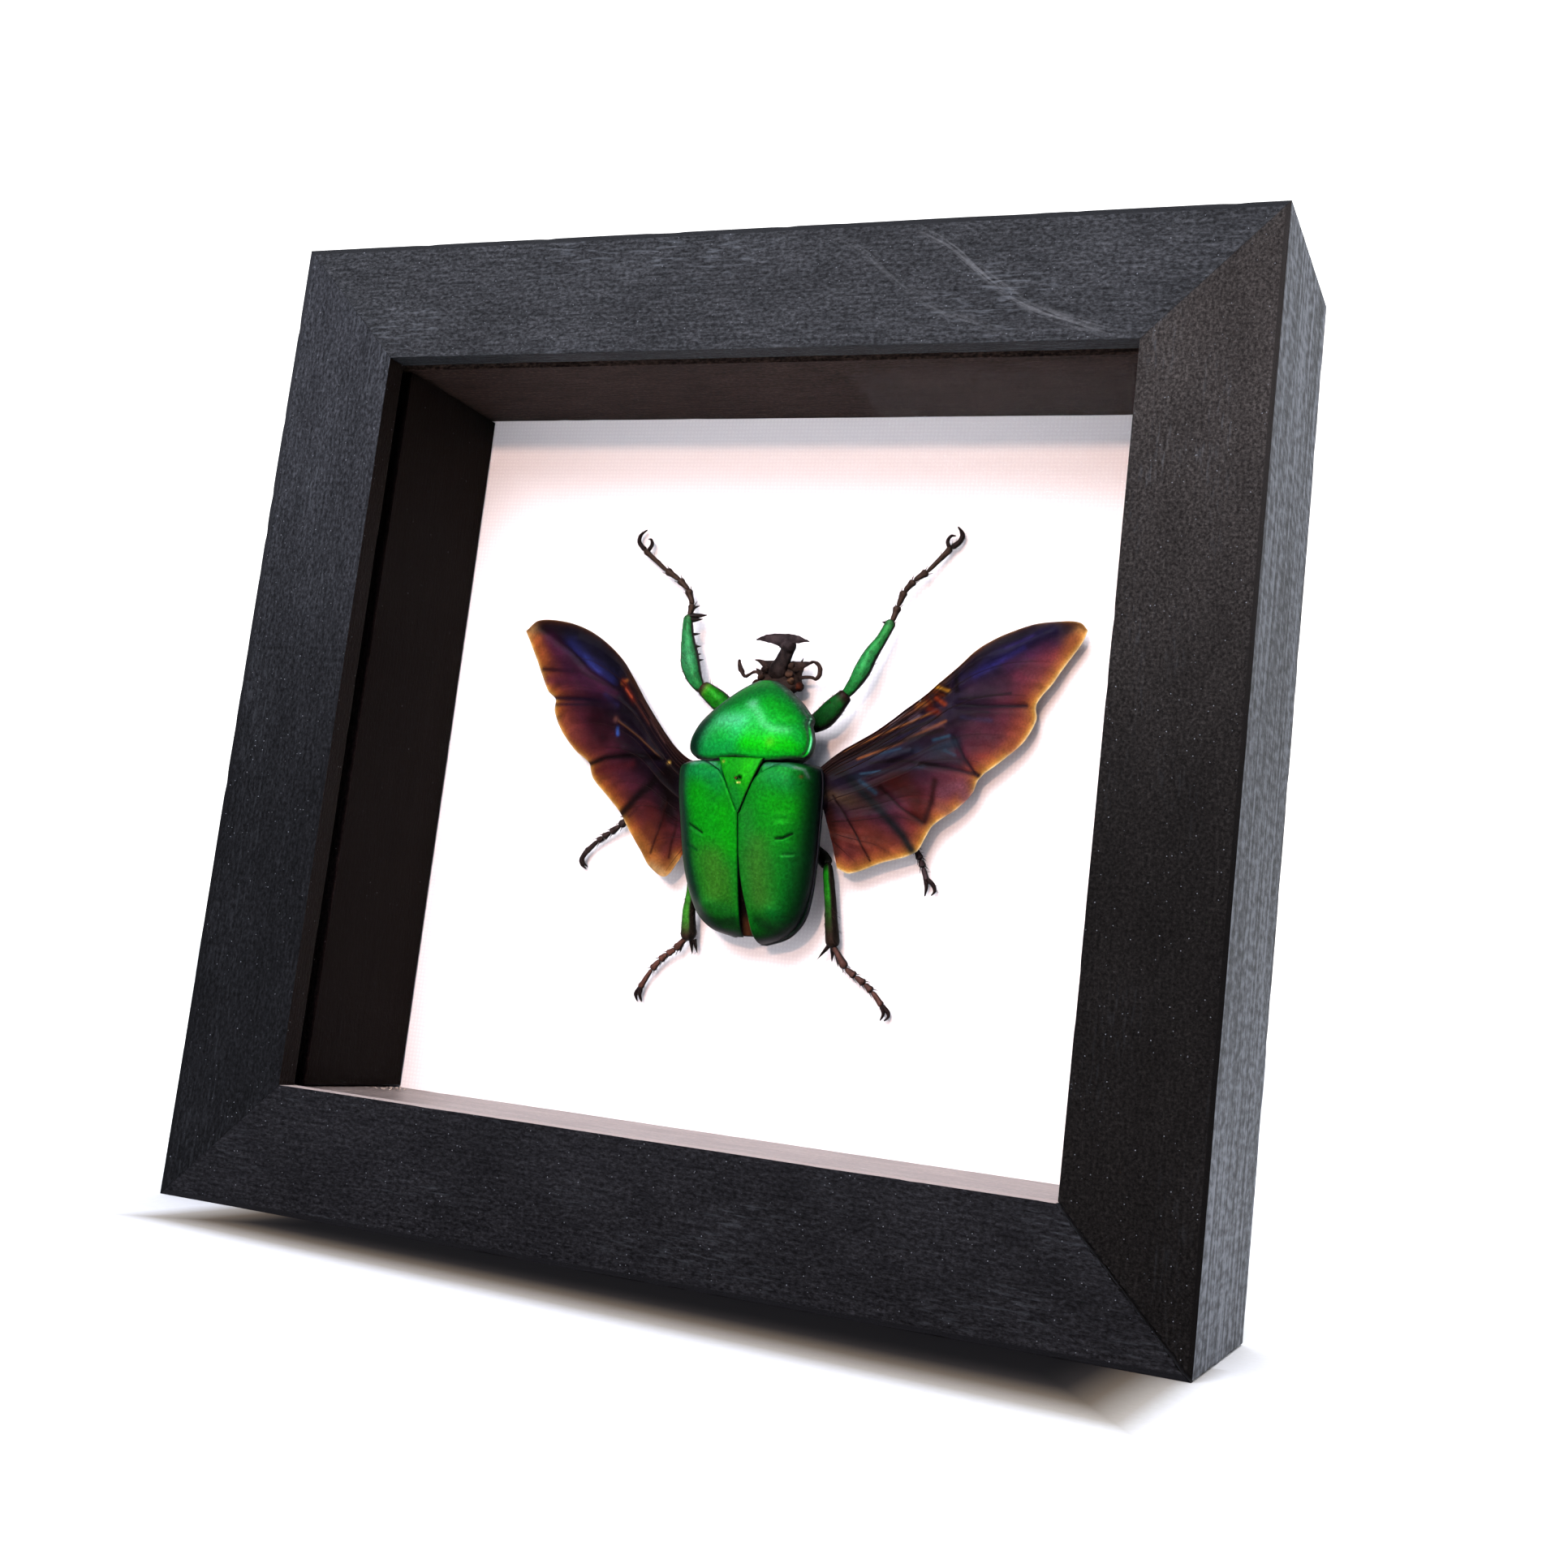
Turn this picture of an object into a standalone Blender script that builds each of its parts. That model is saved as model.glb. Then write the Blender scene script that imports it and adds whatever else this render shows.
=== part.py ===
# A framed flower beetle: a black mitred box frame with glass in front, wooden spacers, a paper-faced
# board and a back, and inside it a pinned male beetle with its hindwings and legs spread.
# Metres, +Z up. The frame stands on its bottom rail and faces -Y, and the origin is under its middle.
# The beetle is laid out in millimetres on the paper: x to the right and y up from the paper's middle,
# and h the height off the paper, towards the glass.

import math

import bmesh
import bpy
from mathutils import Matrix, Vector

MM = 0.001
GAP = 0.3 * MM

# Frame
FRAME_WIDTH = 152.0 * MM
FRAME_HEIGHT = 146.0 * MM
FRAME_DEPTH = 36.0 * MM
FACE_WIDTH = 18.0 * MM
LIP_DEPTH = 3.6 * MM
SPACER_THICKNESS = 5.0 * MM
SPACER_RECESS = 0.3 * MM
SPACER_FRONT = 6.5 * MM
GLASS_THICKNESS = 2.0 * MM
PAPER_DEPTH = 31.4 * MM
BOARD_THICKNESS = 1.2 * MM
BACK_THICKNESS = 1.2 * MM
ARRIS = 0.5 * MM

# Fixings at the back
TAB_WIDTH = 8.0 * MM
TAB_THICKNESS = 0.5 * MM
TAB_REACH = 6.0 * MM
TAB_BITE = 4.0 * MM
TAB_HEIGHT = 34.0 * MM
HANGER_LENGTH = 45.0 * MM
HANGER_HEIGHT = 9.0 * MM
HANGER_THICKNESS = 0.5 * MM
HANGER_DROP = 26.0 * MM
HANGER_PAD = 8.0 * MM
HANGER_PAD_INSET = 0.6 * MM
TOOTH_COUNT = 11
TOOTH_PITCH = 2.4 * MM
TOOTH_DEPTH = 1.6 * MM
NAIL_HEAD_RADIUS = 1.4 * MM
NAIL_RADIUS = 0.45 * MM
NAIL_HEAD_THICKNESS = 0.4 * MM

# Pin, in millimetres on the paper
PIN_PLACE = (0.2, -3.7)
PIN_RADIUS = 0.22
PIN_TOP = 14.0
PIN_END = -0.9
PIN_CLEARANCE = 0.3

# Worked out from the frame
RABBET = SPACER_THICKNESS + SPACER_RECESS + GAP
INNER_WIDTH = FRAME_WIDTH - 2 * FACE_WIDTH
INNER_HEIGHT = FRAME_HEIGHT - 2 * FACE_WIDTH
PANEL_WIDTH = INNER_WIDTH + 2 * (RABBET - GAP)
PANEL_HEIGHT = INNER_HEIGHT + 2 * (RABBET - GAP)
FRONT_Y = -FRAME_DEPTH / 2
PAPER_Y = FRONT_Y + PAPER_DEPTH
BACK_Y = PAPER_Y + BOARD_THICKNESS + GAP
FIXING_Y = BACK_Y + BACK_THICKNESS + GAP
MIDDLE_Z = FRAME_HEIGHT / 2

# Beetle body: it leans a little on the paper, about a point on its middle line, and it has a slight bend
BODY_LEAN = math.radians(2.2)
BODY_PIVOT = (1.0, -8.0)
SHELL = 0.7
SHELL_GAP = 0.5
LEFT_ELYTRON_LENGTH = 0.965

# Each row is (place along the body, value), from the tail to the head
BODY_BEND = (
    (-27.6, -0.7), (-25.3, -0.4), (-21.0, -0.05), (-12.0, -0.05), (-5.0, -0.3),
    (0.0, -0.5), (4.0, -0.4), (8.0, -0.1), (12.0, 0.0),
)
ELYTRON_HALF_WIDTH = (
    (-27.2, 2.2), (-26.4, 5.1), (-25.3, 6.9), (-23.5, 8.4), (-20.0, 9.7),
    (-16.0, 10.5), (-11.0, 11.0), (-6.0, 11.4), (-3.2, 11.4), (-2.0, 11.1), (-1.4, 10.2),
)
ELYTRON_TOP = (
    (-27.2, 7.2), (-25.5, 8.9), (-23.5, 10.1), (-20.0, 11.4), (-15.0, 12.6),
    (-9.0, 13.5), (-4.0, 13.8), (-1.4, 13.6),
)
ELYTRON_RIM = ((-27.2, 5.4), (-23.0, 6.6), (-17.0, 8.0), (-10.0, 8.8), (-1.4, 9.4))
SUTURE_GAP = ((-27.2, 2.5), (-25.3, 1.8), (-22.7, 1.35), (-20.2, 0.8), (-17.6, 0.35), (-14.5, 0.18), (-1.4, 0.18))
SCUTELLUM_HALF_WIDTH = ((-8.7, 0.12), (-4.5, 1.9), (-0.2, 3.6))
PRONOTUM_HALF_WIDTH = (
    (0.4, 9.0), (1.2, 9.8), (2.6, 10.0), (3.9, 9.6), (5.0, 9.1), (6.0, 9.1),
    (7.0, 8.1), (8.5, 6.6), (10.0, 4.8), (11.2, 3.1), (12.0, 1.7),
)
PRONOTUM_TOP = ((0.4, 13.4), (2.0, 13.5), (5.0, 12.8), (8.0, 11.4), (10.5, 9.5), (12.0, 7.8))
PRONOTUM_RIM = ((0.4, 9.6), (5.0, 8.8), (9.0, 7.6), (12.0, 6.6))
PRONOTUM_BELLY = ((0.4, 3.8), (7.0, 3.9), (9.5, 5.0), (10.3, 6.3), (12.0, 6.3))
ABDOMEN_HALF_WIDTH = (
    (-26.0, 1.6), (-25.2, 3.6), (-23.5, 5.9), (-20.0, 7.9), (-15.0, 8.9),
    (-8.0, 9.1), (-3.2, 8.8), (-1.4, 8.0),
)
ABDOMEN_TOP = ((-26.0, 6.0), (-24.5, 7.2), (-20.0, 9.6), (-15.0, 11.0), (-8.0, 11.9), (-1.4, 11.6))
ABDOMEN_SIDE = ((-26.0, 5.2), (-20.0, 5.6), (-8.0, 6.4), (-1.4, 6.6))
ABDOMEN_BELLY = ((-26.0, 4.4), (-23.0, 3.5), (-15.0, 3.2), (-1.4, 3.4))

# Head: (y, x of its middle, half width, top, underside)
HEAD_SECTIONS = (
    (10.7, 0.6, 2.3, 5.2, 2.7), (11.5, 0.7, 3.3, 5.5, 2.2), (12.4, 0.8, 3.5, 5.3, 1.9),
    (13.4, 0.9, 3.2, 4.9, 1.9), (14.2, 1.0, 3.1, 4.6, 2.3), (14.9, 1.1, 3.4, 4.4, 2.8),
    (15.4, 1.1, 3.6, 4.2, 3.2), (15.8, 1.1, 3.2, 4.0, 3.4),
)
HORN_STEM = (
    (1.3, 13.2, 4.3, 1.4), (1.6, 14.8, 4.5, 1.2), (1.8, 16.0, 4.5, 1.1),
    (1.9, 17.0, 4.8, 1.05), (1.8, 17.9, 5.5, 1.3), (1.6, 18.6, 5.9, 1.4),
)
# Horn's cross bar: (x from its middle, y of its front edge, y of its rear edge)
HORN_MIDDLE = (1.4, 6.0)
HORN_THICKNESS = 0.75
HORN_BAR = (
    (-4.4, 18.55, 18.4), (-3.2, 19.0, 18.15), (-1.9, 19.4, 17.9), (0.0, 19.5, 17.6),
    (1.9, 19.4, 17.9), (3.2, 19.0, 18.15), (4.4, 18.55, 18.4),
)

# Limbs: (x, y, height off the paper, radius)
ANTENNAE = (
    ((-1.9, 12.9, 4.0, 0.3), (-3.0, 13.9, 4.3, 0.26), (-3.7, 13.7, 4.4, 0.24), (-4.7, 12.9, 4.5, 0.24),
     (-5.2, 13.6, 4.6, 0.32), (-5.8, 14.7, 4.6, 0.34), (-6.0, 15.6, 4.6, 0.2)),
    ((3.9, 13.4, 3.8, 0.3), (5.8, 13.5, 3.9, 0.26), (6.9, 13.1, 4.0, 0.26), (7.3, 14.1, 4.1, 0.34),
     (7.0, 15.2, 4.2, 0.34), (6.2, 15.8, 4.2, 0.2)),
)
EYES = ((-3.0, 12.0, 4.0, 0.9), (4.3, 11.9, 3.7, 0.85))

LEGS = {
    "foreleg_left": {
        "femur": ((-1.6, 6.5, 2.4, 0.8), (-4.4, 6.8, 2.9, 1.1), (-6.8, 7.9, 4.3, 1.5),
                  (-8.8, 9.3, 4.9, 1.55), (-10.6, 10.5, 5.2, 1.25), (-11.5, 11.0, 5.2, 0.7)),
        "tibia": ((-11.3, 10.3, 5.2, 0.5), (-12.9, 12.4, 5.2, 0.9), (-13.9, 14.4, 5.0, 1.1),
                  (-14.8, 16.9, 4.5, 0.95), (-15.4, 18.9, 4.2, 0.74), (-15.9, 21.1, 3.8, 0.6),
                  (-16.0, 22.6, 3.5, 0.55)),
        "tarsus": ((-15.9, 22.2, 3.5), (-15.9, 24.4, 3.0), (-17.2, 26.8, 2.6), (-19.1, 28.4, 2.4),
                   (-21.7, 29.9, 2.1), (-26.4, 33.3, 1.4)),
        "claws": (((-26.2, 33.2, 1.4, 0.34), (-27.6, 34.6, 1.3, 0.3), (-27.6, 35.8, 1.1, 0.22),
                   (-26.7, 36.8, 0.8, 0.08)),
                  ((-25.6, 32.6, 1.4, 0.3), (-24.9, 33.3, 1.6, 0.5), (-24.2, 33.4, 1.7, 0.3))),
        "spines": (((-15.6, 22.3, 3.6), (-13.2, 22.6, 3.4), 0.38), ((-15.4, 21.7, 3.7), (-13.7, 21.9, 3.6), 0.3),
                   ((-15.2, 19.3, 4.1), (-13.6, 19.5, 4.0), 0.24), ((-14.4, 17.3, 4.4), (-13.0, 17.5, 4.3), 0.24),
                   ((-13.9, 16.0, 4.6), (-12.7, 16.2, 4.5), 0.22), ((-13.3, 15.1, 4.8), (-12.1, 15.3, 4.7), 0.22),
                   ((-15.9, 23.6, 3.3), (-14.6, 24.0, 3.3), 0.22)),
    },
    "foreleg_right": {
        "femur": ((2.6, 6.1, 2.4, 0.8), (5.4, 6.2, 2.9, 1.1), (8.5, 7.0, 4.4, 1.6),
                  (10.3, 8.6, 4.9, 1.6), (11.8, 10.3, 5.1, 1.25), (12.5, 11.1, 5.0, 0.7)),
        "tibia": ((12.0, 10.6, 5.1, 0.5), (13.4, 12.7, 5.0, 0.76), (14.3, 14.7, 4.8, 0.92),
                  (15.3, 17.3, 4.5, 0.82), (16.4, 19.4, 4.2, 0.64), (17.2, 21.3, 3.9, 0.6),
                  (17.7, 22.8, 3.6, 0.66)),
        "tarsus": ((17.7, 22.5, 3.6), (18.2, 25.1, 3.1), (18.8, 27.5, 2.7), (20.1, 29.2, 2.4),
                   (21.9, 30.7, 2.1), (25.0, 34.6, 1.4)),
        "claws": (((24.9, 34.5, 1.4, 0.34), (26.1, 35.5, 1.3, 0.34), (26.4, 36.7, 1.1, 0.28),
                   (25.4, 38.0, 0.8, 0.08)),
                  ((24.6, 34.2, 1.4, 0.3), (23.9, 34.9, 1.6, 0.5), (23.6, 35.4, 1.7, 0.3))),
        "spines": (((15.6, 17.0, 4.5), (14.2, 17.2, 4.5), 0.2), ((16.2, 18.2, 4.3), (14.9, 18.4, 4.3), 0.2),
                   ((16.8, 19.6, 4.1), (15.6, 19.8, 4.1), 0.2), ((17.5, 22.2, 3.7), (16.2, 22.4, 3.7), 0.3)),
    },
    "midleg_left": {
        "femur": ((-1.4, -3.6, 2.1, 0.8), (-6.5, -3.7, 2.4, 0.95), (-12.0, -4.1, 2.8, 0.85), (-14.9, -4.6, 2.8, 0.6)),
        "tibia": ((-14.6, -4.5, 2.8, 0.5), (-17.9, -5.7, 2.6, 0.62), (-20.2, -7.6, 2.3, 0.68), (-22.4, -9.3, 2.0, 0.66)),
        "tarsus": ((-22.0, -9.0, 2.0), (-24.3, -11.0, 1.7), (-25.9, -12.1, 1.5), (-27.1, -12.9, 1.4),
                   (-28.0, -13.6, 1.35), (-29.9, -15.4, 1.2)),
        "claws": (((-29.7, -15.2, 1.2, 0.32), (-30.6, -16.6, 1.1, 0.26), (-30.4, -17.5, 0.9, 0.2), (-29.7, -18.0, 0.7, 0.07)),
                  ((-29.6, -15.3, 1.3, 0.28), (-30.1, -16.5, 1.5, 0.22), (-29.8, -17.3, 1.3, 0.16), (-29.3, -17.7, 1.1, 0.07))),
        "spines": (((-22.2, -9.2, 1.9), (-22.6, -10.9, 1.5), 0.22), ((-22.5, -9.2, 2.1), (-24.1, -9.5, 1.9), 0.22)),
    },
    "midleg_right": {
        "femur": ((3.4, -2.6, 2.1, 0.8), (8.0, -2.6, 2.5, 0.95), (12.4, -1.9, 2.9, 0.85), (14.4, -1.7, 2.8, 0.6)),
        "tibia": ((14.0, -1.7, 2.8, 0.5), (16.2, -2.7, 2.7, 0.7), (18.6, -4.5, 2.4, 0.72), (21.2, -7.3, 2.1, 0.72)),
        "tarsus": ((20.9, -7.0, 2.1), (22.8, -8.6, 1.9), (24.6, -10.9, 1.6), (25.4, -12.3, 1.5),
                   (25.9, -13.4, 1.4), (26.6, -15.3, 1.2)),
        "claws": (((26.4, -15.0, 1.2, 0.3), (26.6, -16.2, 1.1, 0.22), (26.4, -17.5, 0.8, 0.07)),
                  ((26.6, -15.0, 1.2, 0.32), (27.6, -15.7, 1.2, 0.27), (27.9, -16.6, 1.0, 0.2), (27.4, -17.3, 0.8, 0.07))),
        "spines": (((21.2, -7.2, 2.0), (20.4, -8.8, 1.6), 0.22), ((21.0, -7.4, 1.9), (21.4, -9.2, 1.5), 0.22)),
    },
    "hindleg_left": {
        "femur": ((-1.2, -12.2, 2.1, 0.8), (-4.6, -13.2, 2.2, 1.05), (-8.4, -15.6, 2.9, 1.0), (-9.8, -16.8, 3.6, 0.65)),
        "tibia": ((-9.7, -16.5, 3.7, 0.5), (-9.6, -18.0, 3.9, 0.6), (-9.6, -20.3, 3.7, 0.66), (-9.9, -23.0, 3.1, 0.82),
                  (-9.9, -25.8, 2.5, 0.96), (-9.8, -27.5, 2.2, 1.1)),
        "tarsus": ((-10.2, -27.0, 2.1), (-12.1, -29.0, 1.8), (-13.4, -29.8, 1.6), (-14.6, -30.9, 1.5),
                   (-15.8, -32.4, 1.4), (-17.5, -35.4, 1.2)),
        "claws": (((-17.4, -35.2, 1.2, 0.3), (-18.1, -36.3, 1.1, 0.24), (-17.8, -37.4, 0.8, 0.07)),
                  ((-17.2, -35.2, 1.3, 0.28), (-17.3, -36.4, 1.3, 0.22), (-17.0, -37.4, 1.0, 0.07))),
        "spines": (((-10.7, -27.3, 2.1), (-11.3, -29.2, 1.5), 0.24), ((-9.4, -27.4, 2.1), (-9.3, -29.2, 1.5), 0.24),
                   ((-8.9, -27.2, 2.1), (-8.5, -29.0, 1.5), 0.24)),
    },
    "hindleg_right": {
        "femur": ((3.6, -10.8, 2.1, 0.8), (7.2, -11.6, 2.2, 1.1), (10.6, -13.2, 3.1, 1.05), (11.9, -14.4, 3.6, 0.65)),
        "tibia": ((11.9, -14.0, 3.7, 0.5), (12.2, -16.0, 3.6, 0.66), (12.7, -19.5, 3.0, 0.72), (13.1, -23.0, 2.5, 0.8),
                  (13.6, -26.3, 2.1, 0.9)),
        "tarsus": ((13.6, -26.0, 2.1), (15.8, -29.1, 1.7), (17.4, -30.1, 1.5), (18.9, -31.0, 1.4),
                   (20.2, -32.0, 1.4), (21.9, -33.9, 1.2)),
        "claws": (((21.8, -33.7, 1.2, 0.3), (22.8, -34.7, 1.1, 0.26), (22.9, -35.3, 1.0, 0.18), (22.2, -36.0, 0.7, 0.07)),
                  ((21.7, -33.8, 1.3, 0.28), (22.2, -34.9, 1.3, 0.22), (21.7, -36.0, 1.0, 0.07))),
        "spines": (((12.9, -26.0, 2.0), (11.3, -27.9, 1.4), 0.24), ((13.5, -26.3, 2.0), (13.4, -28.2, 1.4), 0.24),
                   ((14.0, -26.4, 2.0), (14.4, -28.7, 1.4), 0.24)),
    },
}
TARSUS_NARROW = 0.26
TARSUS_WIDE = 0.46

# Hindwings: the leading edge runs from the root to the tip, the margin from the tip to the rear lobe's
# end, and the root lies under the wing case. Veins are places along the margin, from 0 to 1.
WINGS = {
    "hindwing_left": {
        "leading": ((-8.7, -1.2), (-11.6, -0.3), (-14.9, 2.0), (-19.7, 7.0), (-24.0, 12.3), (-26.7, 15.3),
                    (-30.1, 17.8), (-34.0, 19.8), (-38.7, 20.9), (-43.1, 20.8), (-45.2, 19.1)),
        "margin": ((-45.2, 19.1), (-42.9, 15.6), (-41.0, 12.4), (-39.3, 9.5), (-37.7, 8.0), (-37.5, 6.1),
                   (-35.8, 3.2), (-32.9, 0.3), (-29.9, -1.7), (-28.7, -4.1), (-25.8, -6.7), (-22.9, -9.2),
                   (-21.2, -11.5), (-18.6, -14.8), (-16.9, -17.0), (-14.2, -18.3), (-11.8, -15.6)),
        "root": ((-8.7, -1.2), (-8.6, -2.2), (-8.7, -4.0), (-9.3, -8.5), (-10.9, -13.8)),
    },
    "hindwing_right": {
        "leading": ((10.3, -1.0), (12.8, 1.8), (17.9, 5.8), (23.3, 10.6), (28.5, 15.7), (31.2, 18.6),
                    (34.8, 21.1), (39.1, 22.8), (43.4, 23.5), (46.2, 23.4), (47.4, 22.3)),
        "margin": ((47.4, 22.3), (46.8, 20.5), (44.8, 17.4), (43.2, 14.5), (41.0, 11.0), (41.2, 8.9),
                   (39.7, 5.6), (36.8, 2.6), (33.8, -0.1), (33.0, -2.3), (31.0, -4.7), (27.8, -7.3),
                   (26.8, -9.3), (25.5, -11.5), (20.2, -13.6), (15.7, -15.4), (13.8, -14.8)),
        "root": ((10.3, -1.0), (10.2, -2.2), (10.3, -4.0), (11.4, -7.0), (12.9, -11.6)),
    },
}
VEINS = (0.06, 0.28, 0.48, 0.68, 0.86)
VEIN_WIDTH = 0.07
WING_THICKNESS = 0.34
WING_REST = 2.8
WING_RISE = 4.9
WING_FADE = 15.0
PLEAT = 0.32


for leftover in list(bpy.data.objects):
    bpy.data.objects.remove(leftover, do_unlink=True)

parts = bpy.data.collections.new("framed_scarab_beetle")
helpers = bpy.data.collections.new("helpers")
bpy.context.scene.collection.children.link(parts)
bpy.context.scene.collection.children.link(helpers)
helpers.hide_render = True


def make_material(name, colour, roughness, metallic=0.0, transmission=0.0):
    material = bpy.data.materials.new(name)
    material.use_nodes = True
    shader = material.node_tree.nodes["Principled BSDF"]
    shader.inputs["Base Color"].default_value = (*colour, 1.0)
    shader.inputs["Roughness"].default_value = roughness
    shader.inputs["Metallic"].default_value = metallic
    shader.inputs["Transmission Weight"].default_value = transmission
    return material


STAINED_WOOD = make_material("stained_wood", (0.028, 0.030, 0.036), 0.55)
LACQUERED_WOOD = make_material("lacquered_wood", (0.018, 0.018, 0.020), 0.35)
CLEAR_GLASS = make_material("clear_glass", (0.95, 0.98, 0.97), 0.02, transmission=1.0)
WHITE_PAPER = make_material("white_paper", (0.88, 0.88, 0.87), 0.85)
BROWN_HARDBOARD = make_material("brown_hardboard", (0.20, 0.12, 0.065), 0.7)
PLATED_STEEL = make_material("plated_steel", (0.55, 0.55, 0.54), 0.35, 1.0)
GREEN_CUTICLE = make_material("green_cuticle", (0.02, 0.42, 0.05), 0.32, 0.6)
DARK_CUTICLE = make_material("dark_cuticle", (0.035, 0.028, 0.026), 0.5)
WING_MEMBRANE = make_material("wing_membrane", (0.20, 0.07, 0.05), 0.35)
BRASS = make_material("brass", (0.75, 0.56, 0.22), 0.3, 1.0)


def add_object(name, mesh, material, smooth=False):
    mesh.materials.clear()
    mesh.materials.append(material)
    if smooth:
        mesh.shade_smooth()
        mesh.set_sharp_from_angle(angle=math.radians(40))
    obj = bpy.data.objects.new(name, mesh)
    parts.objects.link(obj)
    return obj


def mesh_from(name, bm):
    bmesh.ops.recalc_face_normals(bm, faces=bm.faces)
    mesh = bpy.data.meshes.new(name)
    bm.to_mesh(mesh)
    bm.free()
    return mesh


def add_bevel(obj, width, weighted=False):
    bevel = obj.modifiers.new("arris", "BEVEL")
    bevel.width = width
    bevel.segments = 1
    bevel.limit_method = "WEIGHT" if weighted else "ANGLE"
    bevel.angle_limit = math.radians(50)


def box(name, low, high, material):
    bm = bmesh.new()
    bmesh.ops.create_cube(bm, size=1.0)
    low = Vector(low)
    high = Vector(high)
    bmesh.ops.scale(bm, vec=high - low, verts=bm.verts)
    bmesh.ops.translate(bm, vec=(low + high) / 2, verts=bm.verts)
    return add_object(name, mesh_from(name, bm), material)


def rod(name, x, z, front, back, radius, material, segments=16):
    """A cylinder that runs along Y, from front to back."""
    bm = bmesh.new()
    bmesh.ops.create_cone(
        bm, cap_ends=True, segments=segments, radius1=radius, radius2=radius, depth=back - front,
        matrix=Matrix.Translation((x, (front + back) / 2, z)) @ Matrix.Rotation(math.radians(90), 4, "X"),
    )
    return add_object(name, mesh_from(name, bm), material, smooth=True)


def set_aside(obj, group=helpers):
    parts.objects.unlink(obj)
    group.objects.link(obj)
    obj.hide_render = True
    obj.display_type = "WIRE"


def cut(obj, cutter):
    set_aside(cutter)
    boolean = obj.modifiers.new("cut_" + cutter.name, "BOOLEAN")
    boolean.operation = "DIFFERENCE"
    boolean.object = cutter


def fuse(name, pieces):
    """Makes one solid of several overlapping ones."""
    core = pieces[0]
    core.name = name
    group = bpy.data.collections.new(name + "_pieces")
    helpers.children.link(group)
    for piece in pieces[1:]:
        set_aside(piece, group)
    boolean = core.modifiers.new("fuse", "BOOLEAN")
    boolean.operation = "UNION"
    boolean.operand_type = "COLLECTION"
    boolean.collection = group
    return core


def along(rows, place):
    """The value at a place along the body, on a smooth curve through the rows."""
    if place <= rows[0][0]:
        return rows[0][1]
    for i in range(len(rows) - 1):
        start, end = rows[i], rows[i + 1]
        if place > end[0]:
            continue
        span = end[0] - start[0]
        before = rows[max(i - 1, 0)]
        after = rows[min(i + 2, len(rows) - 1)]
        slope_in = (end[1] - before[1]) / (end[0] - before[0])
        slope_out = (after[1] - start[1]) / (after[0] - start[0])
        t = (place - start[0]) / span
        return (
            (2 * t**3 - 3 * t**2 + 1) * start[1] + (t**3 - 2 * t**2 + t) * span * slope_in
            + (3 * t**2 - 2 * t**3) * end[1] + (t**3 - t**2) * span * slope_out
        )
    return rows[-1][1]


def on_paper(x, y, h):
    return Vector((x * MM, PAPER_Y - h * MM, MIDDLE_Z + y * MM))


def on_body(x, s, h):
    """x across the body, s along it, h off the paper."""
    ahead = s - BODY_PIVOT[1]
    x += along(BODY_BEND, s)
    return on_paper(
        BODY_PIVOT[0] + x * math.cos(BODY_LEAN) - ahead * math.sin(BODY_LEAN),
        BODY_PIVOT[1] + x * math.sin(BODY_LEAN) + ahead * math.cos(BODY_LEAN),
        h,
    )


def steps(start, end, count):
    return [start + (end - start) * i / (count - 1) for i in range(count)]


def eased(start, end, count):
    """Places between two ends, closer together near both."""
    return [start + (end - start) * (1 - math.cos(math.pi * i / (count - 1))) / 2 for i in range(count)]


def dome(t, power=2.6):
    return math.sqrt(max(0.0, 1 - min(1.0, abs(t)) ** power))


def loft(name, rings, material):
    """One closed solid through sections that differ: the first half of a section is its upper side."""
    bm = bmesh.new()
    loops = [[bm.verts.new(point) for point in ring] for ring in rings]
    count = len(loops[0])
    for first, second in zip(loops, loops[1:]):
        for i in range(count):
            j = (i + 1) % count
            bm.faces.new((first[i], first[j], second[j], second[i]))
    for loop in (loops[0], loops[-1]):
        for i in range(count // 2 - 1):
            bm.faces.new((loop[i], loop[i + 1], loop[count - 2 - i], loop[count - 1 - i]))
    return add_object(name, mesh_from(name, bm), material, smooth=True)


def tube(name, path, material, sides=8, flatness=0.85):
    """A limb through (x, y, height, radius): a little flatter off the paper than along it."""
    middles = [on_paper(*point[:3]) for point in path]
    rings = []
    for i, middle in enumerate(middles):
        ahead = (middles[min(i + 1, len(path) - 1)] - middles[max(i - 1, 0)]).normalized()
        side = ahead.cross(Vector((0, -1, 0))).normalized()
        up = side.cross(ahead)
        radius = path[i][3] * MM
        angles = [math.pi * (2 * j + 1) / sides for j in range(sides)]
        rings.append([
            middle + side * radius * math.cos(a) + up * radius * flatness * math.sin(a) for a in angles
        ])
    return loft(name, rings, material)


def spine(name, foot, tip, radius, material):
    """A thorn: a five-sided cone from its foot to its tip."""
    foot = on_paper(*foot)
    tip = on_paper(*tip)
    bm = bmesh.new()
    turn = (tip - foot).to_track_quat("Z", "Y").to_matrix().to_4x4()
    bmesh.ops.create_cone(
        bm, cap_ends=True, segments=5, radius1=radius * MM, radius2=0.04 * MM, depth=(tip - foot).length,
        matrix=Matrix.Translation((foot + tip) / 2) @ turn,
    )
    return add_object(name, mesh_from(name, bm), material)


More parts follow.
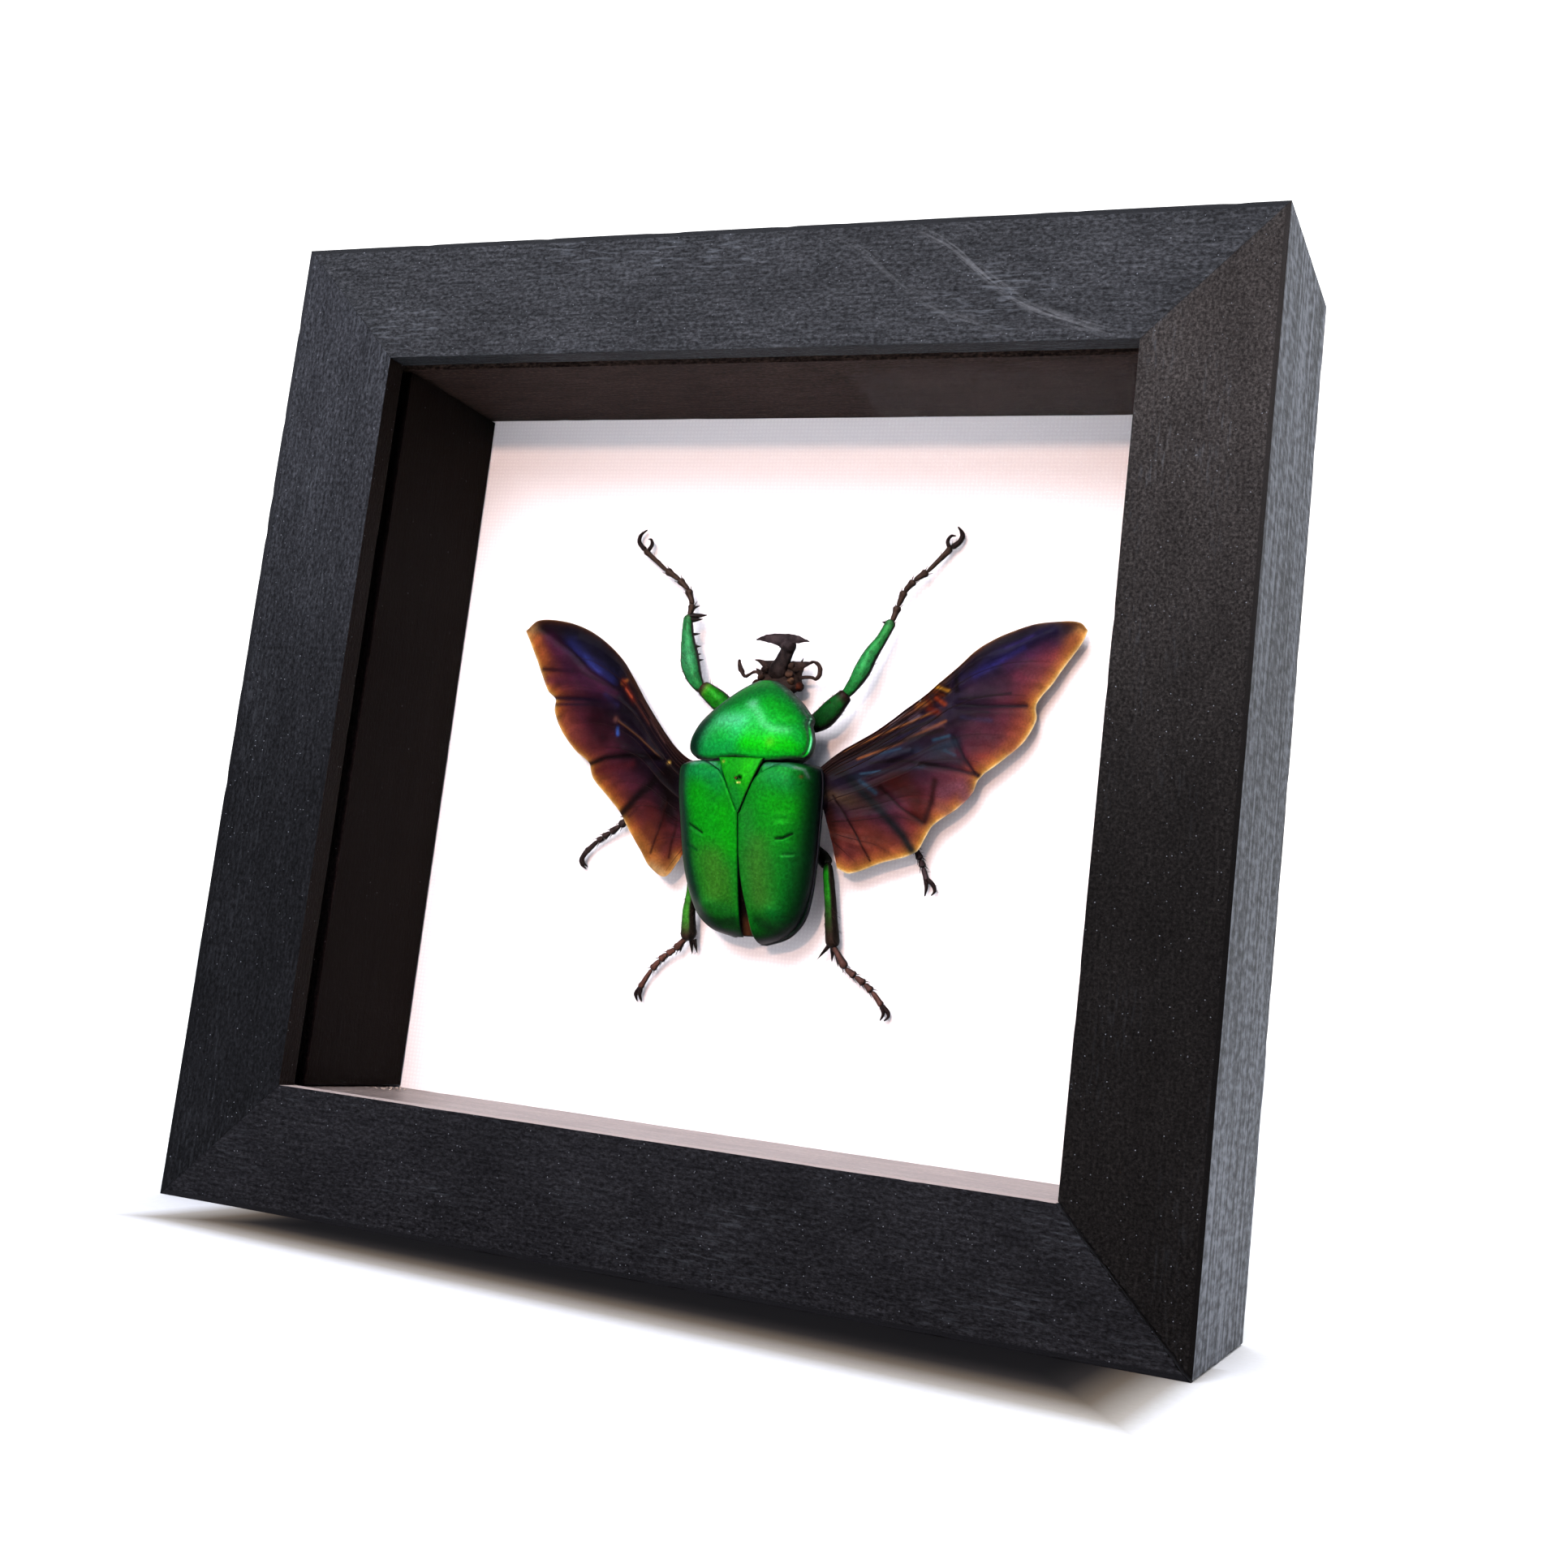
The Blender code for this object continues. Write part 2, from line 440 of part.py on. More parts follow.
def make_rail(name, length, turn):
    """An L-shaped moulding along X with its outer side at the bottom, mitred at both ends and then turned."""
    wall = FACE_WIDTH - RABBET
    profile = (
        (0.0, 0.0), (0.0, FRAME_DEPTH), (wall, FRAME_DEPTH),
        (wall, LIP_DEPTH), (FACE_WIDTH, LIP_DEPTH), (FACE_WIDTH, 0.0),
    )
    bm = bmesh.new()
    end = [bm.verts.new((-length / 2, FRONT_Y + depth, up)) for up, depth in profile]
    face = bm.faces.new(end)
    moved = bmesh.ops.extrude_face_region(bm, geom=[face])["geom"]
    far_end = [item for item in moved if isinstance(item, bmesh.types.BMVert)]
    bmesh.ops.translate(bm, vec=(length, 0, 0), verts=far_end)
    bmesh.ops.recalc_face_normals(bm, faces=bm.faces)
    weights = bm.edges.layers.float.new("bevel_weight_edge")
    for edge in bm.edges:
        run = edge.verts[0].co - edge.verts[1].co
        edge[weights] = 1.0 if abs(run.x) > length / 2 and edge.is_convex else 0.0
    for side in (-1, 1):
        bmesh.ops.bisect_plane(
            bm, geom=bm.verts[:] + bm.edges[:] + bm.faces[:], clear_outer=True,
            plane_co=(side * (length / 2 - GAP / math.sqrt(2)), 0, 0), plane_no=(side, 0, 1),
        )
        open_edges = [edge for edge in bm.edges if edge.is_boundary]
        bmesh.ops.contextual_create(bm, geom=open_edges)
    distance = (FRAME_WIDTH if length == FRAME_HEIGHT else FRAME_HEIGHT) / 2
    place = Matrix.Translation((0, 0, MIDDLE_Z)) @ Matrix.Rotation(math.radians(turn), 4, "Y")
    bmesh.ops.transform(bm, matrix=place @ Matrix.Translation((0, 0, -distance)), verts=bm.verts)
    rail = add_object(name, mesh_from(name, bm), STAINED_WOOD)
    add_bevel(rail, ARRIS, weighted=True)
    return rail


def make_frame():
    make_rail("frame_rail_bottom", FRAME_WIDTH, 0)
    make_rail("frame_rail_top", FRAME_WIDTH, 180)
    make_rail("frame_rail_left", FRAME_HEIGHT, 90)
    make_rail("frame_rail_right", FRAME_HEIGHT, -90)


def make_spacers():
    half_width = INNER_WIDTH / 2 + SPACER_RECESS
    half_height = INNER_HEIGHT / 2 + SPACER_RECESS
    front = FRONT_Y + SPACER_FRONT
    back = PAPER_Y - GAP
    spans = {
        "spacer_bottom": (-half_width - SPACER_THICKNESS, half_width + SPACER_THICKNESS,
                          -half_height - SPACER_THICKNESS, -half_height),
        "spacer_top": (-half_width - SPACER_THICKNESS, half_width + SPACER_THICKNESS,
                       half_height, half_height + SPACER_THICKNESS),
        "spacer_left": (-half_width - SPACER_THICKNESS, -half_width, -half_height + GAP, half_height - GAP),
        "spacer_right": (half_width, half_width + SPACER_THICKNESS, -half_height + GAP, half_height - GAP),
    }
    for name, (left, right, low, high) in spans.items():
        box(name, (left, front, MIDDLE_Z + low), (right, back, MIDDLE_Z + high), LACQUERED_WOOD)


def make_panel(name, front, thickness, material):
    return box(
        name, (-PANEL_WIDTH / 2, front, MIDDLE_Z - PANEL_HEIGHT / 2),
        (PANEL_WIDTH / 2, front + thickness, MIDDLE_Z + PANEL_HEIGHT / 2), material,
    )


def pin_hole(obj):
    """Drills the pin's hole through an object."""
    x, y = PIN_PLACE
    front = PAPER_Y - (PIN_TOP + 4) * MM
    hole = rod("pin_hole_" + obj.name, x * MM, MIDDLE_Z + y * MM, front, BACK_Y + BACK_THICKNESS,
               (PIN_RADIUS + PIN_CLEARANCE) * MM, BRASS, segments=12)
    cut(obj, hole)


def make_panels():
    make_panel("glass_pane", FRONT_Y + LIP_DEPTH + GAP, GLASS_THICKNESS, CLEAR_GLASS)
    pin_hole(make_panel("backing_board", PAPER_Y, BOARD_THICKNESS, WHITE_PAPER))
    back = make_panel("back_panel", BACK_Y, BACK_THICKNESS, BROWN_HARDBOARD)
    for side in (-1, 1):
        hole = rod("nail_hole", side * (HANGER_LENGTH - HANGER_PAD) / 2, hanger_z(), BACK_Y - GAP,
                   FIXING_Y, NAIL_RADIUS + GAP, PLATED_STEEL, segments=12)
        cut(back, hole)


def make_tabs():
    """Thin steel points, driven into the side rails, that hold the back in."""
    wall_x = FRAME_WIDTH / 2 - FACE_WIDTH + RABBET
    for side, side_name in ((-1, "left"), (1, "right")):
        rail = bpy.data.objects["frame_rail_" + side_name]
        for end, end_name in ((-1, "low"), (1, "high")):
            z = MIDDLE_Z + end * TAB_HEIGHT
            reach = sorted((side * (wall_x - TAB_REACH), side * (wall_x + TAB_BITE)))
            slot = sorted((side * (wall_x - TAB_BITE), side * (wall_x + TAB_BITE + GAP)))
            low, high = z - TAB_WIDTH / 2, z + TAB_WIDTH / 2
            name = "retaining_point_" + side_name + "_" + end_name
            box(name, (reach[0], FIXING_Y, low), (reach[1], FIXING_Y + TAB_THICKNESS, high), PLATED_STEEL)
            cutter = box("slot_" + name, (slot[0], FIXING_Y - GAP, low - GAP),
                         (slot[1], FIXING_Y + TAB_THICKNESS + GAP, high + GAP), PLATED_STEEL)
            cut(rail, cutter)


def hanger_z():
    return FRAME_HEIGHT - HANGER_DROP


def make_hanger():
    """A flat bar with teeth along its lower edge, on a pad at each end, and two nails."""
    half_length = HANGER_LENGTH / 2
    half_height = HANGER_HEIGHT / 2
    first_tooth = -TOOTH_PITCH * TOOTH_COUNT / 2
    outline = [(-half_length, half_height), (-half_length, -half_height)]
    for i in range(TOOTH_COUNT):
        left = first_tooth + i * TOOTH_PITCH
        outline += [(left, -half_height), (left + TOOTH_PITCH / 2, -half_height + TOOTH_DEPTH)]
    outline += [(-first_tooth, -half_height), (half_length, -half_height), (half_length, half_height)]
    curve = bpy.data.curves.new("hanger_outline", "CURVE")
    curve.dimensions = "2D"
    curve.fill_mode = "BOTH"
    curve.extrude = HANGER_THICKNESS / 2
    spline = curve.splines.new("POLY")
    spline.points.add(len(outline) - 1)
    for point, (x, y) in zip(spline.points, outline):
        point.co = (x, y, 0, 1)
    spline.use_cyclic_u = True
    drawn = bpy.data.objects.new("hanger_outline", curve)
    parts.objects.link(drawn)
    mesh = bpy.data.meshes.new_from_object(drawn.evaluated_get(bpy.context.evaluated_depsgraph_get()))
    bpy.data.objects.remove(drawn, do_unlink=True)
    bm = bmesh.new()
    bm.from_mesh(mesh)
    bmesh.ops.remove_doubles(bm, verts=bm.verts, dist=0.0001 * MM)
    plate_y = FIXING_Y + GAP + HANGER_THICKNESS / 2
    bmesh.ops.transform(
        bm, verts=bm.verts,
        matrix=Matrix.Translation((0, plate_y, hanger_z())) @ Matrix.Rotation(math.radians(90), 4, "X"),
    )
    pieces = [add_object("sawtooth_hanger", mesh_from("sawtooth_hanger", bm), PLATED_STEEL)]
    pad_height = half_height - HANGER_PAD_INSET
    for side in (-1, 1):
        ends = sorted((side * (half_length - HANGER_PAD_INSET), side * (half_length - HANGER_PAD)))
        pieces.append(box("hanger_pad", (ends[0], FIXING_Y, hanger_z() - pad_height),
                          (ends[1], plate_y, hanger_z() + pad_height), PLATED_STEEL))
    hanger = fuse("sawtooth_hanger", pieces)
    head_y = plate_y + HANGER_THICKNESS / 2 + GAP
    for side, side_name in ((-1, "left"), (1, "right")):
        x = side * (HANGER_LENGTH - HANGER_PAD) / 2
        cut(hanger, rod("hanger_hole", x, hanger_z(), BACK_Y, FRAME_DEPTH, NAIL_RADIUS + GAP, PLATED_STEEL, 12))
        fuse("hanger_nail_" + side_name, [
            rod("nail_head", x, hanger_z(), head_y, head_y + NAIL_HEAD_THICKNESS, NAIL_HEAD_RADIUS, PLATED_STEEL),
            rod("nail_shank", x, hanger_z(), BACK_Y + GAP, head_y + NAIL_HEAD_THICKNESS / 2, NAIL_RADIUS,
                PLATED_STEEL, segments=10),
        ])


def elytron_height(x, s):
    """Height of the wing case's outer skin, with the shoulder and tail bumps."""
    top = along(ELYTRON_TOP, s)
    rim = along(ELYTRON_RIM, s)
    height = rim + (top - rim) * dome(x / along(ELYTRON_HALF_WIDTH, s))
    shoulder = 0.35 * math.exp(-(((abs(x) - 7.4) / 1.8) ** 2) - ((s + 3.6) / 2.2) ** 2)
    tail = 0.5 * math.exp(-(((abs(x) - 4.9) / 1.6) ** 2) - ((s + 22.8) / 1.6) ** 2)
    return height + shoulder + tail


def suture_opening(s, side):
    """x of the edge along the suture, which opens towards the tail on the right."""
    return along(SUTURE_GAP, s) if side > 0 else SUTURE_GAP[-1][1]


def elytron_edges(s, side):
    """x of the inner edge, which runs beside the scutellum and then along the suture, and of the rim."""
    opening = suture_opening(s, side)
    beside = along(SCUTELLUM_HALF_WIDTH, s) + SHELL_GAP if s > SCUTELLUM_HALF_WIDTH[0][0] else 0.0
    return max(beside, opening), along(ELYTRON_HALF_WIDTH, s) + 0.3 * (opening - SUTURE_GAP[-1][1])


def make_elytron(side, name):
    rings = []
    length = LEFT_ELYTRON_LENGTH if side < 0 else 1.0
    for s in eased(ELYTRON_HALF_WIDTH[0][0], ELYTRON_HALF_WIDTH[-1][0], 17):
        inner, width = elytron_edges(s, side)
        rim = along(ELYTRON_RIM, s)
        outer_side = []
        inner_side = []
        for i in range(9):
            part = math.sin(math.pi / 2 * i / 8)
            x = inner + (width - inner) * part
            under_x = inner + (width - SHELL - inner) * part
            height = elytron_height(x, s)
            outer_side.append(on_body(side * x, s * length, height))
            under = rim + (elytron_height(under_x, s) - SHELL - rim) * dome(i / 8, 12)
            inner_side.append(on_body(side * under_x, s * length, max(rim, under)))
        rings.append(outer_side + inner_side[::-1])
    loft(name, rings, GREEN_CUTICLE)


def make_scutellum():
    rings = []
    for s in steps(SCUTELLUM_HALF_WIDTH[0][0], SCUTELLUM_HALF_WIDTH[-1][0], 7):
        half = along(SCUTELLUM_HALF_WIDTH, s)
        xs = steps(-half, half, 5)
        top = along(ELYTRON_TOP, s)
        rings.append(
            [on_body(x, s, top + 0.05 - 0.02 * x * x) for x in xs]
            + [on_body(x, s, top - SHELL) for x in xs[::-1]]
        )
    pin_hole(loft("scutellum", rings, GREEN_CUTICLE))


def make_pronotum():
    """The shield behind the head, closed below by the chest, with a hood over the neck."""
    rings = []
    start, end = PRONOTUM_HALF_WIDTH[0][0], PRONOTUM_HALF_WIDTH[-1][0]
    for s in eased(start, end, 14):
        width = along(PRONOTUM_HALF_WIDTH, s)
        top, rim = along(PRONOTUM_TOP, s), along(PRONOTUM_RIM, s)
        belly = min(along(PRONOTUM_BELLY, s), rim - 0.1)
        angles = steps(0.0, math.pi, 13)
        upper = [(width * math.cos(a), rim + (top - rim) * dome(math.cos(a), 2.2)) for a in angles]
        lower = [(width * 0.97 * math.cos(a), rim - 0.15 - (rim - 0.15 - belly) * dome(math.cos(a), 2.0)) for a in angles]
        rings.append([on_body(x, s, h) for x, h in upper] + [on_body(x, s, h) for x, h in lower[::-1]])
    loft("pronotum", rings, GREEN_CUTICLE)


def make_underbody():
    """Hind chest and abdomen, under the wing cases."""
    rings = []
    for s in eased(ABDOMEN_HALF_WIDTH[0][0], ABDOMEN_HALF_WIDTH[-1][0], 15):
        width = along(ABDOMEN_HALF_WIDTH, s)
        side = along(ABDOMEN_SIDE, s)
        ring = []
        for i in range(22):
            a = math.pi * (i + 0.5) / 11
            reach = along(ABDOMEN_TOP, s) - side if math.sin(a) > 0 else side - along(ABDOMEN_BELLY, s)
            across = math.copysign(abs(math.cos(a)) ** 0.85, math.cos(a))
            ring.append(on_body(width * across, s, side + reach * math.sin(a)))
        rings.append(ring)
    pin_hole(loft("underbody", rings, DARK_CUTICLE))


def make_head():
    rings = []
    for y, middle, width, top, under in HEAD_SECTIONS:
        ring = []
        for i in range(14):
            a = math.pi * (i + 0.5) / 7
            ring.append(on_paper(middle + width * math.cos(a), y, (top + under) / 2 + (top - under) / 2 * math.sin(a)))
        rings.append(ring)
    bar = []
    for x, front, rear in HORN_BAR:
        half = (front - rear) / 2
        thick = HORN_THICKNESS / 2 * min(1.0, 0.25 + half)
        bar.append([
            on_paper(HORN_MIDDLE[0] + x, (front + rear) / 2 + half * math.cos(a), HORN_MIDDLE[1] + thick * math.sin(a))
            for a in (math.pi * (2 * j + 1) / 8 for j in range(8))
        ])
    pieces = [loft("head_capsule", rings, DARK_CUTICLE), tube("horn_stem", HORN_STEM, DARK_CUTICLE)]
    pieces.append(loft("horn_bar", bar, DARK_CUTICLE))
    pieces.append(spine("clypeus_spike", (-0.6, 14.8, 3.9), (-3.5, 15.8, 4.1), 0.75, DARK_CUTICLE))
    pieces.append(spine("clypeus_spike", (2.8, 14.9, 3.7), (6.0, 15.8, 3.7), 0.75, DARK_CUTICLE))
    for path in ANTENNAE:
        pieces.append(tube("antenna", path, DARK_CUTICLE, sides=6, flatness=1.0))
    for x, y, h, radius in EYES:
        bm = bmesh.new()
        bmesh.ops.create_uvsphere(bm, u_segments=8, v_segments=6, radius=radius * MM,
                                  matrix=Matrix.Translation(on_paper(x, y, h)))
        pieces.append(add_object("eye", mesh_from("eye", bm), DARK_CUTICLE, smooth=True))
    fuse("head_with_horn", pieces)


def tarsus_path(joints):
    """Five foot joints: each starts narrow and swells towards its far end."""
    path = []
    for start, end in zip(joints, joints[1:]):
        for part, radius in ((0.0, TARSUS_NARROW), (0.55, TARSUS_NARROW * 1.25), (0.82, TARSUS_WIDE)):
            path.append((*(a + (b - a) * part for a, b in zip(start, end)), radius))
    path.append((*joints[-1], TARSUS_NARROW))
    return path


def make_leg(name, leg):
    pieces = [tube("femur", leg["femur"], GREEN_CUTICLE), tube("tibia", leg["tibia"], GREEN_CUTICLE)]
    pieces.append(tube("tarsus", tarsus_path(leg["tarsus"]), DARK_CUTICLE, sides=6, flatness=1.0))
    for claw in leg["claws"]:
        pieces.append(tube("claw", claw, DARK_CUTICLE, sides=6, flatness=1.0))
    for foot, tip, radius in leg["spines"]:
        pieces.append(spine("spine", foot, tip, radius, DARK_CUTICLE))
    fuse(name, pieces)


def shares(points):
    """How far along a line each of its points is, from 0 to 1."""
    run = [0.0]
    for start, end in zip(points, points[1:]):
        run.append(run[-1] + math.dist(start, end))
    return [reach / run[-1] for reach in run]


def on_line(points, share):
    """The place at a share of a line's length."""
    reached = shares(points)
    k = max(i for i in range(len(points) - 1) if reached[i] <= share)
    part = (share - reached[k]) / (reached[k + 1] - reached[k])
    return Vector(points[k]).lerp(Vector(points[k + 1]), part)


def wing_place(wing, across, out):
    """A place between the wing's four edges: across it from its leading edge, and out from its root."""
    root, margin = on_line(wing["root"], across), on_line(wing["margin"], across)
    leading = on_line(wing["leading"], out)
    inner, tip = Vector(wing["root"][0]), Vector(wing["margin"][0])
    return root.lerp(margin, out) + (leading - inner.lerp(tip, out)) * (1 - across)


def wing_height(place, root, across, out):
    vein = max(0.0, 1 - min(abs(across - vein) for vein in VEINS) / VEIN_WIDTH)
    pleat = PLEAT * vein * math.sin(math.pi * min(1.0, 0.15 + 0.85 * out))
    return WING_REST + WING_RISE * math.exp(-math.dist(place, root) / WING_FADE) + pleat


def make_wing(name, wing):
    """A thin sheet between its edges, pleated along veins that run out from the root."""
    bm = bmesh.new()
    rows = []
    for across in shares(wing["margin"]):
        row = []
        for out in shares(wing["leading"]):
            place = wing_place(wing, across, out)
            row.append(bm.verts.new(on_paper(*place, wing_height(place, wing["root"][0], across, out))))
        rows.append(row)
    for first, second in zip(rows, rows[1:]):
        for i in range(len(first) - 1):
            bm.faces.new((first[i], first[i + 1], second[i + 1], second[i]))
    wing_object = add_object(name, mesh_from(name, bm), WING_MEMBRANE, smooth=True)
    wall = wing_object.modifiers.new("wall", "SOLIDIFY")
    wall.thickness = WING_THICKNESS * MM
    wall.offset = 0.0


def make_pin():
    x, y = PIN_PLACE
    rod("insect_pin", x * MM, MIDDLE_Z + y * MM, PAPER_Y - PIN_TOP * MM, PAPER_Y - PIN_END * MM,
        PIN_RADIUS * MM, BRASS, segments=10)


make_frame()
make_spacers()
make_panels()
make_tabs()
make_hanger()
make_underbody()
make_pronotum()
make_head()
make_scutellum()
make_elytron(-1, "elytron_left")
make_elytron(1, "elytron_right")
for wing_name, wing_shape in WINGS.items():
    make_wing(wing_name, wing_shape)
for leg_name, leg_shape in LEGS.items():
    make_leg(leg_name, leg_shape)
make_pin()
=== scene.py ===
import math
from functools import partial

import bmesh
import bpy
import numpy as np
from mathutils import Matrix, Vector


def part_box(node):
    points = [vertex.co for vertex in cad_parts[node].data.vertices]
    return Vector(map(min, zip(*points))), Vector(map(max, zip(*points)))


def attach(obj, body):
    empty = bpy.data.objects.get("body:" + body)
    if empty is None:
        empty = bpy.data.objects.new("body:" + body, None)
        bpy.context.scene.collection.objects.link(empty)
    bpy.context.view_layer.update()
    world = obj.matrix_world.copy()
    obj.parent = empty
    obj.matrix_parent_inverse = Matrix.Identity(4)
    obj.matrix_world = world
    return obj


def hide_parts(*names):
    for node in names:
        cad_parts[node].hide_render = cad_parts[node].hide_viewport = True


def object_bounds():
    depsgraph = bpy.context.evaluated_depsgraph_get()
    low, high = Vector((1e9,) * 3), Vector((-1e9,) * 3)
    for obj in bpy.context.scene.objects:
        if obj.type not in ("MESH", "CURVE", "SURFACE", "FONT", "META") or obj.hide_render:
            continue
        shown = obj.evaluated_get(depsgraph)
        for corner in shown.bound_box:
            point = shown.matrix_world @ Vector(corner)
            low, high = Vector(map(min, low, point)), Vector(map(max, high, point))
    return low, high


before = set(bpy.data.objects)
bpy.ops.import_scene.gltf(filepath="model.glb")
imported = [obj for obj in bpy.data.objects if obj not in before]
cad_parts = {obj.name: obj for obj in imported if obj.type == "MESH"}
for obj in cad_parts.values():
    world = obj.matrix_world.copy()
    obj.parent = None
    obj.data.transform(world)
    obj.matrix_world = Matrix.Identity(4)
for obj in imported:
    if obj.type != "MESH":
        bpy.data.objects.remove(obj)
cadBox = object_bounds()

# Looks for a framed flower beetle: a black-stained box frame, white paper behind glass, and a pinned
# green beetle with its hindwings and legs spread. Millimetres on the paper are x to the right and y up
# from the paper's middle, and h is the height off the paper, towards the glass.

mm = 0.001
photoSize = 1932                          # the photograph's width and height in pixels
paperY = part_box("backing_board")[0].y     # the paper's face
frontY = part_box("frame_rail_bottom")[0].y
frameWidth = cadBox[1][0] - cadBox[0][0]
frameHeight = cadBox[1][2] - cadBox[0][2]
middleZ = frameHeight / 2


# Small tools

def hexTone(code):                        # sRGB hex as numbers, for mixing as the eye does
    return np.array([int(code[i:i + 2], 16) / 255 for i in (1, 3, 5)] + [1.0])


def linear(tones):                        # sRGB numbers to the linear ones that a shader takes
    tones = np.clip(np.asarray(tones, float), 0.0, 1.0)
    made = np.where(tones <= 0.04045, tones / 12.92, ((tones + 0.055) / 1.055) ** 2.4)
    made[..., 3] = 1.0
    return made


def hexColour(code):
    return linear(hexTone(code)).tolist()


def setUp(tree, node, values):
    # A node's attributes by name, its inputs by name or number, and a ramp's stops. An input takes a number,
    # a hex colour, a socket, or a node, whose first output in use is taken.
    for key, value in values.items():
        if key == "stops":
            ramp = node.color_ramp.elements
            while len(ramp) < len(value):
                ramp.new(1.0)
            for element, (place, colour) in zip(ramp, value):
                element.position = place
                element.color = hexColour(colour) if isinstance(colour, str) else [colour] * 3 + [1.0]
        elif isinstance(key, str) and hasattr(node, key):
            setattr(node, key, value)
        else:
            if isinstance(value, bpy.types.Node):
                value = next(output for output in value.outputs if output.enabled)
            if isinstance(value, bpy.types.NodeSocket):
                tree.links.new(value, node.inputs[key])
            else:
                tinting = isinstance(value, str) and value.startswith("#")
                node.inputs[key].default_value = hexColour(value) if tinting else value


class Nodes:                              # short ways to add nodes to one tree
    def __init__(self, tree):
        self.tree = tree

    def __call__(self, kind, values={}):
        node = self.tree.nodes.new(kind)
        setUp(self.tree, node, values)
        return node

    def calc(self, operation, *values):
        return self("ShaderNodeMath", {"operation": operation, **dict(enumerate(values))})

    def times(self, *values):
        return self.calc("MULTIPLY", *values)

    def less(self, *values):
        return self.calc("SUBTRACT", *values)

    def timesAdd(self, *values):
        return self.calc("MULTIPLY_ADD", *values)

    def ramp(self, value, stops):
        return self("ShaderNodeValToRGB", {"stops": stops, "Fac": value})

    def soft(self, value, start, end, low=0.0, high=1.0):
        return self(rangeNode, {"interpolation_type": "SMOOTHSTEP", "Value": value,
                                "From Min": start, "From Max": end, "To Min": low, "To Max": high})

    def mix(self, share, first, second):
        return self("ShaderNodeMix", {"data_type": "RGBA", 0: share, 6: first, 7: second})

    def tint(self, first, second):        # one colour times the other
        return self("ShaderNodeMix", {"data_type": "RGBA", "blend_type": "MULTIPLY",
                                      0: 1.0, 6: first, 7: second})


rangeNode, noiseNode, bumpNode = "ShaderNodeMapRange", "ShaderNodeTexNoise", "ShaderNodeBump"


def newMaterial(name, **plain):
    # A material with plain values, what adds its nodes, and what sets or links its shader's inputs
    material = bpy.data.materials.new(name)
    material.use_nodes = True
    tree, shader = material.node_tree, material.node_tree.nodes["Principled BSDF"]
    inputs = {"colour": "Base Color", "roughness": "Roughness", "gloss": "Specular IOR Level",
              "metallic": "Metallic"}
    setUp(tree, shader, {inputs[key]: value for key, value in plain.items()})
    return material, Nodes(tree), partial(setUp, tree, shader)


def softNoise(points, size, seed=0):      # smooth noise from -1 to 1, its lumps about this size
    cells = np.asarray(points, float) / size
    low = np.floor(cells).astype(np.int64)
    part = cells - low
    part = part * part * (3 - 2 * part)
    total = 0.0
    for corner in np.ndindex(2, 2, 2):
        at = low + corner
        mixed = (at[..., 0] * 73856093) ^ (at[..., 1] * 19349663) ^ (at[..., 2] * 83492791) ^ (seed * 7919)
        mixed = (mixed * 2654435761) & 0xffffffff
        mixed = ((mixed ^ (mixed >> 15)) * 2246822519) & 0xffffffff
        value = ((mixed ^ (mixed >> 13)) & 0xffffff) / 0x7fffff - 1
        total = total + value * np.prod(np.where(corner, part, 1 - part), axis=-1)
    return total


def paint(mesh, name, values):            # a value or colour at each point of a mesh
    values = np.asarray(values, np.float32)
    kind = "FLOAT" if values.ndim == 1 else "FLOAT_COLOR"
    layer = mesh.attributes.new(name, kind, "POINT")
    layer.data.foreach_set("value" if values.ndim == 1 else "color", values.ravel())


def mapPoints(mesh, name, uv):            # a UV map given at each point of a mesh
    corners = np.empty(len(mesh.loops), np.int32)
    mesh.loops.foreach_get("vertex_index", corners)
    mesh.uv_layers.new(name=name).data.foreach_set("uv", np.asarray(uv, np.float32)[corners].ravel())


def meshOf(name, points, faces):
    mesh = bpy.data.meshes.new(name)
    mesh.from_pydata(np.asarray(points).reshape(-1, 3).tolist(), [], faces)
    mesh.validate()
    return mesh


def gridFaces(rows, columns, closed=False, first=0, turned=False):
    faces = []
    for i in range(rows - 1):
        for j in range(columns if closed else columns - 1):
            k = (j + 1) % columns
            face = (first + i * columns + j, first + i * columns + k,
                    first + (i + 1) * columns + k, first + (i + 1) * columns + j)
            faces.append(face[::-1] if turned else face)
    return faces


def outwards(mesh):                       # turns a closed mesh's faces to point out
    bm = bmesh.new()
    bm.from_mesh(mesh)
    bmesh.ops.recalc_face_normals(bm, faces=bm.faces)
    bm.to_mesh(mesh)
    bm.free()
    return mesh


def makePiece(name, mesh, material, slot, *nodes, smoothAngle=40):
    mesh.materials.clear()
    mesh.materials.append(material)
    mesh.shade_smooth()
    mesh.set_sharp_from_angle(angle=math.radians(smoothAngle))
    piece = bpy.data.objects.new(name, mesh)
    bpy.context.scene.collection.objects.link(piece)
    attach(piece, "root")
    if nodes:
        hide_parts(*nodes)
    return piece


# Camera and light

view = {
    "place": (0.1157, -0.2476, 0.0390),   # metres; close to the frame, low and to its right
    "right": (0.92452, 0.36367, 0.11403),
    "up": (-0.05343, -0.17255, 0.98355),
    "focalPixels": 2325,                  # focal length in the photograph's pixels
    "middlePixels": (1021, 902),          # where the lens axis meets the photograph
    "sensor": 36.0,
}
light = {
    # height and turn in degrees, distance and size in metres, watts, colour
    "lamps": {
        "key": (10.5, 7.0, 1.1, 0.07, 5.7, "#ffd0ba"),
        "soft": (33.0, -6.0, 1.0, 0.66, 19.0, "#f7f7ff"),
    },
    "topPlace": (0.05, 0.28, 0.95), "topPower": 4.0, "topSize": 0.4,
    "frontColour": "#5b6c84", "backColour": "#ffffff",   # of the sky in front of the frame and behind it
    "skyStrength": 1.7,
}


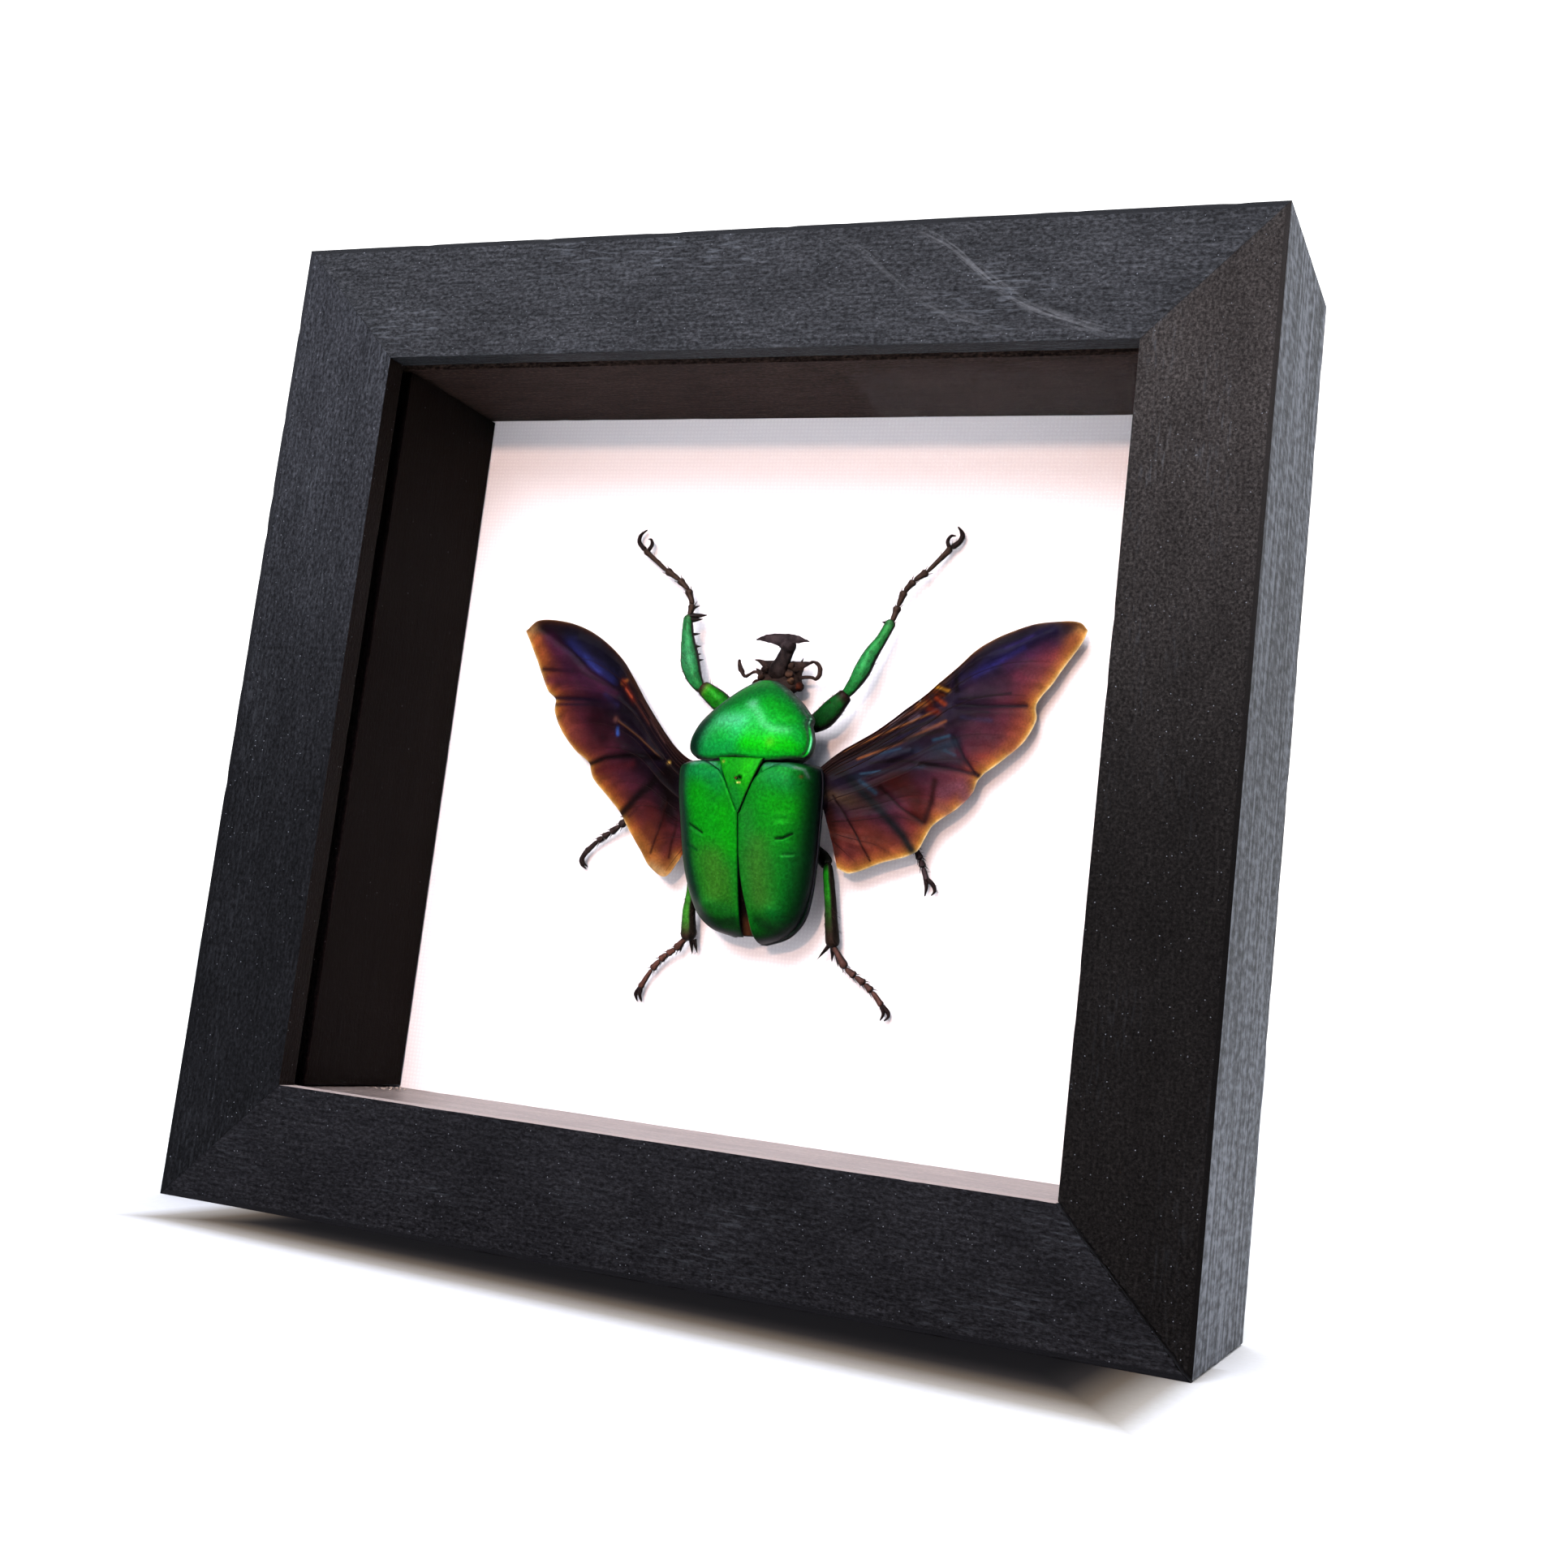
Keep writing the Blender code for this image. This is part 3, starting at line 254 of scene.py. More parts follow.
def makeCamera():
    right, up = Vector(view["right"]), Vector(view["up"])
    back = right.cross(up)
    camera = bpy.data.objects.new("camera", bpy.data.cameras.new("camera"))
    camera.matrix_world = Matrix.Translation(view["place"]) @ Matrix((right, up, back)).transposed().to_4x4()
    lens = camera.data
    lens.sensor_width = view["sensor"]
    lens.lens = view["sensor"] * view["focalPixels"] / photoSize
    lens.shift_x = (photoSize / 2 - view["middlePixels"][0]) / photoSize
    lens.shift_y = (view["middlePixels"][1] - photoSize / 2) / photoSize
    lens.clip_start = 0.01
    lens.clip_end = 50.0
    bpy.context.scene.collection.objects.link(camera)
    bpy.context.scene.camera = camera


def addLamp(name, place, target, size, power, colour):
    lamp = bpy.data.lights.new(name, "AREA")
    lamp.shape = "DISK"
    lamp.size = size
    lamp.energy = power
    lamp.color = hexColour(colour)[:3]
    holder = bpy.data.objects.new(name, lamp)
    way = Vector(target) - Vector(place)
    holder.matrix_world = Matrix.Translation(place) @ way.to_track_quat("-Z", "Y").to_matrix().to_4x4()
    bpy.context.scene.collection.objects.link(holder)


def makeLight():
    middle = Vector((0, paperY, middleZ))
    for name, (height, turn, distance, *lamp) in light["lamps"].items():
        rise, turn = math.radians(height), math.radians(turn)
        way = Vector((math.sin(turn) * math.cos(rise), -math.cos(turn) * math.cos(rise), math.sin(rise)))
        addLamp(name, middle + way * distance, middle, *lamp)
    addLamp("top", light["topPlace"], (0, -0.02, 0), light["topSize"], light["topPower"], "#ffffff")
    world = bpy.data.worlds.new("studio")
    bpy.context.scene.world = world
    world.use_nodes = True
    tree = world.node_tree
    node = Nodes(tree)
    way = node("ShaderNodeSeparateXYZ", {0: node("ShaderNodeTexCoord").outputs["Generated"]})
    behind = node.soft(way.outputs["Y"], -0.45, 0.1)
    tone = node.mix(behind, light["frontColour"], light["backColour"])
    setUp(tree, tree.nodes["Background"], {"Color": tone, "Strength": light["skyStrength"]})
    bpy.context.scene.view_settings.view_transform = "Standard"


floorShade = {                            # a painted shadow: a dark strip on the card before the foot, in metres
    "edges": ((-0.05, -0.0245), (-0.12, -0.0535)), "middle": 0.0065, "half": (0.0535, 0.0765),
    "tones": ((0.0, "#0d0c0e"), (0.12, "#2a2624"), (0.36, "#6e6254"), (0.66, "#b4ada2"), (0.9, "#ffffff")),
    "front": "#cbced2",                   # the card's tone before the frame, so that it throws less light up
}


def makeFloor():
    bm = bmesh.new()
    bmesh.ops.create_grid(bm, x_segments=24, y_segments=24, size=6.0)
    mesh = bpy.data.meshes.new("floor")
    bm.to_mesh(mesh)
    bm.free()
    # White card, rolled: flat, no gloss, with a shadow painted on it before the frame's foot
    material, node, finish = newMaterial("matte_white_card_floor_painted_shadow", roughness=0.9, gloss=0.1)
    spot = node("ShaderNodeTexCoord").outputs["Object"]
    grain = node(noiseNode, {"Scale": 900.0, "Detail": 2.0, "Vector": spot})
    tint = node.ramp(grain, ((0.3, "#fafaf9"), (0.7, "#ffffff")))
    place = node("ShaderNodeSeparateXYZ", {0: spot})
    ahead = node.soft(place.outputs["Y"], 0.25, -0.05)
    grey = node.mix(ahead, "#ffffff", floorShade["front"])
    tint = node.tint(tint, grey)
    # Where the painted shadow's dark part and all of it end, ahead of the frame
    edges = [node.timesAdd(place.outputs["X"], slope, start)
             for slope, start in floorShade["edges"]]
    ahead, behind = (node.soft(place.outputs["Y"], start, end)
                     for start, end in (edges, (-0.014, -0.002)))
    beside = node.less(place.outputs["X"], floorShade["middle"])
    beside = node.calc("ABSOLUTE", beside)
    beside = node.soft(beside, floorShade["half"][0], floorShade["half"][1])
    clear = ahead
    for other in (beside, behind):
        clear = node.calc("MAXIMUM", clear, other)
    shade = node.ramp(clear, floorShade["tones"])
    finish({"Base Color": node.tint(shade, tint)})
    mesh.materials.append(material)
    floor = bpy.data.objects.new("floor", mesh)
    bpy.context.scene.collection.objects.link(floor)


makeCamera()
makeLight()
makeFloor()
print("camera, light and floor")


# Frame: black-stained wood rails and spacers

rail = {
    "face": 18.0, "lip": 3.6, "wall": 12.4, "depth": 36.0,   # millimetres, as in the solids
    "arris": 0.45,                        # radius of the sanded edges
    "mitre": 0.03,                        # closed joint
    "openMitre": 0.24,                    # the lower right joint has opened
    "step": 0.7,
    "relief": 0.05,                       # how far the raised grain stands above the hollows
}


woods = {                                 # stain, share of the tone kept low on the frame (painted light, brighter towards the top), relief, and the lip's painted highlight
    "bottom": {"light": "#35363a", "dark": "#222327", "low": 0.3, "chalk": 0.4, "relief": 1.4, "crack": True,
               "lip": "#a09490"},
    "top": {"light": "#2e3033", "dark": "#1c1e20", "chalk": 0.3, "relief": 2.4, "scuffed": True},
    "left": {"light": "#2b2d31", "dark": "#1c1e21", "chalk": 0.2, "relief": 1.6},
    "right": {"light": "#302e2d", "dark": "#201e1d", "low": 0.21, "chalk": 0.15, "relief": 2.4, "fibre": 1.2,
              "crack": True},
}
scuff = {                                 # a chalky curve on the top rail, mm from the middle of the face
    "from": 25.0, "to": 57.0, "low": 55.0, "high": 73.0, "apart": 13.0,
    "curve": ((0.01, 0.961), (0.21, 0.733), (0.372, 0.483), (0.559, 0.261), (0.797, 0.106), (1.0, 0.022)),
}
openCorner = 3.0                          # mm: across and up add up to this along the lower right mitre


def stainedWood(name, light, dark, dust=0.4, roughness=0.5, low=0.25, gloss=0.02, side="#5a5d63", relief=1.0,
                chalk=0.0, fibre=5.0, lip=None, crack=False, scuffed=False):
    # Close-grained softwood, sanded and stained black: near-black and matt, fine pale grain lines and pores
    # along the rail, and white dust caught in the pores. It is painted paler towards the top of the frame, a
    # painted light, and painted pale and streaked on its outer sides, a painted grazing sheen. The UV map is in
    # millimetres.
    material, node, finish = newMaterial(name)
    spot = node("ShaderNodeTexCoord")
    place, facing = (node("ShaderNodeSeparateXYZ", {0: spot.outputs[key]}) for key in ("Object", "Normal"))
    grainMap = node("ShaderNodeUVMap", {"uv_map": "grain"})
    grain = {}
    for key, kind, along, across, settings in (           # each pattern's size in mm along and across the rail
        ("streaks", "Noise", fibre, 0.5, {"Detail": 5.0, "Roughness": 0.65}),
        ("pores", "Noise", 0.3 + fibre / 12, 0.42, {"Detail": 3.0, "Roughness": 0.7}),
        ("blotches", "Noise", 16.0, 7.0, {"Detail": 3.0}), ("bloom", "Noise", 22.0, 9.0, {"Detail": 2.0}),
        ("threads", "Noise", 3.0, 0.45, {"Detail": 3.0}), ("fleck", "Voronoi", 0.7, 0.7, {}),
        ("stripes", "Noise", 40.0, 1.3, {"Detail": 2.0}), ("rungs", "Noise", 1.1, 2.6, {"Detail": 2.0}),
        ("ragged", "Noise", 0.9, 0.9, {"Detail": 2.0}),
    ):
        stretched = node("ShaderNodeMapping", {"Scale": (1 / along, 1 / across, 1.0), "Vector": grainMap})
        grain[key] = node("ShaderNodeTex" + kind, {"Scale": 1.0, "Vector": stretched, **settings})
    colour = node.ramp(grain["streaks"], ((0.34, dark), (0.68, light)))
    for key, stops in (("blotches", ((0.3, 0.78), (0.7, 1.15))),
                       ("pores", ((0.36, 0.42), (0.5, 0.95), (0.66, 1.9)))):
        colour = node.tint(colour, node.ramp(grain[key], stops))
    patches = node.soft(grain["bloom"], 0.48, 0.68)
    threads = node.soft(grain["threads"], 0.5, 0.7)
    share = node.times(patches, threads)
    share = node.times(share, chalk)
    colour = node.mix(share, colour, "#636970")        # grey bloom along the grain
    # painted light: the tone is scaled with height, from its low share at the bottom of the frame to full at
    # the top
    height = node.less(place.outputs["Z"], middleZ)
    fade = node.soft(height, -0.023, 0.062, low=low)
    colour = node("ShaderNodeVectorMath", {"operation": "SCALE", 0: colour, "Scale": fade})
    if scuffed:                           # the curve, and a fainter one beside it
        for shift, strength in ((0.0, 0.13), (scuff["apart"], 0.05)):
            far = node(rangeNode, {"Value": place.outputs["X"], "From Min": (scuff["from"] - shift) * mm,
                                   "From Max": (scuff["to"] - shift) * mm})
            curve = node.ramp(far, scuff["curve"])
            curve.color_ramp.interpolation = "B_SPLINE"
            curve = node(rangeNode, {"Value": curve, "To Min": scuff["low"] * mm, "To Max": scuff["high"] * mm})
            off = node.less(height, curve)
            lines = node("ShaderNodeCombineXYZ", {
                0: node.times(far, 5.0), 1: node.times(off, 1 / (0.5 * mm))})
            lines = node(noiseNode, {"Scale": 1.0, "Detail": 4.0, "Vector": lines})
            lines = node.soft(lines, 0.4, 0.65)
            near = node.soft(node.calc("ABSOLUTE", off), 1.3 * mm, 0.1 * mm)
            ends = node.ramp(far, ((0.0, 0.0), (0.12, 1.0), (0.8, 1.0), (1.0, 0.0)))
            for part in (near, ends, strength):
                lines = node.times(lines, part)
            colour = node.mix(lines, colour, "#9da1a6")
    if crack:                             # the opened mitre shows as a ragged black line
        off = node.calc("ADD", place.outputs["X"], height)
        off = node.calc("COMPARE", off, openCorner * mm,
                        node(rangeNode, {"Value": grain["ragged"], "From Min": 0.35, "From Max": 0.6,
                                         "To Max": 0.6 * mm}))
        colour = node.mix(off, colour, "#050505")
    if lip:                               # painted highlight: the top of the lip is painted pale, where light catches it
        upward = node.soft(facing.outputs["Z"], 0.86, 0.97)
        colour = node.mix(upward, colour, lip)
    # painted sheen: the outer sides are painted pale grey and streaked, as a grazing reflection, a little
    # darker across the middle of their height
    outside = node.calc("SIGN", place.outputs["X"])
    outside = node.times(facing.outputs["X"], outside)
    paintedSideSheen = node.calc("ADD", grain["stripes"], grain["rungs"])
    paintedSideSheen = node.ramp(node.times(paintedSideSheen, 0.5), ((0.4, 0.36), (0.5, 0.8), (0.6, 1.55)))
    paintedSideSheen = node.tint(paintedSideSheen, side)
    waist = node.soft(node.calc("ABSOLUTE", height), 0.0, 0.055, low=0.78)
    paintedSideSheen = node("ShaderNodeVectorMath", {"operation": "SCALE", 0: paintedSideSheen, "Scale": waist})
    share = node.soft(outside, 0.6, 0.95)
    colour = node.mix(share, colour, paintedSideSheen)
    share = node.soft(outside, -0.5, -0.9)
    colour = node.mix(share, colour, "#120e0c")        # the inner sides stay dark
    chance = node("ShaderNodeSeparateColor", {"Color": grain["fleck"].outputs["Color"]})
    speck = node.calc("LESS_THAN", grain["fleck"], 0.1)
    for part in (node.calc("GREATER_THAN", chance.outputs[0], 1 - dust),
                 chance.outputs[1], 0.55):
        speck = node.times(speck, part)
    colour = node.mix(speck, colour, "#8f959e")
    dull = node(rangeNode, {"Value": grain["pores"], "From Min": 0.3, "From Max": 0.7,
                            "To Min": roughness - 0.07, "To Max": roughness + 0.1})
    rough = node.timesAdd(grain["streaks"], 0.6, grain["pores"])
    bump = node(bumpNode, {"Strength": 0.7, "Distance": 0.12 * relief * mm, "Height": rough})
    finish({"Base Color": colour, "Roughness": dull, "Normal": bump, "Specular IOR Level": gloss})
    return material


def roundedOutline(corners, radius, step):
    # Points round a profile in mm, with its convex corners rounded; corners run anticlockwise
    points = []
    count = len(corners)
    for i in range(count):
        here, after, before = (np.array(corners[k % count], float) for k in (i, i + 1, i - 1))
        ahead, behind = after - here, before - here
        ahead, behind = ahead / np.linalg.norm(ahead), behind / np.linalg.norm(behind)
        turn = ahead[1] * behind[0] - ahead[0] * behind[1]
        if turn > 0:                      # a hollow corner stays sharp
            corner = [here]
        else:
            middle = here + (ahead + behind) * radius
            start, end = here + behind * radius, here + ahead * radius
            corner = []
            for part in np.linspace(0, 1, 6):
                bend = part * math.pi / 2
                way = (start - middle) * math.cos(bend) + (end - middle) * math.sin(bend)
                corner.append(middle + way)
        if points:
            gap = corner[0] - points[-1]
            extra = max(1, int(round(np.linalg.norm(gap) / step)))
            points += [points[-1] + gap * k / extra for k in range(1, extra)]
        points += corner
    gap = points[0] - points[-1]
    extra = max(1, int(round(np.linalg.norm(gap) / step)))
    points += [points[-1] + gap * k / extra for k in range(1, extra)]
    return np.array(points)


def sweepWood(name, corners, length, place, mitred, seed, dents=(), gaps=(0.0, 0.0), radius=None):
    # A wood strip along x with this profile of (up, depth) in mm, mitred or square ended, then placed
    outline = roundedOutline(corners, rail["arris"] if radius is None else radius, rail["step"])
    count = len(outline)
    sections = int(length / rail["step"])
    part = np.linspace(-1, 1, sections)
    up = np.broadcast_to(outline[:, 0], (sections, count)).copy()
    depth = np.broadcast_to(outline[:, 1], (sections, count)).copy()
    half = length / 2 - outline[:, 0] * mitred
    x = part[:, None] * half
    spots = np.stack([x, up, depth + 0 * x], axis=-1)
    if mitred:                            # the joint is closed at one end, and ragged where it has opened
        ragged = 1 + 0.7 * softNoise(spots, 1.1, seed + 5)
        for side, gap in zip((-1, 1), gaps):
            end = part == side
            x[end] -= side * (rail["mitre"] + gap * ragged[end])
    ahead = np.roll(outline, -1, axis=0) - np.roll(outline, 1, axis=0)
    inward = np.stack([-ahead[:, 1], ahead[:, 0]], axis=-1)
    inward /= np.linalg.norm(inward, axis=1)[:, None]
    centre = outline.mean(axis=0)
    if ((centre - outline) * inward).sum() < 0:
        inward = -inward
    stretched = spots / np.array([7.0, 1.0, 1.0])
    grain = 0.5 + 0.5 * softNoise(stretched, 1.3, seed)
    waves = 0.5 + 0.5 * softNoise(spots, 11.0, seed + 1)
    sink = rail["relief"] * (0.7 * grain + 0.6 * waves)
    onEdge = np.zeros(count)
    for corner in corners:
        onEdge = np.maximum(onEdge, np.exp(-(np.linalg.norm(outline - corner, axis=1) / 0.5) ** 2))
    wear = np.maximum(0.0, softNoise(spots, 3.0, seed + 2)) ** 2 * 0.1
    sink = sink + onEdge * wear
    for place3, size, deep in dents:      # dents and chips: (x, up, depth), how wide, how deep, in mm
        far = np.linalg.norm(spots - np.array(place3), axis=-1)
        sink = sink + deep * np.exp(-(far / size) ** 2)
    up += inward[:, 0] * sink
    depth += inward[:, 1] * sink
    local = np.stack([x * mm, frontY + depth * mm, up * mm], axis=-1).reshape(-1, 3)
    faces = gridFaces(sections, count, closed=True)
    faces.append(list(range(count)))
    faces.append(list(range((sections - 1) * count, sections * count))[::-1])
    mesh = meshOf(name, local, faces)
    around = np.concatenate([[0], np.cumsum(np.linalg.norm(np.diff(outline, axis=0), axis=1))])
    u = x + 190.0 * seed
    mapPoints(mesh, "grain", np.stack([u, np.broadcast_to(around, u.shape)], axis=-1).reshape(-1, 2))
    mesh.transform(place)
    return outwards(mesh)


def turned(degrees, distance):            # carries a strip from the middle out to its side of the frame
    turn = Matrix.Rotation(math.radians(degrees), 4, "Y")
    return Matrix.Translation((0, 0, middleZ)) @ turn @ Matrix.Translation((0, 0, -distance))


def makeRails():
    face, lip, wall, depth = (rail[key] for key in ("face", "lip", "wall", "depth"))
    corners = ((0.0, 0.0), (0.0, depth), (wall, depth), (wall, lip), (face, lip), (face, 0.0))
    width, height = frameWidth / mm, frameHeight / mm
    opened = rail["openMitre"]
    rails = (
        ("bottom", width, 0, (0.0, opened)), ("top", width, 180, (0.0, 0.0)),
        ("left", height, 90, (0.0, 0.0)), ("right", height, -90, (opened, 0.0)),
    )
    for seed, (side, length, angle, gaps) in enumerate(rails):
        wood = stainedWood("black_stained_wood_painted_light_" + side, **woods[side])
        distance = (height if length == width else width) / 2
        mesh = sweepWood("rail_" + side, corners, length, turned(angle, distance * mm), True, seed + 1,
                         gaps=gaps)
        makePiece("rail_" + side, mesh, wood, "stained_wood", "frame_rail_" + side)


# satin lacquer, one finish in four tones of painted light: the bottom one shines, and its top is painted pale
# grey as a reflection of the paper; the left one is painted darker towards its top, as shade
spacerWoods = {
    "bottom": {"light": "#837974", "dark": "#5d5350", "gloss": 0.3, "roughness": 0.4, "side": "#8b7c79",
               "relief": 0.5},
    "top": {"light": "#352b27", "dark": "#211917", "gloss": 0.01, "roughness": 0.5, "side": "#1a1312"},
    "left": {"light": "#080505", "dark": "#030202", "gloss": 0.006, "roughness": 0.4, "low": 4.6,
             "side": "#0e0908"},
    "right": {"light": "#1a1312", "dark": "#0d0908", "gloss": 0.02, "roughness": 0.3, "side": "#1a1312"},
}


def makeSpacers():
    for seed, (side, angle) in enumerate((("bottom", 0), ("top", 180), ("left", 90), ("right", -90))):
        wood = stainedWood("satin_lacquered_spacer_wood_" + side,
                           **{"low": 1.0, "dust": 0.05, **spacerWoods[side]})
        low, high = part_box("spacer_" + side)
        size = (high - low) / mm
        level = side in ("bottom", "top")
        length, thick = (size.x, size.z) if level else (size.z, size.x)
        near, far = (low.y - frontY) / mm, (high.y - frontY) / mm
        corners = ((0.0, near), (0.0, far), (thick, far), (thick, near))
        outer = {"bottom": middleZ - low.z, "top": high.z - middleZ, "left": -low.x, "right": high.x}[side]
        mesh = sweepWood("spacer_strip_" + side, corners, length, turned(angle, outer), False, seed + 11,
                         radius=0.25)
        makePiece("spacer_strip_" + side, mesh, wood, "lacquered_wood", "spacer_" + side)


makeRails()
makeSpacers()
print("frame rails and spacers")


# Glass, paper and back

def pictureGlass():
    # Picture glass, 2 mm, coated against reflections: clear, with a trace of gloss that grows towards the
    # grazing views. A thin flat pane needs no bending of light.
    material, node, finish = newMaterial("coated_clear_picture_glass")
    tree = material.node_tree
    tree.nodes.remove(tree.nodes["Principled BSDF"])
    gloss = node("ShaderNodeBsdfGlossy", {"Color": "#3a3a3b", "Roughness": 0.03})
    clear = node("ShaderNodeBsdfTransparent", {"Color": "#fefefe"})
    away = node("ShaderNodeLayerWeight", {"Blend": 0.5}).outputs["Facing"]
    rise = node.calc("POWER", away, 5.0)
    edge = node.timesAdd(rise, 0.5, 0.008)
    mix = node("ShaderNodeMixShader", {0: edge, 1: clear, 2: gloss})
    setUp(tree, tree.nodes["Material Output"], {"Surface": mix})
    return material


def linenPaper():
    # Linen-embossed white paper on card: bright, matt, with a faint cross weave of about 0.6 mm
    material, node, finish = newMaterial("linen_embossed_paper_on_card", roughness=0.85, gloss=0.2)
    spot = node("ShaderNodeTexCoord").outputs
    threads = [node("ShaderNodeTexWave", {
        "bands_direction": axis, "Scale": 2 * math.pi / (0.6 * mm) / 20, "Distortion": 3.0, "Detail": 3.0,
        "Detail Scale": 60.0, "Vector": spot["Object"]}).outputs["Fac"] for axis in ("X", "Z")]
    weave = node.times(threads[0], threads[1])
    pulp = node(noiseNode, {"Scale": 1 / (0.35 * mm), "Detail": 3.0, "Vector": spot["Object"]})
    height = node.timesAdd(pulp, 0.5, weave)
    tone = node.ramp(height, ((0.2, "#f5efef"), (0.8, "#fdf8f7")))
    facing = node("ShaderNodeSeparateXYZ", {0: spot["Normal"]}).outputs["Y"]
    front = node.calc("LESS_THAN", facing, -0.5)
    finish({"Base Color": node.mix(front, "#9c8a72", tone),
            "Normal": node(bumpNode, {"Strength": 0.35, "Distance": 0.08 * mm, "Height": height})})
    return material


def hardboard():
    # Pressed hardboard, smooth side out: brown, with fine fibres lying every way and a slight polish
    material, node, finish = newMaterial("pressed_hardboard", roughness=0.55)
    spot = node("ShaderNodeTexCoord").outputs["Object"]
    fibres = node(noiseNode, {"Scale": 1 / (1.6 * mm), "Detail": 8.0, "Roughness": 0.75, "Distortion": 1.5,
                              "Vector": spot})
    cloud = node(noiseNode, {"Scale": 1 / (22 * mm), "Detail": 3.0, "Vector": spot})
    tone = node.ramp(fibres, ((0.3, "#4a3320"), (0.5, "#6b4b30"), (0.72, "#8a6645")))
    shade = node.ramp(cloud, ((0.3, 0.8), (0.7, 1.1)))
    finish({"Base Color": node.tint(tone, shade),
            "Normal": node(bumpNode, {"Strength": 0.4, "Distance": 0.06 * mm, "Height": fibres})})
    return material


def zincSteel():
    # Zinc-plated stamped steel: grey, slightly bluish, mottled, its shine uneven
    material, node, finish = newMaterial("zinc_plated_steel", metallic=1.0)
    spot = node("ShaderNodeTexCoord").outputs["Object"]
    mottle = node(noiseNode, {"Scale": 1 / (1.2 * mm), "Detail": 4.0, "Vector": spot})
    tone = node.ramp(mottle, ((0.3, "#9a9da0"), (0.7, "#c2c4c6")))
    dull = node(rangeNode, {"Value": mottle, "To Min": 0.25, "To Max": 0.5})
    finish({"Base Color": tone, "Roughness": dull})
    return material


def dress(node, material):                # a CAD node keeps its shape and takes a finish
    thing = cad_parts[node]
    thing.data.materials.clear()
    thing.data.materials.append(material)


def makeBacking():
    dress("glass_pane", pictureGlass())
    dress("backing_board", linenPaper())
    dress("back_panel", hardboard())
    steel = zincSteel()
    for side in ("left", "right"):
        dress("hanger_nail_" + side, steel)
        dress("retaining_point_" + side + "_high", steel)
        dress("retaining_point_" + side + "_low", steel)
    dress("sawtooth_hanger", steel)


makeBacking()
print("glass, paper and back")


# Beetle: its body's shape, in millimetres. Rows are (place along the body, value), from tail to head.

body = {
    "lean": 2.2, "pivot": (1.0, -8.0), "leftLength": 0.965, "shell": 0.7, "shellGap": 0.12,
    "bend": ((-27.6, -0.7), (-25.3, -0.4), (-21.0, -0.05), (-12.0, -0.05), (-5.0, -0.3), (0.0, -0.5),
             (4.0, -0.4), (8.0, -0.1), (12.0, 0.0)),
    "elytronWidth": ((-27.2, 2.2), (-26.4, 5.1), (-25.3, 6.9), (-23.5, 8.4), (-20.0, 9.7), (-16.0, 10.5),
                     (-11.0, 11.0), (-6.0, 11.4), (-3.0, 11.4), (-1.5, 11.1), (-0.8, 10.2)),
    "elytronTop": ((-27.2, 7.2), (-25.5, 8.9), (-23.5, 10.1), (-20.0, 11.4), (-15.0, 12.6), (-9.0, 13.5),
                   (-4.0, 13.8), (-0.8, 13.4)),
    "elytronRim": ((-27.2, 5.4), (-23.0, 6.6), (-17.0, 8.0), (-10.0, 8.8), (-0.8, 9.4)),
    "sutureGap": ((-27.2, 2.5), (-25.3, 1.8), (-22.7, 1.35), (-20.2, 0.8), (-17.6, 0.35), (-14.5, 0.1),
                  (-0.8, 0.08)),
    "scutellumWidth": ((-8.7, 0.12), (-4.5, 1.9), (-0.5, 3.6)),
    "pronotumWidth": ((-0.5, 8.4), (0.1, 9.2), (0.9, 9.8), (2.4, 10.0), (3.9, 9.6), (5.0, 9.1), (6.0, 9.1),
                      (7.0, 8.1), (8.5, 6.6), (10.0, 4.8), (11.2, 3.1), (12.0, 1.7)),
    "pronotumLeft": ((-0.5, 8.6), (0.1, 9.4), (0.9, 9.9), (2.4, 10.0), (3.9, 9.6), (5.4, 8.9), (7.0, 7.7),
                     (8.5, 6.3), (10.0, 4.7), (11.2, 3.1), (12.0, 1.7)),
    "pronotumTop": ((-0.5, 13.2), (2.0, 13.5), (5.0, 12.8), (8.0, 11.4), (10.5, 9.5), (12.0, 7.8)),
    "pronotumRim": ((-0.5, 9.7), (5.0, 8.8), (9.0, 7.6), (12.0, 6.6)),
    "pronotumBelly": ((-0.5, 3.8), (7.0, 3.9), (9.5, 5.0), (10.3, 6.3), (12.0, 6.3)),
    "abdomenWidth": ((-26.0, 1.6), (-25.2, 3.6), (-23.5, 5.9), (-20.0, 7.9), (-15.0, 8.9), (-8.0, 9.1),
                     (-3.2, 8.8), (-1.4, 8.0)),
    "abdomenTop": ((-26.0, 6.0), (-24.5, 7.2), (-20.0, 9.6), (-15.0, 11.0), (-8.0, 11.9), (-1.4, 11.6)),
    "abdomenSide": ((-26.0, 5.2), (-20.0, 5.6), (-8.0, 6.4), (-1.4, 6.6)),
    "abdomenBelly": ((-26.0, 4.4), (-23.0, 3.5), (-15.0, 3.2), (-1.4, 3.4)),
    "pin": (0.2, -3.7),
    # how much of the painted colours' brightness is used
    "elytronTone": 0.5, "pronotumTone": 0.57, "shieldTone": 0.45,
}


def along(rows, place):                   # the value at places along a smooth curve through the rows
    xs, ys = np.array(rows, float).T
    last = len(xs) - 1
    before, after = np.maximum(np.arange(last + 1) - 1, 0), np.minimum(np.arange(last + 1) + 1, last)
    slopes = (ys[after] - ys[before]) / (xs[after] - xs[before])
    place = np.clip(place, xs[0], xs[-1])
    k = np.clip(np.searchsorted(xs, place) - 1, 0, last - 1)
    span = xs[k + 1] - xs[k]
    t = (place - xs[k]) / span
    return ((2 * t**3 - 3 * t**2 + 1) * ys[k] + (t**3 - 2 * t**2 + t) * span * slopes[k]
            + (3 * t**2 - 2 * t**3) * ys[k + 1] + (t**3 - t**2) * span * slopes[k + 1])


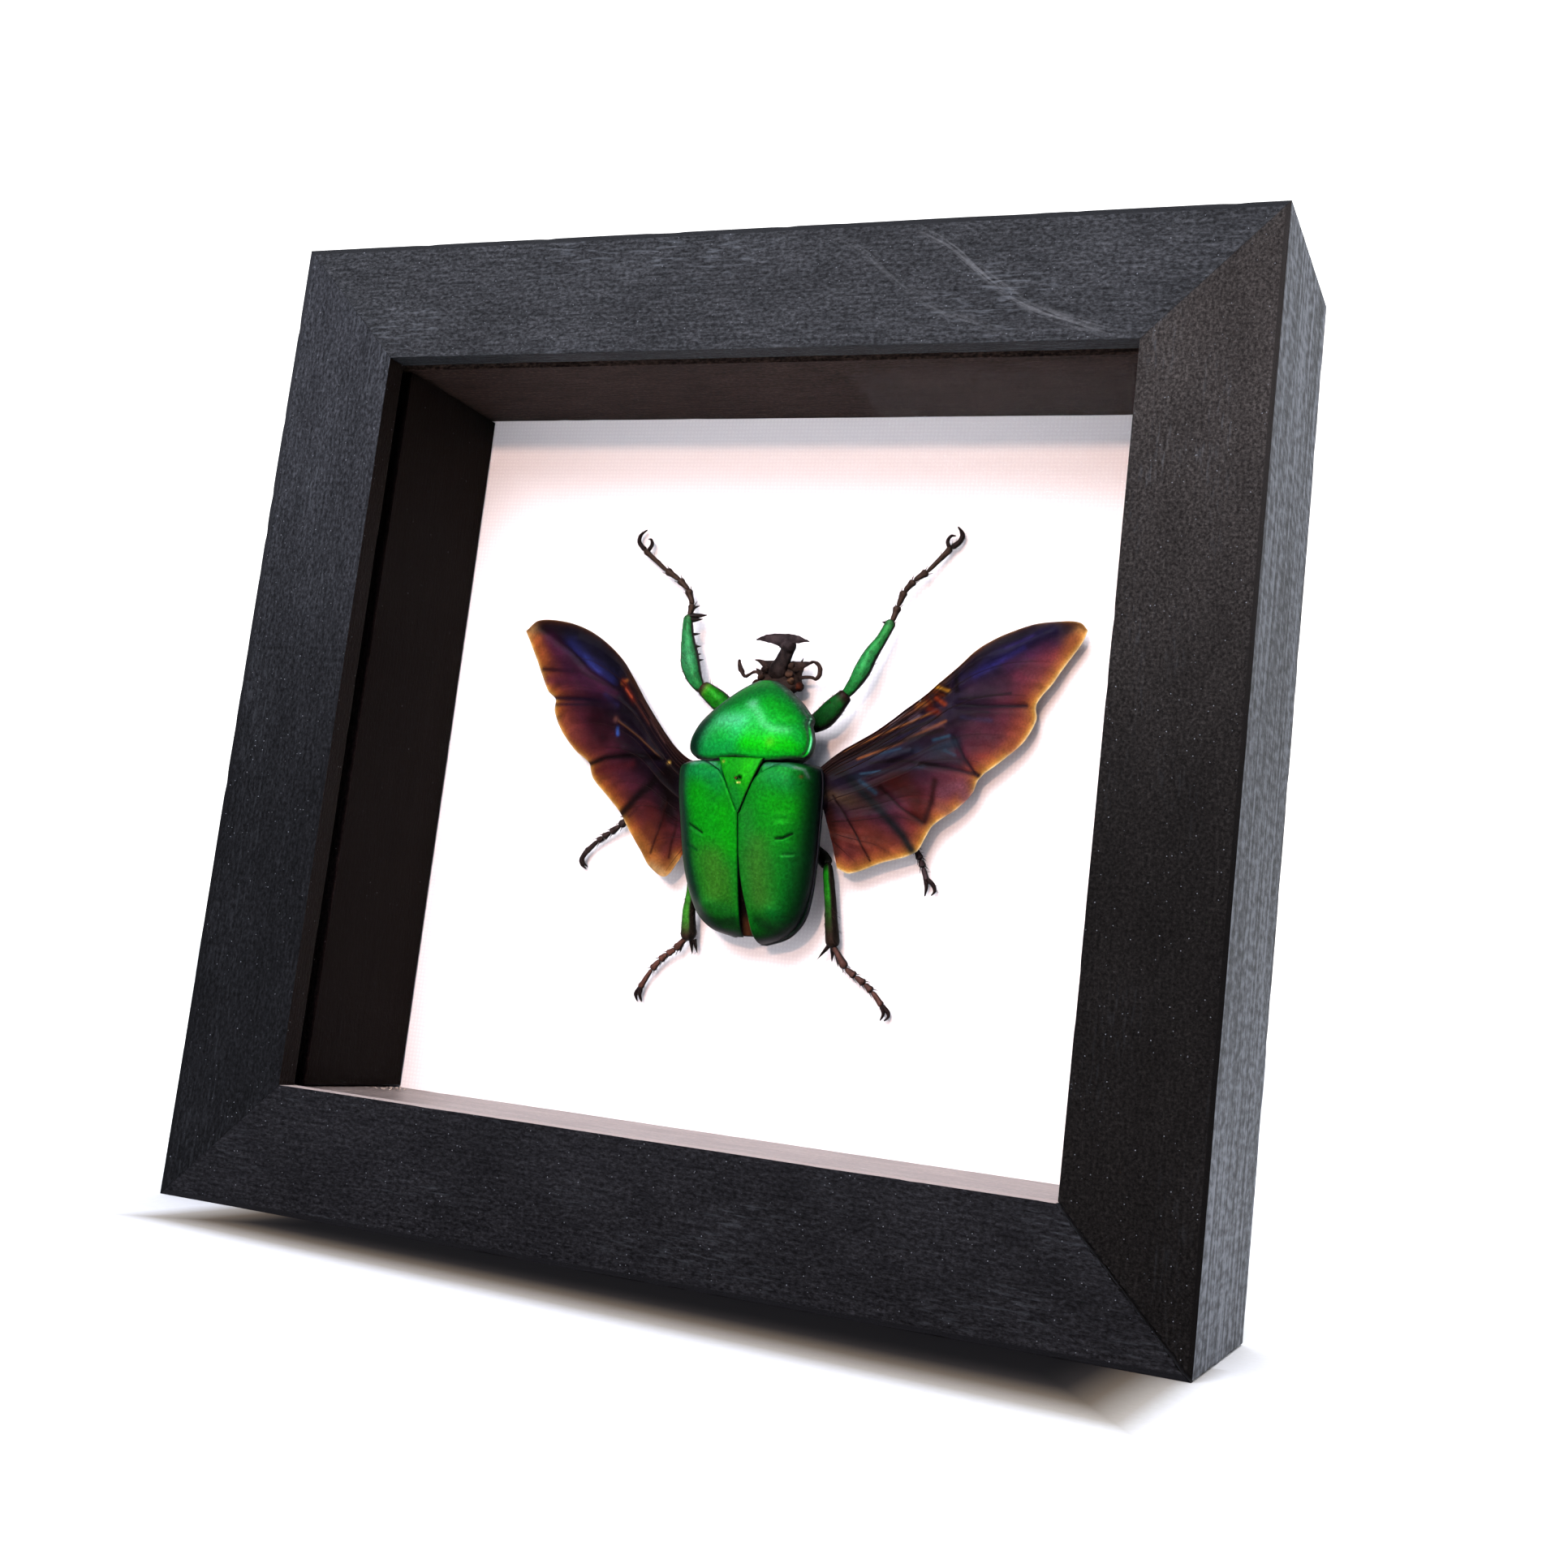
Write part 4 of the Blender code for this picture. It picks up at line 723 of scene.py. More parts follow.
def onPaper(x, y, h):
    x, y, h = np.broadcast_arrays(x, y, h)
    return np.stack([x * mm, paperY - h * mm, middleZ + y * mm], axis=-1)


def onBody(x, s, h):                      # x across the body, s along it, h off the paper
    lean = math.radians(body["lean"])
    ahead = s - body["pivot"][1]
    x = x + along(body["bend"], s)
    return onPaper(body["pivot"][0] + x * math.cos(lean) - ahead * math.sin(lean),
                   body["pivot"][1] + x * math.sin(lean) + ahead * math.cos(lean), h)


def eased(start, end, count):             # places between two ends, closer together near both
    return start + (end - start) * (1 - np.cos(np.pi * np.arange(count) / (count - 1))) / 2


def dome(t, power=2.6):
    return np.sqrt(np.clip(1 - np.minimum(1.0, np.abs(t)) ** power, 0.0, None))


def farFrom(spots, path):                 # how far each spot is from a line of points
    path = np.array(path, float)
    if len(path) == 1:
        return np.linalg.norm(spots - path[0], axis=-1)
    least = np.full(spots.shape[:-1], np.inf)
    for start, end in zip(path, path[1:]):
        run = end - start
        part = np.clip(((spots - start) @ run) / (run @ run), 0, 1)
        least = np.minimum(least, np.linalg.norm(spots - start - part[..., None] * run, axis=-1))
    return least


def bump2(x, s, middle, size, rise):      # a soft lump at (x, s)
    return rise * np.exp(-(((x - middle[0]) / size[0]) ** 2) - ((s - middle[1]) / size[1]) ** 2)


def brush(colours, spots, strokes):       # soft strokes: (path, half width in mm, colour, strength)
    for path, width, code, strength in strokes:
        share = strength * np.exp(-(farFrom(spots, path) / width) ** 2)
        colours = colours + share[..., None] * (hexTone(code) - colours)
    return colours


def plain(shape, code):                   # one colour over a grid of points
    return np.broadcast_to(hexTone(code), (*shape, 4)).copy()


def byDistance(distance, rows):           # colours that change with a distance: (mm, colour) rows
    places, codes = [row[0] for row in rows], np.array([hexTone(row[1]) for row in rows])
    return np.stack([np.interp(distance, places, codes[:, k]) for k in range(4)], axis=-1)


def ringMesh(name, rings, tones, brightness=1.0):
    # A closed solid through rings of points, with a colour at each point
    rows, count = rings.shape[:2]
    faces = gridFaces(rows, count, closed=True)
    faces.append(list(range(count))[::-1])
    faces.append(list(range((rows - 1) * count, rows * count)))
    mesh = meshOf(name, rings, faces)
    paint(mesh, "tone", (linear(tones) * brightness).reshape(-1, 4))
    return outwards(mesh)


def cuticle(name, shade, roughness, metallic, coat, deep, grain, depth=0.03, faceFrom=0.25, faceTo=0.75):
    # Beetle cuticle: smooth chitin with fine punctures. Its green is a structural colour under a satin gloss,
    # set
    # here by how the surface faces one fixed direction, towards the viewer of the case and near that of the key
    # lamp:
    # brightest facing it and dark blue on the flanks, which is painted shade as well as the colour's change
    # with angle. The colour at each point is painted on the mesh, painted highlights and shade among it.
    material, node, finish = newMaterial(name, metallic=metallic, gloss=0.02)
    spot = node("ShaderNodeTexCoord").outputs
    facing = node("ShaderNodeVectorMath", {"operation": "DOT_PRODUCT", 0: spot["Normal"],
                                           1: (0.10, -0.99, 0.06)})
    edge = node.ramp(facing, ((0.12, deep), (0.5, shade[0]), (0.78, shade[1])))
    share = node.soft(facing, faceFrom, faceTo)
    tone = node("ShaderNodeAttribute", {"attribute_name": "tone"})
    colour = node.mix(share, edge, tone)
    # The speckle is drawn about twice as coarse as real, so that it shows from a hand's breadth away
    fine = node(noiseNode, {"Scale": 1 / (grain * mm), "Detail": 3.0, "Roughness": 0.7,
                            "Vector": spot["Object"]})
    speck = node.ramp(fine, ((0.3, 0.6), (0.5, 0.95), (0.7, 1.4)))
    pits = node("ShaderNodeTexVoronoi", {"feature": "SMOOTH_F1", "Scale": 1 / (0.34 * mm),
                                         "Vector": spot["Object"]})
    height = node.timesAdd(fine, 0.5, pits)
    dull = node(rangeNode, {"Value": fine, "To Min": roughness - 0.06, "To Max": roughness + 0.08})
    finish({
        "Base Color": node.tint(colour, speck), "Roughness": dull,
        "Normal": node(bumpNode, {"Strength": 0.4, "Distance": depth * mm, "Height": height}),
        "IOR": 1.56, "Coat Weight": coat, "Coat Roughness": 0.3})          # 1.56 is that of chitin
    return material


greenCuticle, pronotumCuticle, legCuticle, darkCuticle = (cuticle(*values) for values in (
    ("satin_green_beetle_cuticle", ("#03120e", "#05341c"), 0.46, 0.3, 0.01, "#05070c", 0.42),
    ("satin_green_pronotum_cuticle", ("#303f37", "#0a4a2a"), 0.5, 0.3, 0.01, "#262c28", 0.42),
    ("punctate_leg_cuticle", ("#0c0a0a", "#171810"), 0.42, 0.2, 0.02, "#050405", 0.24, 0.04, 0.45, 0.85),
    ("matt_brown_black_cuticle", ("#120e0e", "#221b19"), 0.5, 0.0, 0.0, "#070506", 0.14, 0.05, 0.2, 0.8),
))

elytronStrokes = {                        # (path of (x, s), half width, colour, strength), tail to head
    "left": (
        (((-9.4, -3.0), (-9.6, -8.0)), 1.3, "#0c8a3a", 0.7),
        (((-9.6, -10.0), (-8.8, -17.0), (-7.6, -21.5)), 1.5, "#0f4a26", 0.75),
        (((-8.0, -2.6), (-4.0, -3.4)), 1.7, "#128c4c", 0.75),
        (((-4.4, -4.6), (-3.2, -5.4)), 1.0, "#0c9038", 0.5),
        (((-2.4, -9.0), (-1.6, -14.0)), 2.0, "#07a808", 0.8),
        (((-6.8, -6.4), (-5.0, -12.0)), 2.2, "#06a80c", 0.75),
        (((-5.2, -16.0), (-4.0, -21.0)), 2.7, "#35801f", 0.75),
        (((-2.0, -18.0), (-1.6, -22.4)), 1.4, "#2f7a1c", 0.7),
        (((-6.4, -22.6), (-2.2, -23.2)), 1.1, "#1a7e28", 0.7),
        # painted shade in the dip at the tail beside the suture
        (((-1.0, -24.9), (-3.6, -25.3), (-5.2, -25.0)), 0.9, "#0b3612", 0.8),
        # painted highlights on the rounded front edge, then painted shade in the creases with painted
        # highlights on the lips below them, to the end of the list
        (((-8.2, -1.5), (-6.0, -1.2), (-4.4, -1.5)), 0.42, "#6ab49a", 0.75),
        (((-3.4, -2.1),), 0.5, "#3f9a6a", 0.6), (((-8.2, -10.8), (-5.9, -12.1)), 0.15, "#041c08", 0.9),
        (((-8.0, -11.4), (-6.0, -12.6)), 0.24, "#2aa83a", 0.5),
        (((-8.4, -13.9), (-6.9, -14.7)), 0.2, "#0a4a1c", 0.7),
        (((-4.6, -7.0), (-3.4, -7.5)), 0.3, "#0a7c18", 0.5),
    ),
    "right": (
        (((5.0, -3.0), (7.4, -4.0)), 2.0, "#108c40", 0.7), (((1.6, -8.8), (2.2, -13.0)), 1.4, "#1f8a2a", 0.8),
        (((5.4, -7.4), (8.4, -7.8)), 2.0, "#06a60c", 0.85), (((4.6, -10.0), (7.6, -12.4)), 1.9, "#0a9c14", 0.7),
        (((2.2, -15.4), (3.4, -21.0)), 2.0, "#33822a", 0.8),
        (((5.0, -15.4), (5.2, -20.6)), 1.2, "#1e8424", 0.6),
        (((8.0, -14.5), (7.6, -20.0), (6.6, -23.0)), 1.5, "#0a7a20", 0.75),
        (((5.2, -22.6), (6.2, -23.2)), 0.9, "#109030", 0.7),
        # painted shade in the dip at the tail beside the suture
        (((3.0, -23.8), (4.6, -24.6)), 0.9, "#0c4218", 0.75),
        # painted highlights on the rounded front edge, and a pale painted glint at its outer corner
        (((3.8, -1.4), (6.0, -1.15), (8.0, -1.5)), 0.42, "#5aa88e", 0.75),
        (((2.9, -2.2),), 0.45, "#3f9a6a", 0.5),
        (((8.4, -1.7), (9.6, -1.9), (10.2, -3.0)), 0.28, "#bcd6cc", 0.75),
        (((9.3, -3.0),), 0.3, "#9a5c28", 0.8),
        # painted shade in the creases, painted highlights on the lips below them and on the soft waves, to the
        # end of the list
        (((5.9, -12.1), (6.8, -12.0), (8.1, -11.3)), 0.17, "#03160a", 0.95),
        (((5.4, -12.8), (7.8, -12.3)), 0.22, "#1cc832", 0.65),
        (((6.8, -14.65), (8.3, -14.5)), 0.15, "#24c43c", 0.65),
        (((6.9, -14.3), (8.2, -14.15)), 0.14, "#06400f", 0.5),
        (((6.0, -10.0), (7.8, -9.7)), 0.45, "#10ae1a", 0.5),
        (((6.4, -8.6), (7.6, -8.4)), 0.45, "#10ae1a", 0.35),
    ),
}
elytronCreases = {                        # (path of (|x|, s), half width, depth, height of the lip below)
    "left": ((((8.2, -10.8), (5.9, -12.1)), 0.2, 0.24, 0.10), (((8.4, -13.9), (6.9, -14.7)), 0.28, 0.12, 0.05),
             (((3.4, -7.4), (4.8, -6.9)), 0.5, 0.06, 0.05)),
    "right": ((((5.9, -12.1), (6.8, -12.0), (8.1, -11.3)), 0.2, 0.3, 0.13),
              (((6.8, -14.3), (8.3, -14.2)), 0.2, 0.12, 0.09),
              (((5.8, -9.3), (7.8, -9.1)), 0.45, 0.06, 0.05), (((6.2, -8.1), (7.8, -8.0)), 0.45, 0.04, 0.04)),
}


def elytronHeight(x, s):
    top, rim = along(body["elytronTop"], s), along(body["elytronRim"], s)
    height = rim + (top - rim) * dome(x / along(body["elytronWidth"], s))
    return height + bump2(x, s, (7.4, -3.6), (1.8, 2.2), 0.35) + bump2(x, s, (4.9, -22.8), (1.6, 1.6), 0.5)


def makeElytron(name, side):
    rows, outer, bead, under = 260, 130, 8, 24
    s = eased(body["elytronWidth"][0][0], body["elytronWidth"][-1][0], rows)[:, None]
    gap = along(body["sutureGap"], s) if side > 0 else np.full_like(s, body["sutureGap"][-1][1])
    beside = np.where(s > body["scutellumWidth"][0][0], along(body["scutellumWidth"], s) + body["shellGap"],
                      0.0)
    inner = np.maximum(beside, gap)
    width = along(body["elytronWidth"], s) + 0.3 * (gap - body["sutureGap"][-1][1])
    rim = along(body["elytronRim"], s)
    part = np.linspace(0, 1, outer)[None, :]
    x = inner + (width - inner) * np.sin(part * math.pi / 2)
    spots = np.stack(np.broadcast_arrays(x, s), axis=-1)
    height = elytronHeight(x, s)
    height += bump2(x, s, (5.9, -22.9), (1.5, 1.3), 0.3) - bump2(x, s, (2.7, -24.6), (2.0, 1.6), 0.35)
    ripple = softNoise(np.stack([x, s + 0 * x, 0 * x + side], axis=-1), 3.2, 4)
    height += 0.05 * ripple * np.minimum(1, (width - x) / 2)
    for path, size, deep, lip in elytronCreases[name]:
        height -= deep * np.exp(-(farFrom(spots, path) / size) ** 2)
        height += lip * np.exp(-(farFrom(spots, np.array(path) - (0, 2.1 * size)) / (1.3 * size)) ** 2)
    height -= 0.22 * np.exp(-(x - inner) / 0.13)                    # the edges roll under
    front = np.clip((s + 1.9) / 1.1, 0, 1)
    height -= 1.4 * (1 - np.sqrt(1 - 0.98 * front**2))
    tail = np.clip((-26.0 - s) / 1.2, 0, 1)
    height -= 0.5 * tail**2
    corner = np.clip(1 - (x - inner) / 3.2, 0, 1) ** 1.6 * np.clip((s + 4.6) / 3.8, 0, 1) ** 1.6
    place = s - 1.5 * corner
    turn = np.linspace(0, math.pi, bead + 2)[None, 1:-1]
    beadX = width + 0.2 * np.sin(turn)
    beadH = height[:, -1:] - 0.28 + 0.28 * np.cos(turn)
    back = np.linspace(1, 0, under)[None, :]
    underX = inner + (width - body["shell"] - inner) * np.sin(back * math.pi / 2)
    underH = rim + (elytronHeight(underX, s) - body["shell"] - rim) * dome(back, 12)
    underH = np.minimum(np.maximum(rim - 0.3, underH) - 1.2 * (1 - np.sqrt(1 - 0.98 * front**2)), underH + 1)
    allX = np.concatenate([x, beadX, underX], axis=1)
    allH = np.concatenate([height, beadH, underH], axis=1)
    allS = np.concatenate([place, place[:, -1:] + 0 * beadX, s + 0 * underX], axis=1)
    length = body["leftLength"] if side < 0 else 1.0
    rings = onBody(side * allX, allS * length, allH)
    painted = np.stack([side * allX, allS], axis=-1)
    olive = (((side * 3.5, -13.0 - (side < 0) * 3.0), (side * 3.6, -20.5)), 1.9, "#4a8226", 0.5)
    tones = brush(plain(allX.shape, "#0a8e1a"), painted,
                  (*elytronStrokes[name], olive)) * (1.0 if side < 0 else 0.93)
    inside = np.maximum(0.0, width - allX)
    # painted shade: the tail darkens where it curves down
    low = np.clip((-24.2 - allS) / 2.2, 0, 1)             # the tail darkens
    hind = np.clip((-3.0 - allS) / 20, 0, 1)              # the dark flank widens towards the tail
    # darker bands down the flanks, a painted highlight along the left rim's bead and a dark lavender painted
    # sheen along the right rim
    edges = (((np.exp(-(((inside - 1.4 - 0.2 * hind) / (0.9 + 0.2 * hind)) ** 2)), "#042c22"),
              (1.0 * (inside < 0.1), "#8d9496")) if side < 0 else
             ((np.exp(-(inside / (1.9 + 0.5 * hind)) ** 2), "#041a0f"),
              (np.exp(-(inside / 0.16) ** 2), "#2c2630")))
    # the tail's painted shade and a lavender painted sheen near its rim are mixed in with the flank bands
    for share, code in (*edges, (0.7 * low, "#141a14"),
                        (0.6 * low * np.exp(-(((inside - 0.45) / 0.3) ** 2)), "#8a8298")):
        tones = tones + 0.9 * share[..., None] * (hexTone(code) - tones)
    mesh = ringMesh("wing_case_" + name, rings, tones, body["elytronTone"])
    makePiece("wing_case_" + name, mesh, greenCuticle, "green_cuticle", "elytron_" + name, smoothAngle=70)


def makeScutellum():
    rows, columns = 70, 50
    s = eased(body["scutellumWidth"][0][0], body["scutellumWidth"][-1][0], rows)[:, None]
    half = along(body["scutellumWidth"], s)
    part = np.sin(np.linspace(-1, 1, columns) * math.pi / 2)[None, :]
    x = half * part
    top = along(body["elytronTop"], s) + 0.12 - 0.02 * x * x
    edge = np.minimum(half - np.abs(x), np.minimum(s + 8.7, -0.5 - s) * 0.6)
    height = top - 0.25 * np.exp(-np.clip(edge, 0, None) / 0.11)
    spots = np.stack(np.broadcast_arrays(x, s), axis=-1)
    pit = farFrom(spots, [body["pin"]])
    height -= 0.35 * np.exp(-(pit / 0.4) ** 2) - 0.1 * np.exp(-((pit - 0.6) / 0.25) ** 2)
    allX = np.concatenate([x, x[:, ::-1]], axis=1)
    allH = np.concatenate([height, along(body["elytronTop"], s) - body["shell"] + 0 * x], axis=1)
    # the strokes paint a black spot as shade in the pin hole and a painted glint just below it
    tones = brush(plain(allX.shape, "#12a016"), np.stack([allX, s + 0 * allX], axis=-1), (
        (((1.6, -1.2), (0.8, -4.0)), 1.2, "#16b006", 0.8), (((0.0, -8.4), (-0.6, -5.4)), 1.3, "#0d8628", 0.8),
        (((-2.6, -1.2),), 0.25, "#c8b44a", 0.8), (((0.2, -3.5),), 0.3, "#020502", 0.95),
        (((0.0, -4.3), (0.4, -4.35)), 0.15, "#f0dc78", 0.9)))
    # painted shade along the edges, where the shield meets the wing cases
    dark = np.exp(-(np.clip(half - np.abs(allX), 0, None) / 0.1) ** 2)[..., None]
    tones = tones + 0.8 * dark * (hexTone("#2a2a10") - tones)
    mesh = ringMesh("scutellum_plate", onBody(allX, s + 0 * allX, allH), tones, body["shieldTone"])
    makePiece("scutellum_plate", mesh, greenCuticle, "green_cuticle", "scutellum")


pronotumStrokes = (
    (((-8.4, 0.4), (-8.0, 2.4), (-7.2, 5.4)), 2.2, "#052c1f", 0.95),
    (((-6.8, 0.9), (-2.0, 0.8)), 1.5, "#0a963e", 0.8),
    # painted highlights in the next four lines: a broad pale one on the left, a line along the ridge, and pale
    # spots beside it
    (((-7.0, 3.6), (-4.0, 5.0), (-0.6, 5.2)), 2.1, "#3ec26c", 0.7),
    (((-4.4, 5.4), (-1.0, 5.0)), 1.2, "#58cc8e", 0.7),
    (((-0.6, 7.9), (0.6, 7.2), (1.8, 6.0), (2.8, 4.6), (4.4, 3.8), (6.6, 3.8)), 0.75, "#62cc88", 0.65),
    (((0.2, 7.9),), 0.7, "#86dcb0", 0.6), (((-0.8, 3.3),), 1.6, "#2cc070", 0.5),
    (((0.8, 3.6), (3.0, 2.6)), 1.2, "#24b43c", 0.5),
    # painted shade beside the ridge
    (((2.8, 8.4), (5.6, 6.6), (7.2, 5.4)), 1.3, "#0a9a18", 0.65),
    (((0.8, 1.6), (7.4, 1.4)), 1.35, "#05c008", 0.85),
    (((7.6, 4.4), (8.2, 2.6)), 0.7, "#18b044", 0.5), (((4.4, 1.9),), 0.75, "#66c428", 0.6),
    (((-6.4, 6.6), (-2.6, 8.9), (0.4, 10.4)), 1.5, "#08662a", 0.75),
    (((2.6, 10.4), (6.4, 8.4), (8.2, 6.4)), 1.2, "#096a2c", 0.7),
    # painted shade in the side groove, then a painted highlight on the bead
    (((9.2, 6.4), (8.9, 5.2)), 0.5, "#0c5a34", 0.7),
    (((9.55, 4.4), (9.75, 2.6), (9.6, 1.0)), 0.2, "#7ed8ac", 0.8),
    (((-8.7, 0.4), (-8.5, 2.4), (-7.6, 5.0)), 1.3, "#042619", 0.9),
)


def makePronotum():
    rows, columns, lower = 170, 210, 60
    s = eased(body["pronotumWidth"][0][0], body["pronotumWidth"][-1][0], rows)[:, None]
    width, top, rim = (along(body["pronotum" + key], s) for key in ("Width", "Top", "Rim"))
    belly = np.minimum(along(body["pronotumBelly"], s), rim - 0.1)
    turn = np.linspace(0, math.pi, columns)[None, :]
    width = np.where(np.cos(turn) < 0, along(body["pronotumLeft"], s), width)     # no notch on the left
    x = width * np.cos(turn)
    height = rim + (top - rim) * dome(np.cos(turn), 2.2)
    spots = np.stack(np.broadcast_arrays(x, s), axis=-1)
    out = np.abs(np.cos(turn))
    sides = np.clip((s + 0.2) / 0.8, 0, 1) * np.clip((8.0 - s) / 2.0, 0, 1) * (x > 0)
    bead = 0.22 * np.exp(-((out - 0.985) / 0.014) ** 2) - 0.25 * np.exp(-((out - 0.945) / 0.018) ** 2)
    height += sides * bead
    ridge = ((1.1, 7.7), (2.5, 6.0), (3.7, 4.2), (5.4, 3.3), (8.0, 3.0))
    height += 0.10 * np.exp(-(farFrom(spots, ridge) / 1.2) ** 2)
    height -= 0.10 * np.exp(-(farFrom(spots, ((3.9, 6.4), (5.9, 5.6))) / 1.6) ** 2)
    height -= 0.10 * np.exp(-(farFrom(spots, ((-1.5, 3.0), (0.5, 4.4))) / 2.2) ** 2)
    height += 0.05 * softNoise(np.stack([x, s + 0 * x, 0 * x], axis=-1), 2.6, 9) * dome(out, 2)
    hind = np.clip(1 - (s + 0.5) / 0.6, 0, 1)
    height -= 0.45 * hind**2
    turnBack = np.linspace(math.pi, 0, lower)[None, :]
    lowWidth = np.where(np.cos(turnBack) < 0, along(body["pronotumLeft"], s), along(body["pronotumWidth"], s))
    lowX = lowWidth * 0.97 * np.cos(turnBack)
    lowH = rim - 0.15 - (rim - 0.15 - belly) * dome(np.cos(turnBack), 2.0)
    allX = np.concatenate([x, lowX], axis=1)
    allH = np.concatenate([height, lowH], axis=1)
    allWidth = np.concatenate([width + 0 * x, lowWidth + 0 * lowX], axis=1)
    tones = brush(plain(allX.shape, "#0aa026"), np.stack([allX, s + 0 * allX], axis=-1), pronotumStrokes)
    reach = np.where(allX < 0, 1.6, 1.1)                  # the grey band along the front, wider on the left
    front = np.exp(-(np.maximum(0.0, allWidth - np.abs(allX)) / reach) ** 4) * np.clip((s - 3.0) / 2.4, 0, 1)
    dust = 0.5 + 0.5 * softNoise(np.stack([allX, s + 0 * allX, 0 * allX], axis=-1), 0.22, 21)
    band = hexTone("#1f3c2c") + dust[..., None] ** 3 * (hexTone("#93a79a") - hexTone("#1f3c2c"))
    tones = tones + 0.8 * front[..., None] * (band - tones)
    under = (np.arange(allX.shape[1]) >= columns)[None, :, None]
    tones = np.where(under, hexTone("#14301c"), tones)
    wave = 0.22 * np.cos(allX * 0.72 + 0.9) * np.clip(1 - (s + 0.5) / 3, 0, 1)
    rings = onBody(allX, s + wave, allH)
    mesh = ringMesh("pronotum_shield", rings, tones, body["pronotumTone"])
    makePiece("pronotum_shield", mesh, pronotumCuticle, "green_cuticle", "pronotum", smoothAngle=70)


def makeUnderbody():
    rows, columns = 130, 72
    s = np.linspace(body["abdomenWidth"][0][0], body["abdomenWidth"][-1][0], rows)[:, None]
    width, side = along(body["abdomenWidth"], s), along(body["abdomenSide"], s)
    turn = (np.arange(columns) + 0.5)[None, :] * 2 * math.pi / columns
    reach = np.where(np.sin(turn) > 0, along(body["abdomenTop"], s) - side,
                     side - along(body["abdomenBelly"], s))
    across = np.sign(np.cos(turn)) * np.abs(np.cos(turn)) ** 0.85
    plates = np.zeros_like(s)             # the belly's plates overlap like tiles
    for joint in (-24.0, -21.6, -19.0, -16.2, -13.2, -8.4):
        plates = plates + np.exp(-((s - joint) / 0.22) ** 2)
    shrink = 1 - 0.035 * plates
    x = width * across * shrink
    h = side + reach * np.sin(turn) * shrink
    h += 0.05 * softNoise(np.stack([x, s + 0 * x, h], axis=-1), 0.9, 3)
    tones = brush(plain(x.shape, "#1c1410"), np.stack([x, s + 0 * x], axis=-1), (
        (((0.2, -16.0), (0.5, -22.0)), 1.5, "#070403", 0.9),
        (((0.3, -25.6), (0.6, -24.2)), 0.9, "#4c2a14", 0.85)))
    makePiece("underbody_plates", ringMesh("underbody_plates", onBody(x, s + 0 * x, h), tones), darkCuticle,
              "dark_cuticle", "underbody", smoothAngle=60)


makeUnderbody()
makePronotum()
makeScutellum()
makeElytron("left", -1)
makeElytron("right", 1)
print("beetle body")


# Beetle: head, horn and legs, from rounded limbs through (x, y, height, radius)

def limb(path, tone, sides=20, rows=36, flatness=0.85, tips=(1.0, 1.0), strip=None):
    # Points, faces and colours of a limb; tone is one colour, or (share of the length, colour) rows; strip is
    # the part round it that keeps the tone, and the rest is dark: degrees to its middle and its half width
    path = np.array(path, float)
    steps = np.linalg.norm(np.diff(path[:, :3], axis=0), axis=1)
    run = np.concatenate([[0], np.cumsum(steps)])
    fine = eased(0, run[-1], rows)
    x, y, h, radius = (along(list(zip(run, column)), fine) for column in path.T)
    middle = np.stack([x, y, h], axis=-1)
    for reach, tip in ((fine, tips[0]), (run[-1] - fine, tips[1])):
        if tip:                           # rounds the end
            close = np.clip(reach / (radius * tip), 0, 1)
            radius = radius * np.sqrt(np.maximum(0.004, 1 - (1 - close) ** 2))
    ahead = np.gradient(middle, axis=0)
    ahead /= np.linalg.norm(ahead, axis=1)[:, None]
    side = np.cross(ahead, (0, 0, 1.0))
    side /= np.linalg.norm(side, axis=1)[:, None]
    up = np.cross(side, ahead)
    turn = 2 * math.pi * np.arange(sides) / sides
    ring = (side[:, None] * np.cos(turn)[:, None] + up[:, None] * (flatness * np.sin(turn))[:, None])
    points = middle[:, None] + ring * radius[:, None, None]
    faces = gridFaces(rows, sides, closed=True)
    faces.append(list(range(sides))[::-1])
    faces.append(list(range((rows - 1) * sides, rows * sides)))
    tone = ((0.0, tone), (1.0, tone)) if isinstance(tone, str) else tone
    tones = np.repeat(byDistance(fine / run[-1], tone)[:, None], sides, axis=1)
    if strip:
        off = np.abs((np.degrees(turn) - strip[0] + 180) % 360 - 180)
        dark = np.clip((off - strip[1]) / 14, 0, 1)[None, :] * np.ones((rows, 1))
        tones = tones + dark[..., None] * (hexTone("#17110d") - tones)
    return points.reshape(-1, 3), faces, tones.reshape(-1, 4)


def lump(middle, size, tone, sides=20, rows=14):          # an egg shape
    turn, rise = np.meshgrid(2 * math.pi * np.arange(sides) / sides, np.linspace(-0.497, 0.497, rows) * math.pi)
    points = np.stack([np.cos(rise) * np.cos(turn), np.cos(rise) * np.sin(turn), np.sin(rise)], axis=-1)
    points = points * np.array(size) + np.array(middle)
    faces = gridFaces(rows, sides, closed=True)
    faces.append(list(range(sides))[::-1])
    faces.append(list(range((rows - 1) * sides, rows * sides)))
    return points.reshape(-1, 3), faces, plain((rows * sides,), tone)


def joinShapes(name, shapes, roughen=0.0, lumps=0.5, seed=1, mottle=0.0):
    points, faces, tones = [], [], []
    for shapePoints, shapeFaces, shapeTones in shapes:
        first = sum(len(p) for p in points)
        points.append(shapePoints)
        tones.append(shapeTones)
        faces += [[first + i for i in face] for face in shapeFaces]
    points, tones = np.concatenate(points), np.concatenate(tones)
    if mottle:                            # darker and paler blotches
        tones = tones * (1 + mottle * softNoise(points, 0.5, seed + 7)[:, None])
    if roughen:
        shift = np.stack([softNoise(points, lumps, seed + k) for k in range(3)], axis=-1)
        points = points + roughen * shift
    mesh = meshOf(name, onPaper(points[:, 0], points[:, 1], points[:, 2]), faces)
    paint(mesh, "tone", linear(tones))
    return outwards(mesh)


